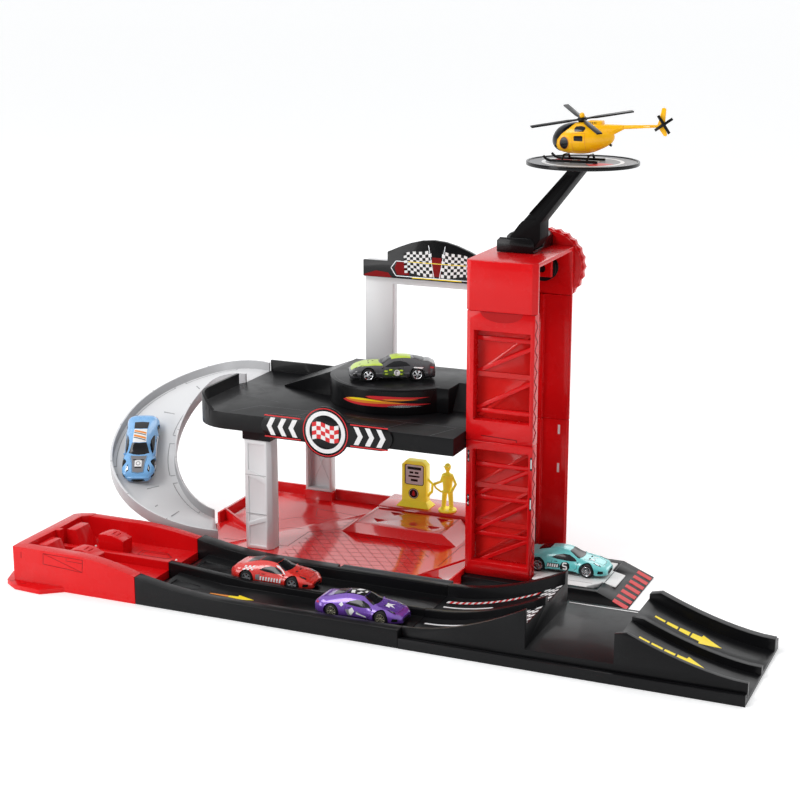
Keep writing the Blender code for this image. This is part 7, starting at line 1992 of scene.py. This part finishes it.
class CarShape:
    """Skin of a toy car: rings of twelve points at the stations, smoothly joined along and around."""

    length: float = 0.074
    width: float = 0.031
    low: float = 0.0022
    height: float = 0.0185
    last: int = 11

    def __init__(self, stations: Sequence[tuple[float, ...]], plan: dict[str, Outline], seam_x: float,
                 mirror_x: float) -> None:
        """Work out the rings of the stations.

        Args:
            stations: share of the length from the tail, then half width, height and roof as shares.
            plan: outlines of the glass, the roof and the bonnet, in millimetres.
            seam_x: start of the bonnet's seam, in millimetres.
            mirror_x: place of the mirrors, in millimetres.
        """
        self.shares = np.array([row[0] for row in stations])
        self.rings = np.array([self.ring(*row[1:]) for row in stations])
        self.plan = plan
        self.seam_x = seam_x
        self.mirror_x = mirror_x

    def ring(self, wide: float, tall: float, narrow: float) -> Outline:
        """Cross section as Y and Z, from the right sill over the roof to the left sill."""
        half = self.width / 2 * wide
        roof = self.low + self.height * tall
        belt = min(self.low + (roof - self.low) * min(0.62, 0.34 / tall), self.low + self.height * 0.52)
        right = [(-half * 0.82, self.low), (-half * 0.97, self.low + (belt - self.low) * 0.30), (-half, belt),
                 (-half * (0.55 + 0.40 * narrow), belt + (roof - belt) * 0.55),
                 (-half * narrow * 0.80, roof - (roof - belt) * 0.10), (-half * narrow * 0.45, roof)]
        return right + [(-y, z) for y, z in reversed(right)]

    def at(self, x: np.ndarray, t: np.ndarray) -> np.ndarray:
        """Point at a place along the car and a place round its ring.

        Args:
            x: metres from the middle, forwards.
            t: 0 at the right sill, 11 at the left sill.

        Returns:
            Points in the car's own frame.
        """
        share = np.clip(x / self.length + 0.5, 0.0, 1.0)
        rings = curve(share, self.shares, self.rings)
        slopes = np.gradient(rings, axis=1)
        t = np.clip(t, 0, self.last)
        i = np.clip(np.floor(t).astype(int), 0, self.last - 1)
        s = (t - i)[:, None]
        rows = np.arange(len(t))
        first, second = rings[rows, i], rings[rows, i + 1]
        out, into = slopes[rows, i], slopes[rows, i + 1]
        spot = ((2 * s**3 - 3 * s**2 + 1) * first + (s**3 - 2 * s**2 + s) * out
                + (3 * s**2 - 2 * s**3) * second + (s**3 - s**2) * into)
        return np.column_stack([x, spot])

    def lifted(self, x: np.ndarray, t: np.ndarray, height: np.ndarray) -> np.ndarray:
        """Point that stands off the skin along its normal."""
        step = 1e-4
        along = self.at(np.clip(x + step, -0.0369, 0.0369), t) - self.at(np.clip(x - step, -0.0369, 0.0369),
                                                                         t)
        around = self.at(x, np.clip(t + 0.01, 0, self.last)) - self.at(x, np.clip(t - 0.01, 0, self.last))
        normal = np.cross(around, along)
        normal /= np.maximum(np.linalg.norm(normal, axis=1, keepdims=True), 1e-12)
        spot = self.at(x, t)
        from_core = spot - np.column_stack([x, np.zeros_like(x), np.full_like(x, 0.008)])
        outward = np.where((normal * from_core).sum(1) < 0, -1.0, 1.0)
        return spot + normal * outward[:, None] * height[:, None]

    def solved(self, x: np.ndarray, wanted: np.ndarray, axis: int, low_t: float, high_t: float) -> np.ndarray:
        """Place round the ring where a coordinate has a wanted value, from a table of 41 places.

        Args:
            x: place along the car.
            wanted: value of the coordinate.
            axis: 1 for Y, 2 for Z.
            low_t: start of the search, where the coordinate is least.
            high_t: its end.

        Returns:
            Places round the ring.
        """
        table = np.linspace(low_t, high_t, 41)
        values = np.stack([self.at(x, np.full(len(x), t))[:, axis] for t in table], axis=1)
        values = np.maximum.accumulate(values, axis=1)
        out = np.empty(len(x))
        for k in range(len(x)):
            out[k] = np.interp(wanted[k], values[k], table)
        return out


SPORT = CarShape(SPORT_STATIONS, {
    "side_glass": [(-9.8, 13.8), (-6.0, 16.0), (0.0, 17.3), (5.0, 17.0), (9.6, 14.9), (13.0, 12.6),
                   (4.0, 12.5), (-4.0, 13.0)],
    "windscreen": [(4.6, -6.6), (5.3, 0.0), (4.6, 6.6), (13.6, 9.6), (15.4, 5.0), (15.9, 0.0), (15.4, -5.0),
                   (13.6, -9.6)],
    "rear_glass": [(-23.0, -6.8), (-23.6, 0.0), (-23.0, 6.8), (-13.0, 6.2), (-12.4, 0.0), (-13.0, -6.2)],
    "roof": [(-12.0, -6.0), (-11.5, 0.0), (-12.0, 6.0), (4.2, 6.3), (4.9, 0.0), (4.2, -6.3)],
    "bonnet": [(16.6, -7.4), (17.1, 0.0), (16.6, 7.4), (24.0, 5.8), (33.0, 4.9), (33.8, 0.0), (33.0, -4.9),
               (24.0, -5.8)],
}, 17.2, 12.8)
COUPE = CarShape(COUPE_STATIONS, {
    "side_glass": [(-15.5, 13.6), (-12.0, 16.2), (-7.0, 17.4), (-1.0, 16.9), (4.0, 14.6), (7.0, 12.6),
                   (-2.0, 12.6)],
    "windscreen": [(2.2, -6.6), (2.9, 0.0), (2.2, 6.6), (9.2, 9.4), (10.6, 5.0), (11.0, 0.0), (10.6, -5.0),
                   (9.2, -9.4)],
    "rear_glass": [(-27.5, -7.4), (-28.3, 0.0), (-27.5, 7.4), (-19.0, 6.4), (-18.4, 0.0), (-19.0, -6.4)],
    "roof": [(-16.0, -7.6), (-16.4, 0.0), (-16.0, 7.6), (1.0, 7.8), (2.0, 0.0), (1.0, -7.8)],
    "bonnet": [(8.6, -11.2), (11.6, -6.0), (12.0, 0.0), (11.6, 6.0), (8.6, 11.2), (22.0, 11.8), (30.0, 10.2),
               (36.0, 7.0), (36.6, 0.0), (36.0, -7.0), (30.0, -10.2), (22.0, -11.8)],
}, 12.5, 9.0)


@dataclass(frozen=True)
class Livery:
    """Colours, shape and pattern of one toy car."""

    label: str
    shell: Plastic
    shape: CarShape
    roof: Plastic
    bonnet: Plastic
    accent: Plastic
    second: Plastic
    hub: Plastic
    spokes: int = 5
    digit: tuple[str, ...] = ()
    art: str = "stripes"


DIGIT_BARS = {
    "top": ((0.0, 1.0), (1.0, 1.0)), "middle": ((0.0, 0.5), (1.0, 0.5)), "foot": ((0.0, 0.0), (1.0, 0.0)),
    "upper_left": ((0.0, 0.5), (0.0, 1.0)), "upper_right": ((1.0, 0.5), (1.0, 1.0)),
    "lower_left": ((0.0, 0.0), (0.0, 0.5)), "lower_right": ((1.0, 0.0), (1.0, 0.5)),
}


def slants(starts: Sequence[float], wide: float, low: float, high: float, lean: float) -> list[Outline]:
    """Leaning bars of the same size.

    Args:
        starts: first coordinate of each bar's low corner.
        wide: width of a bar.
        low: second coordinate of its foot.
        high: second coordinate of its top.
        lean: how far its top is along from its foot.

    Returns:
        One outline for each bar.
    """
    return [[(u, low), (u + wide, low), (u + wide + lean, high), (u + lean, high)] for u in starts]


# Marks of each pattern: side or top, name, outlines in millimetres, part of the livery or finish, height
ART = {
    "flashes": (
        ("top", "roof_marks", [[(-8.0, -5.0), (-4.5, -5.0), (-6.5, 0.5), (-9.5, 0.5)],
                               [(-3.0, -5.2), (-1.0, -5.2), (1.2, -1.0), (-0.8, -1.0)],
                               [(-6.0, 1.2), (-2.0, 1.2), (0.5, 4.8), (-4.5, 4.8)],
                               [(1.6, 0.0), (3.6, 0.0), (3.6, 3.6), (2.2, 3.6)]], "accent", 0.20),
        ("top", "bonnet_marks", [[(21.0, -3.8), (25.5, -5.0), (24.5, -2.0), (29.0, -2.6), (25.0, 0.4),
                                  (27.0, 3.4), (23.0, 1.4), (20.5, 3.0), (21.6, -0.4)]], "accent", 0.20),
        ("side", "side_marks", [[(-6.0, 9.6), (-3.4, 11.6), (-1.0, 9.0), (-3.6, 5.4), (-5.2, 6.4)],
                                [(0.6, 8.4), (9.0, 6.2), (9.2, 5.4), (0.6, 7.2)],
                                [(-15.0, 12.6), (-12.6, 14.6), (-11.0, 12.6), (-12.6, 11.2)]], "accent",
                                0.20),
        ("side", "side_shade", [[(-9.0, 9.4), (-6.6, 9.9), (-4.0, 5.2), (-6.4, 5.0)],
                                [(-0.4, 9.4), (1.4, 9.2), (9.4, 5.2), (7.6, 5.0)]], "second", 0.18)),
    "dashes": (
        ("side", "fender_marks", chequers((-25.0, 12.0), (9.5, 0.8), (1.5, 3.4), 5, 3), "accent", 0.20),
        ("side", "door_dashes", slants(np.arange(-8.8, 10.0, 2.6), 1.5, 5.6, 8.9, 0.6), "accent", 0.20),
        ("side", "pillar", [[(4.0, 18.2), (6.6, 17.9), (14.4, 12.9), (13.2, 12.8), (9.8, 15.2), (5.4, 17.3)]],
         "accent", 0.20),
        ("side", "flank_shade", [[(-12.5, 9.8), (-8.6, 10.4), (-9.4, 5.2), (-12.6, 6.0)]], "second", 0.12)),
    "number": (
        ("side", "number_ground", [[(-1.6, 4.6), (5.4, 4.4), (6.8, 7.0), (6.4, 10.2), (3.8, 11.6),
                                    (-0.2, 10.8), (-2.2, 7.6)]], "second", 0.14),
        ("side", "door_shade", [[(-13.6, 5.7), (-2.6, 5.7), (-2.2, 9.4), (-13.0, 9.2)]], "second", 0.10),
        ("side", "door_dashes", slants(np.arange(-13.0, -3.0, 2.0), 1.3, 6.2, 8.8, 0.4), "accent", 0.20),
        ("top", "bonnet_marks", [bar((22.0, -5.4), (26.0, -2.0), 1.1), bar((22.0, -2.0), (26.0, -5.4), 1.1),
                                 bar((23.0, 1.4), (26.5, 4.6), 1.0), bar((23.5, 0.0), (25.5, 0.4), 0.9)],
         "accent", 0.14)),
    "stripes": (
        ("top", "roof_stripes", slants((-10.5, -4.4), 2.2, -5.6, 5.6, 3.4), "second", 0.20),
        ("top", "roof_thin_stripes", slants((-7.4, -1.4), 0.9, -5.6, 5.6, 3.4), Finish.PRINT_BLACK, 0.20),
        ("top", "bonnet_square", [rectangle(21.4, -3.2, 28.0, 3.2)], "accent", 0.20),
        ("top", "bonnet_ring", ring_band((24.8, 0.0), 1.5, 2.1, 20), Finish.PRINT_GREY, 0.26),
        ("top", "bonnet_slot", [rectangle(28.6, -3.0, 29.6, 3.0)], Finish.PRINT_BLACK, 0.20),
        ("side", "flank_stripe", [[(-12.0, 8.0), (12.6, 6.6), (12.8, 8.6), (-12.0, 10.0)]], "accent", 0.14)),
    "roundel": (
        ("side", "door_ground", [[(-9.5, 5.0), (-2.0, 4.6), (6.5, 4.8), (9.5, 6.6), (8.0, 10.0), (1.0, 11.4),
                                  (-6.0, 11.0), (-10.0, 8.4)]], "second", 0.14),
        ("side", "door_flecks", [[(x, z), (x + 2.6, z + 0.3), (x + 1.8, z + 1.4), (x - 0.6, z + 1.1)] for x,
                                 z in
                                 ((-8.0, 6.0), (-5.4, 8.8), (-2.6, 5.6), (4.8, 6.2), (5.2, 8.6), (-8.4, 9.0),
                                  (1.0, 9.6))], "bonnet", 0.18),
        ("side", "roundel", ring_band((-3.6, 7.6), 0.05, 2.7, 24), "accent", 0.20),
        ("side", "fender_flash", [[(-27.0, 12.0), (-19.0, 12.6), (-18.0, 11.8), (-25.6, 10.8)]], "accent",
         0.20),
        ("side", "bright_sill", [[(-13.0, 3.4), (12.4, 3.3), (12.0, 4.3), (-12.6, 4.4)]], Finish.HUB, 0.20),
        ("top", "bonnet_dots", ring_band((28.5, 2.6), 0.05, 0.8, 10) + ring_band((17.0, -2.6), 0.05, 1.0, 10),
         Finish.PRINT_BLACK, 0.22)),
}


@dataclass
class ToyCar(SubAssembly):
    """Toy car: painted shell, glass, lamps, pattern, tyres and spoked hubs, all in the car's own frame."""

    livery: Livery | None = None
    wheel_radius: float = 0.0058
    wheelbase: float = 0.043
    wheel_width: float = 0.0055
    arch: float = 0.0069
    wheel_outer: float = 0.0149
    place: Matrix = field(default_factory=Matrix)

    def build(self) -> None:
        """All pieces of the car."""
        self.body = f"{self.livery.label}_car"
        self.slot = f"{self.livery.label}_paint"
        self.find_place()
        self.shell()
        self.floor_pan()
        self.glass()
        self.lamps()
        self.seams()
        self.pattern()
        self.mirrors()
        for which in ("front", "rear"):
            self.wheels(which)

    def find_place(self) -> None:
        """Frame of the car: X runs from the rear hub to the front hub, Y along the wheels' joint axis."""
        joints = {joint["name"]: joint for joint in frame["joints"]}
        front, rear = (joints[f"{self.livery.label}_{w}_wheels_roll"] for w in ("front", "rear"))
        ahead = (Vector(front["pos_m"]) - Vector(rear["pos_m"])).normalized()
        across = Vector(front["axis"]).normalized()
        up = ahead.cross(across)
        if up.z < 0:
            across, up = -across, -up
        middle = (Vector(front["pos_m"]) + Vector(rear["pos_m"])) / 2 - up * self.wheel_radius
        turn = Matrix((ahead, across, up)).transposed()
        self.place = Matrix.Translation(middle) @ turn.to_4x4()

    def put(self, points: np.ndarray) -> np.ndarray:
        """Carry points from the car's own frame to the set."""
        m = np.array(self.place)
        return points @ m[:3, :3].T + m[:3, 3]

    def carried(self, surface: Surface) -> Surface:
        """Surface of the car's own frame, carried to the set."""
        return lambda plan, height: self.put(surface(plan, height))

    def side(self, sign: int) -> Surface:
        """One side of the car: the plan is X and Z in the car's own frame.

        Args:
            sign: -1 for the right side, +1 for the left.

        Returns:
            Function from plan and height to points.
        """
        shape = self.livery.shape

        def place(plan: np.ndarray, height: np.ndarray) -> np.ndarray:
            """Put the plan on the side."""
            t = shape.solved(plan[:, 0], plan[:, 1], 2, 0.0, 5.0)
            points = shape.lifted(plan[:, 0], t, height)
            if sign > 0:
                points = points * np.array([1, -1, 1])
            return self.put(points)

        return place

    def top(self) -> Surface:
        """Top of the car: the plan is X and Y in the car's own frame."""
        shape = self.livery.shape

        def place(plan: np.ndarray, height: np.ndarray) -> np.ndarray:
            """Put the plan on the top."""
            t = shape.solved(plan[:, 0], plan[:, 1], 1, 2.0, 9.0)
            return self.put(shape.lifted(plan[:, 0], t, height))

        return place

    def on_sides(self, name: str, outlines: Sequence[Outline], finish: Plastic,
                 thick: float = 0.00014) -> None:
        """Same marks on both sides, outlines in millimetres."""
        for label, sign in (("right", -1), ("left", 1)):
            self.prints(f"{self.livery.label}_{name}_{label}", in_mm(outlines), self.side(sign), finish,
                        step=0.0016, cross=0.0016, thick=thick)

    def on_top(self, name: str, outlines: Sequence[Outline], finish: Plastic, thick: float = 0.00014) -> None:
        """Marks on the top, outlines in millimetres."""
        self.prints(f"{self.livery.label}_{name}", in_mm(outlines), self.top(), finish, step=0.0016,
                    cross=0.0016, thick=thick)

    def shell(self) -> None:
        """Skin of the car with its ends rolled in and the wheel arches cut out."""
        shape = self.livery.shape
        x = np.linspace(-shape.length / 2, shape.length / 2, 90)
        t = np.linspace(0, shape.last, 67)
        grid_x, grid_t = np.meshgrid(x, t, indexing="ij")
        rings = shape.at(grid_x.ravel(), grid_t.ravel()).reshape(90, 67, 3)
        tail, nose = [], []
        for pull, push in ((0.985, 0.0003), (0.95, 0.0006), (0.86, 0.0009)):
            for end, rows, sign in ((tail, rings[0], -1), (nose, rings[-1], 1)):
                centre = rows.mean(0)
                end.append(centre + (rows - centre) * pull + np.array([sign * push, 0, 0]))
        rings = np.concatenate([np.array(tail[::-1]), rings, np.array(nose)])
        piece = closed_sweep(f"{self.livery.label}_shell", rings, 40.0)
        cutters = []
        inner = self.wheel_outer - self.wheel_width - 0.0006
        for hub_x in (-self.wheelbase / 2, self.wheelbase / 2):
            for sign in (-1, 1):
                drum = turned("arch", ((self.arch, sign * inner), (self.arch, sign * 0.030)), 40)
                drum.data.transform(Matrix.Translation((hub_x, 0, self.wheel_radius)))
                cutters.append(drum)
            rod = turned("rod", ((0.0016, -0.014), (0.0016, 0.014)), 12)
            rod.data.transform(Matrix.Translation((hub_x, 0, self.wheel_radius)))
            cutters.append(rod)
        cut_away(piece, joined("arches", cutters))
        piece.data.transform(self.place)
        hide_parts(f"{self.livery.label}_car_body")
        self.added(piece, self.livery.shell)

    def floor_pan(self) -> None:
        """Black floor under the shell, a splitter at the nose and a diffuser at the tail."""
        plan = [(-35.5, -9.0), (-30.0, -11.8), (-29.0, -8.6), (-14.5, -8.6), (-13.5, -12.4), (13.5, -12.4),
                (14.5, -8.6), (29.0, -8.6), (30.0, -11.6), (36.0, -8.5)]
        plan += [(x, -y) for x, y in reversed(plan)]
        pan = prism("pan", in_mm([plan])[0], 0.00185, 0.0026)
        lip = [(30.5, -13.0), (35.0, -11.2), (37.6, -8.0), (38.3, 0.0), (37.6, 8.0), (35.0, 11.2),
               (30.5, 13.0), (30.5, 10.0), (30.5, -10.0)]
        splitter = bevel(prism("splitter", in_mm([lip])[0], 0.0026, 0.0034), 0.0002)
        tail = [(-36.0, -10.0), (-37.8, -8.5), (-37.8, 8.5), (-36.0, 10.0)]
        diffuser = bevel(prism("diffuser", in_mm([tail])[0], 0.0026, 0.0046), 0.0003)
        whole = joined(f"{self.livery.label}_floor", [pan, splitter, diffuser])
        whole.data.transform(self.place)
        self.added(whole, Finish.BLACK)

    def glass(self) -> None:
        """Side windows, windscreen and rear window."""
        plan = self.livery.shape.plan
        self.on_sides("side_glass", [plan["side_glass"]], Finish.HELI_GLASS)
        for name in ("windscreen", "rear_glass"):
            self.on_top(name, [plan[name]], Finish.HELI_GLASS)

    def lamps(self) -> None:
        """Head and tail lamps, nose intakes, mouth and tail panel."""
        for label, sign in (("right", -1), ("left", 1)):
            lamp = [[(25.5, sign * 9.6), (29.0, sign * 11.0), (33.2, sign * 10.4), (31.5, sign * 8.6)]]
            self.on_top(f"lamp_{label}", lamp, Finish.PRINT_BLACK)
            self.on_top(f"lamp_glint_{label}", [[(27.5, sign * 9.9), (31.0, sign * 10.4), (31.3, sign * 9.6),
                                                 (28.5, sign * 9.3)]],
                        Finish.HUB, 0.0002)
        self.on_sides("intake", [[(31.0, 5.0), (35.4, 4.9), (35.2, 7.0), (31.8, 7.6)]], Finish.PRINT_BLACK)
        self.on_sides("tail_lamp", [[(-36.3, 10.6), (-33.0, 11.2), (-33.0, 12.4), (-36.2, 11.9)]],
                      Finish.PRINT_RED)
        reach = self.livery.shape.length / 2 + 0.0009
        for name, sign, outlines, finish, thick, sink in (
                ("mouth", 1, [[(-6.5, 3.6), (6.5, 3.6), (5.3, 5.6), (-5.3, 5.6)]], Finish.PRINT_BLACK, 0.18,
                 0.9),
                ("tail_panel", -1, [[(-7.2, 8.2), (7.2, 8.2), (7.0, 9.8), (-7.0, 9.8)]], Finish.PRINT_BLACK,
                 0.18, 0.9),
                ("tail_lamps", -1, [rectangle(s * 5.2 - 1.3, 8.5, s * 5.2 + 1.3, 9.5) for s in (-1, 1)],
                 Finish.PRINT_RED, 0.4, 0.8)):
            self.prints(f"{self.livery.label}_{name}", in_mm(outlines),
                        self.carried(flat_on(0, sign * reach, sign)),
                        finish, thick=thick * MM, sink=sink * MM)

    def seams(self) -> None:
        """Door and bonnet seams, and the sill."""
        door = bars([(-9.0, 12.2), (-9.6, 8.5), (-8.0, 4.6), (9.5, 4.2), (13.0, 7.5), (13.2, 12.0)], 0.22)
        self.on_sides("door_seam", door, Finish.PRINT_BLACK, 0.00008)
        self.on_sides("sill", [[(-13.5, 2.9), (13.0, 2.9), (12.4, 4.0), (-13.0, 3.8)]], Finish.PRINT_BLACK)
        self.on_sides("door_pull", [rectangle(-7.0, 10.8, -4.2, 11.3)], Finish.PRINT_BLACK, 0.0002)
        line: list[Outline] = []
        for sign in (1, -1):
            line += bars([(self.livery.shape.seam_x, sign * 8.0), (24.0, sign * 6.4), (33.5, sign * 5.4)],
                         0.22)
        line += bars([(33.5, 5.4), (34.2, 0.0), (33.5, -5.4)], 0.22)
        self.on_top("bonnet_seam", line, Finish.PRINT_BLACK, 0.00008)
        vents = [[(20.5, s * 2.0), (20.5, s * 5.0), (21.6, s * 4.6), (21.6, s * 2.0)] for s in (-1, 1)]
        self.on_top("bonnet_vents", vents, Finish.PRINT_BLACK, 0.00022)

    def pattern(self) -> None:
        """Roof and bonnet panels, side marks and the plain number."""
        car = self.livery
        self.on_top("roof", [car.shape.plan["roof"]], car.roof)
        if car.bonnet is not car.shell:
            self.on_top("bonnet", [car.shape.plan["bonnet"]], car.bonnet)
        for where, name, outlines, colour, thick in ART[car.art]:
            finish = getattr(car, colour) if isinstance(colour, str) else colour
            (self.on_top if where == "top" else self.on_sides)(name, outlines, finish, thick * MM)
        self.number()

    def number(self) -> None:
        """Plain number drawn with bars on both sides."""
        car = self.livery
        if not car.digit:
            return
        black = car.art == "roundel"
        corner, size = ((-4.6, 6.0), (2.0, 3.2)) if black else ((0.9, 5.4), (3.2, 5.0))
        strokes = []
        for part in car.digit:
            (a, b), (c, d) = DIGIT_BARS[part]
            strokes.append(bar((corner[0] + a * size[0], corner[1] + b * size[1]),
                               (corner[0] + c * size[0], corner[1] + d * size[1]), 0.7 if black else 1.1))
        self.on_sides("number", strokes, Finish.PRINT_BLACK if black else car.accent, 0.00026)

    def mirrors(self) -> None:
        """Two small door mirrors, each an egg whose radius is the root of what is left of the way squared."""
        x = self.livery.shape.mirror_x * MM
        pods = []
        for sign in (-1, 1):
            way = np.linspace(-0.98, 0.98, 11)
            path = np.column_stack([np.full(11, x), sign * (0.0136 + 0.0012 * way), 0.0126 + 0.0002 * way])
            pods.append(round_tube("mirror", path, 0.0009 * np.sqrt(1 - way * way), 12))
        whole = joined(f"{self.livery.label}_mirrors", pods)
        whole.data.transform(self.place)
        self.added(whole, self.livery.shell)

    def wheels(self, which: str) -> None:
        """Two tyres on their rod, and two spoked hubs, on one axle.

        Args:
            which: front or rear.
        """
        hub_x = self.wheelbase / 2 * (1 if which == "front" else -1)
        r, w = self.wheel_radius, self.wheel_width
        body = f"{self.livery.label}_{which}_axle"
        tyres = [turned("rod", ((0.0011, -0.0125), (0.0011, 0.0125)), 12)]
        hubs = []
        profile = [(0.66 * r, w * 0.44), (0.70 * r, w * 0.49), (0.86 * r, w * 0.5), (0.96 * r, w * 0.44),
                   (r, w * 0.30), (r, w * 0.12), (0.975 * r, w * 0.10), (0.975 * r, w * 0.02), (r, 0.0),
                   (r, -w * 0.30), (0.96 * r, -w * 0.44), (0.86 * r, -w * 0.5), (0.66 * r, -w * 0.44)]
        for sign in (-1, 1):
            shift = Matrix.Translation((0, sign * (self.wheel_outer - w / 2),
                                        0)) @ Matrix.Scale(sign, 4, (0, 1, 0))
            tyre = turned("tyre", profile, 44, True)
            tyre.data.transform(shift)
            tyres.append(tyre)
            for part in self.hub_parts():
                part.data.transform(shift)
                hubs.append(part)
        matrix = self.place @ Matrix.Translation((hub_x, 0, r))
        for name, parts, finish in (("tyres", tyres, Finish.TYRE), ("hubs", hubs, self.livery.hub)):
            whole = joined(f"{self.livery.label}_{which}_{name}", parts)
            tidy(whole, 35.0, 1e-8)
            whole.data.transform(matrix)
            if name == "tyres":
                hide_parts(f"{self.livery.label}_car_{which}_wheels")
            self.added(whole, finish, "tyre", body)

    def hub_parts(self) -> list[Piece]:
        """Bright lip, spokes and cap of one wheel, with its face towards +Y."""
        r, w = self.wheel_radius, self.wheel_width
        lip = turned("lip", [(0.60 * r, w * 0.30), (0.62 * r, w * 0.46), (0.67 * r, w * 0.50),
                             (0.71 * r, w * 0.47), (0.70 * r, w * 0.20), (0.60 * r, w * 0.20)], 40, True)
        cap = turned("cap", [(0.16 * r, w * 0.20), (0.16 * r, w * 0.44), (0.12 * r, w * 0.48),
                             (0.03 * r, w * 0.49)], 20)
        parts = [lip, cap]
        for k in range(self.livery.spokes):
            turn = 2 * math.pi * k / self.livery.spokes + 0.3
            wide = 0.16 * r if self.livery.spokes < 8 else 0.075 * r
            plan = [(0.10 * r, -wide * 0.6), (0.63 * r, -wide), (0.63 * r, wide), (0.10 * r, wide * 0.6)]
            spoke = bevel(prism("spoke", plan, w * 0.26, w * 0.43, 1), 0.00012, 1, 30)
            spoke.data.transform(Matrix.Rotation(turn, 4, "Y"))
            parts.append(spoke)
        return parts


def car_liveries() -> list[Livery]:
    """Colours and patterns of the five cars, with plain stripes, numbers and chequers."""
    coat = {"coat": 0.9, "flakes": 0.25, "bump": 0.05, "scuffs": 0.02, "dust": 0.0}
    purple = Plastic("Purple metallic paint", (0.165, 0.060, 0.42), 0.24, metallic=0.25, **coat)
    red = Plastic("Red car paint", (0.74, 0.030, 0.022), 0.24, **coat)
    teal = Plastic("Teal car paint", (0.13, 0.60, 0.60), 0.26, **coat)
    black = Plastic("Dark car paint", (0.045, 0.045, 0.050), 0.26, **coat)
    blue = Plastic("Light blue car paint", (0.17, 0.42, 0.76), 0.24, **coat)
    lime = Plastic("Yellow-green panel", (0.52, 0.72, 0.030), 0.28, coat=0.6, bump=0.05, scuffs=0.02,
                   dust=0.0)
    moss = Plastic("Mossy print", (0.050, 0.085, 0.022), 0.32, scuffs=0.02, dust=0.0)
    gold = Plastic("Dull gold hub", (0.42, 0.40, 0.30), 0.30, metallic=0.7, bump=0.05)
    return [
        Livery("purple", purple, SPORT, Finish.PRINT_BLACK, purple, Finish.PRINT_WHITE, Finish.PRINT_GREY,
               gold, 9, art="flashes"),
        Livery("red", red, SPORT, Finish.PRINT_BLACK, red, Finish.PRINT_WHITE, Finish.PRINT_GREY,
               Finish.PRINT_GREY, 5, art="dashes"),
        Livery("teal", teal, SPORT, teal, teal, Finish.PRINT_WHITE, Finish.PRINT_BLACK, Finish.HUB, 10,
               ("top", "upper_left", "middle", "lower_right", "foot"), "number"),
        Livery("green", black, COUPE, lime, lime, Finish.PRINT_WHITE, moss, Finish.HUB, 5,
               ("top", "upper_right", "lower_right"), "roundel"),
        Livery("blue", blue, SPORT, Finish.PRINT_WHITE, Finish.PRINT_GREY, Finish.PRINT_WHITE,
               Finish.PRINT_ORANGE, Finish.HUB, 5),
    ]


def main() -> None:
    """Build the set and the studio, and log how many pieces each group made."""
    logging.basicConfig(level=logging.INFO, format="%(message)s")
    Studio().build()
    groups: list[SubAssembly] = [Launcher(), Tracks(), GarageBase(), Columns(), ParkingDeck(), Arch(),
                                 SpiralRamp(), LiftTower(),
                                 Lift(), ExitRamp(), Helipad(), Helicopter(), FuelStop()]
    groups += [ToyCar(livery=livery) for livery in car_liveries()]
    for group in groups:
        group.build()
        LOG.info("%s: %d pieces", type(group).__name__, len(group.made))


if __name__ == "__main__":
    main()
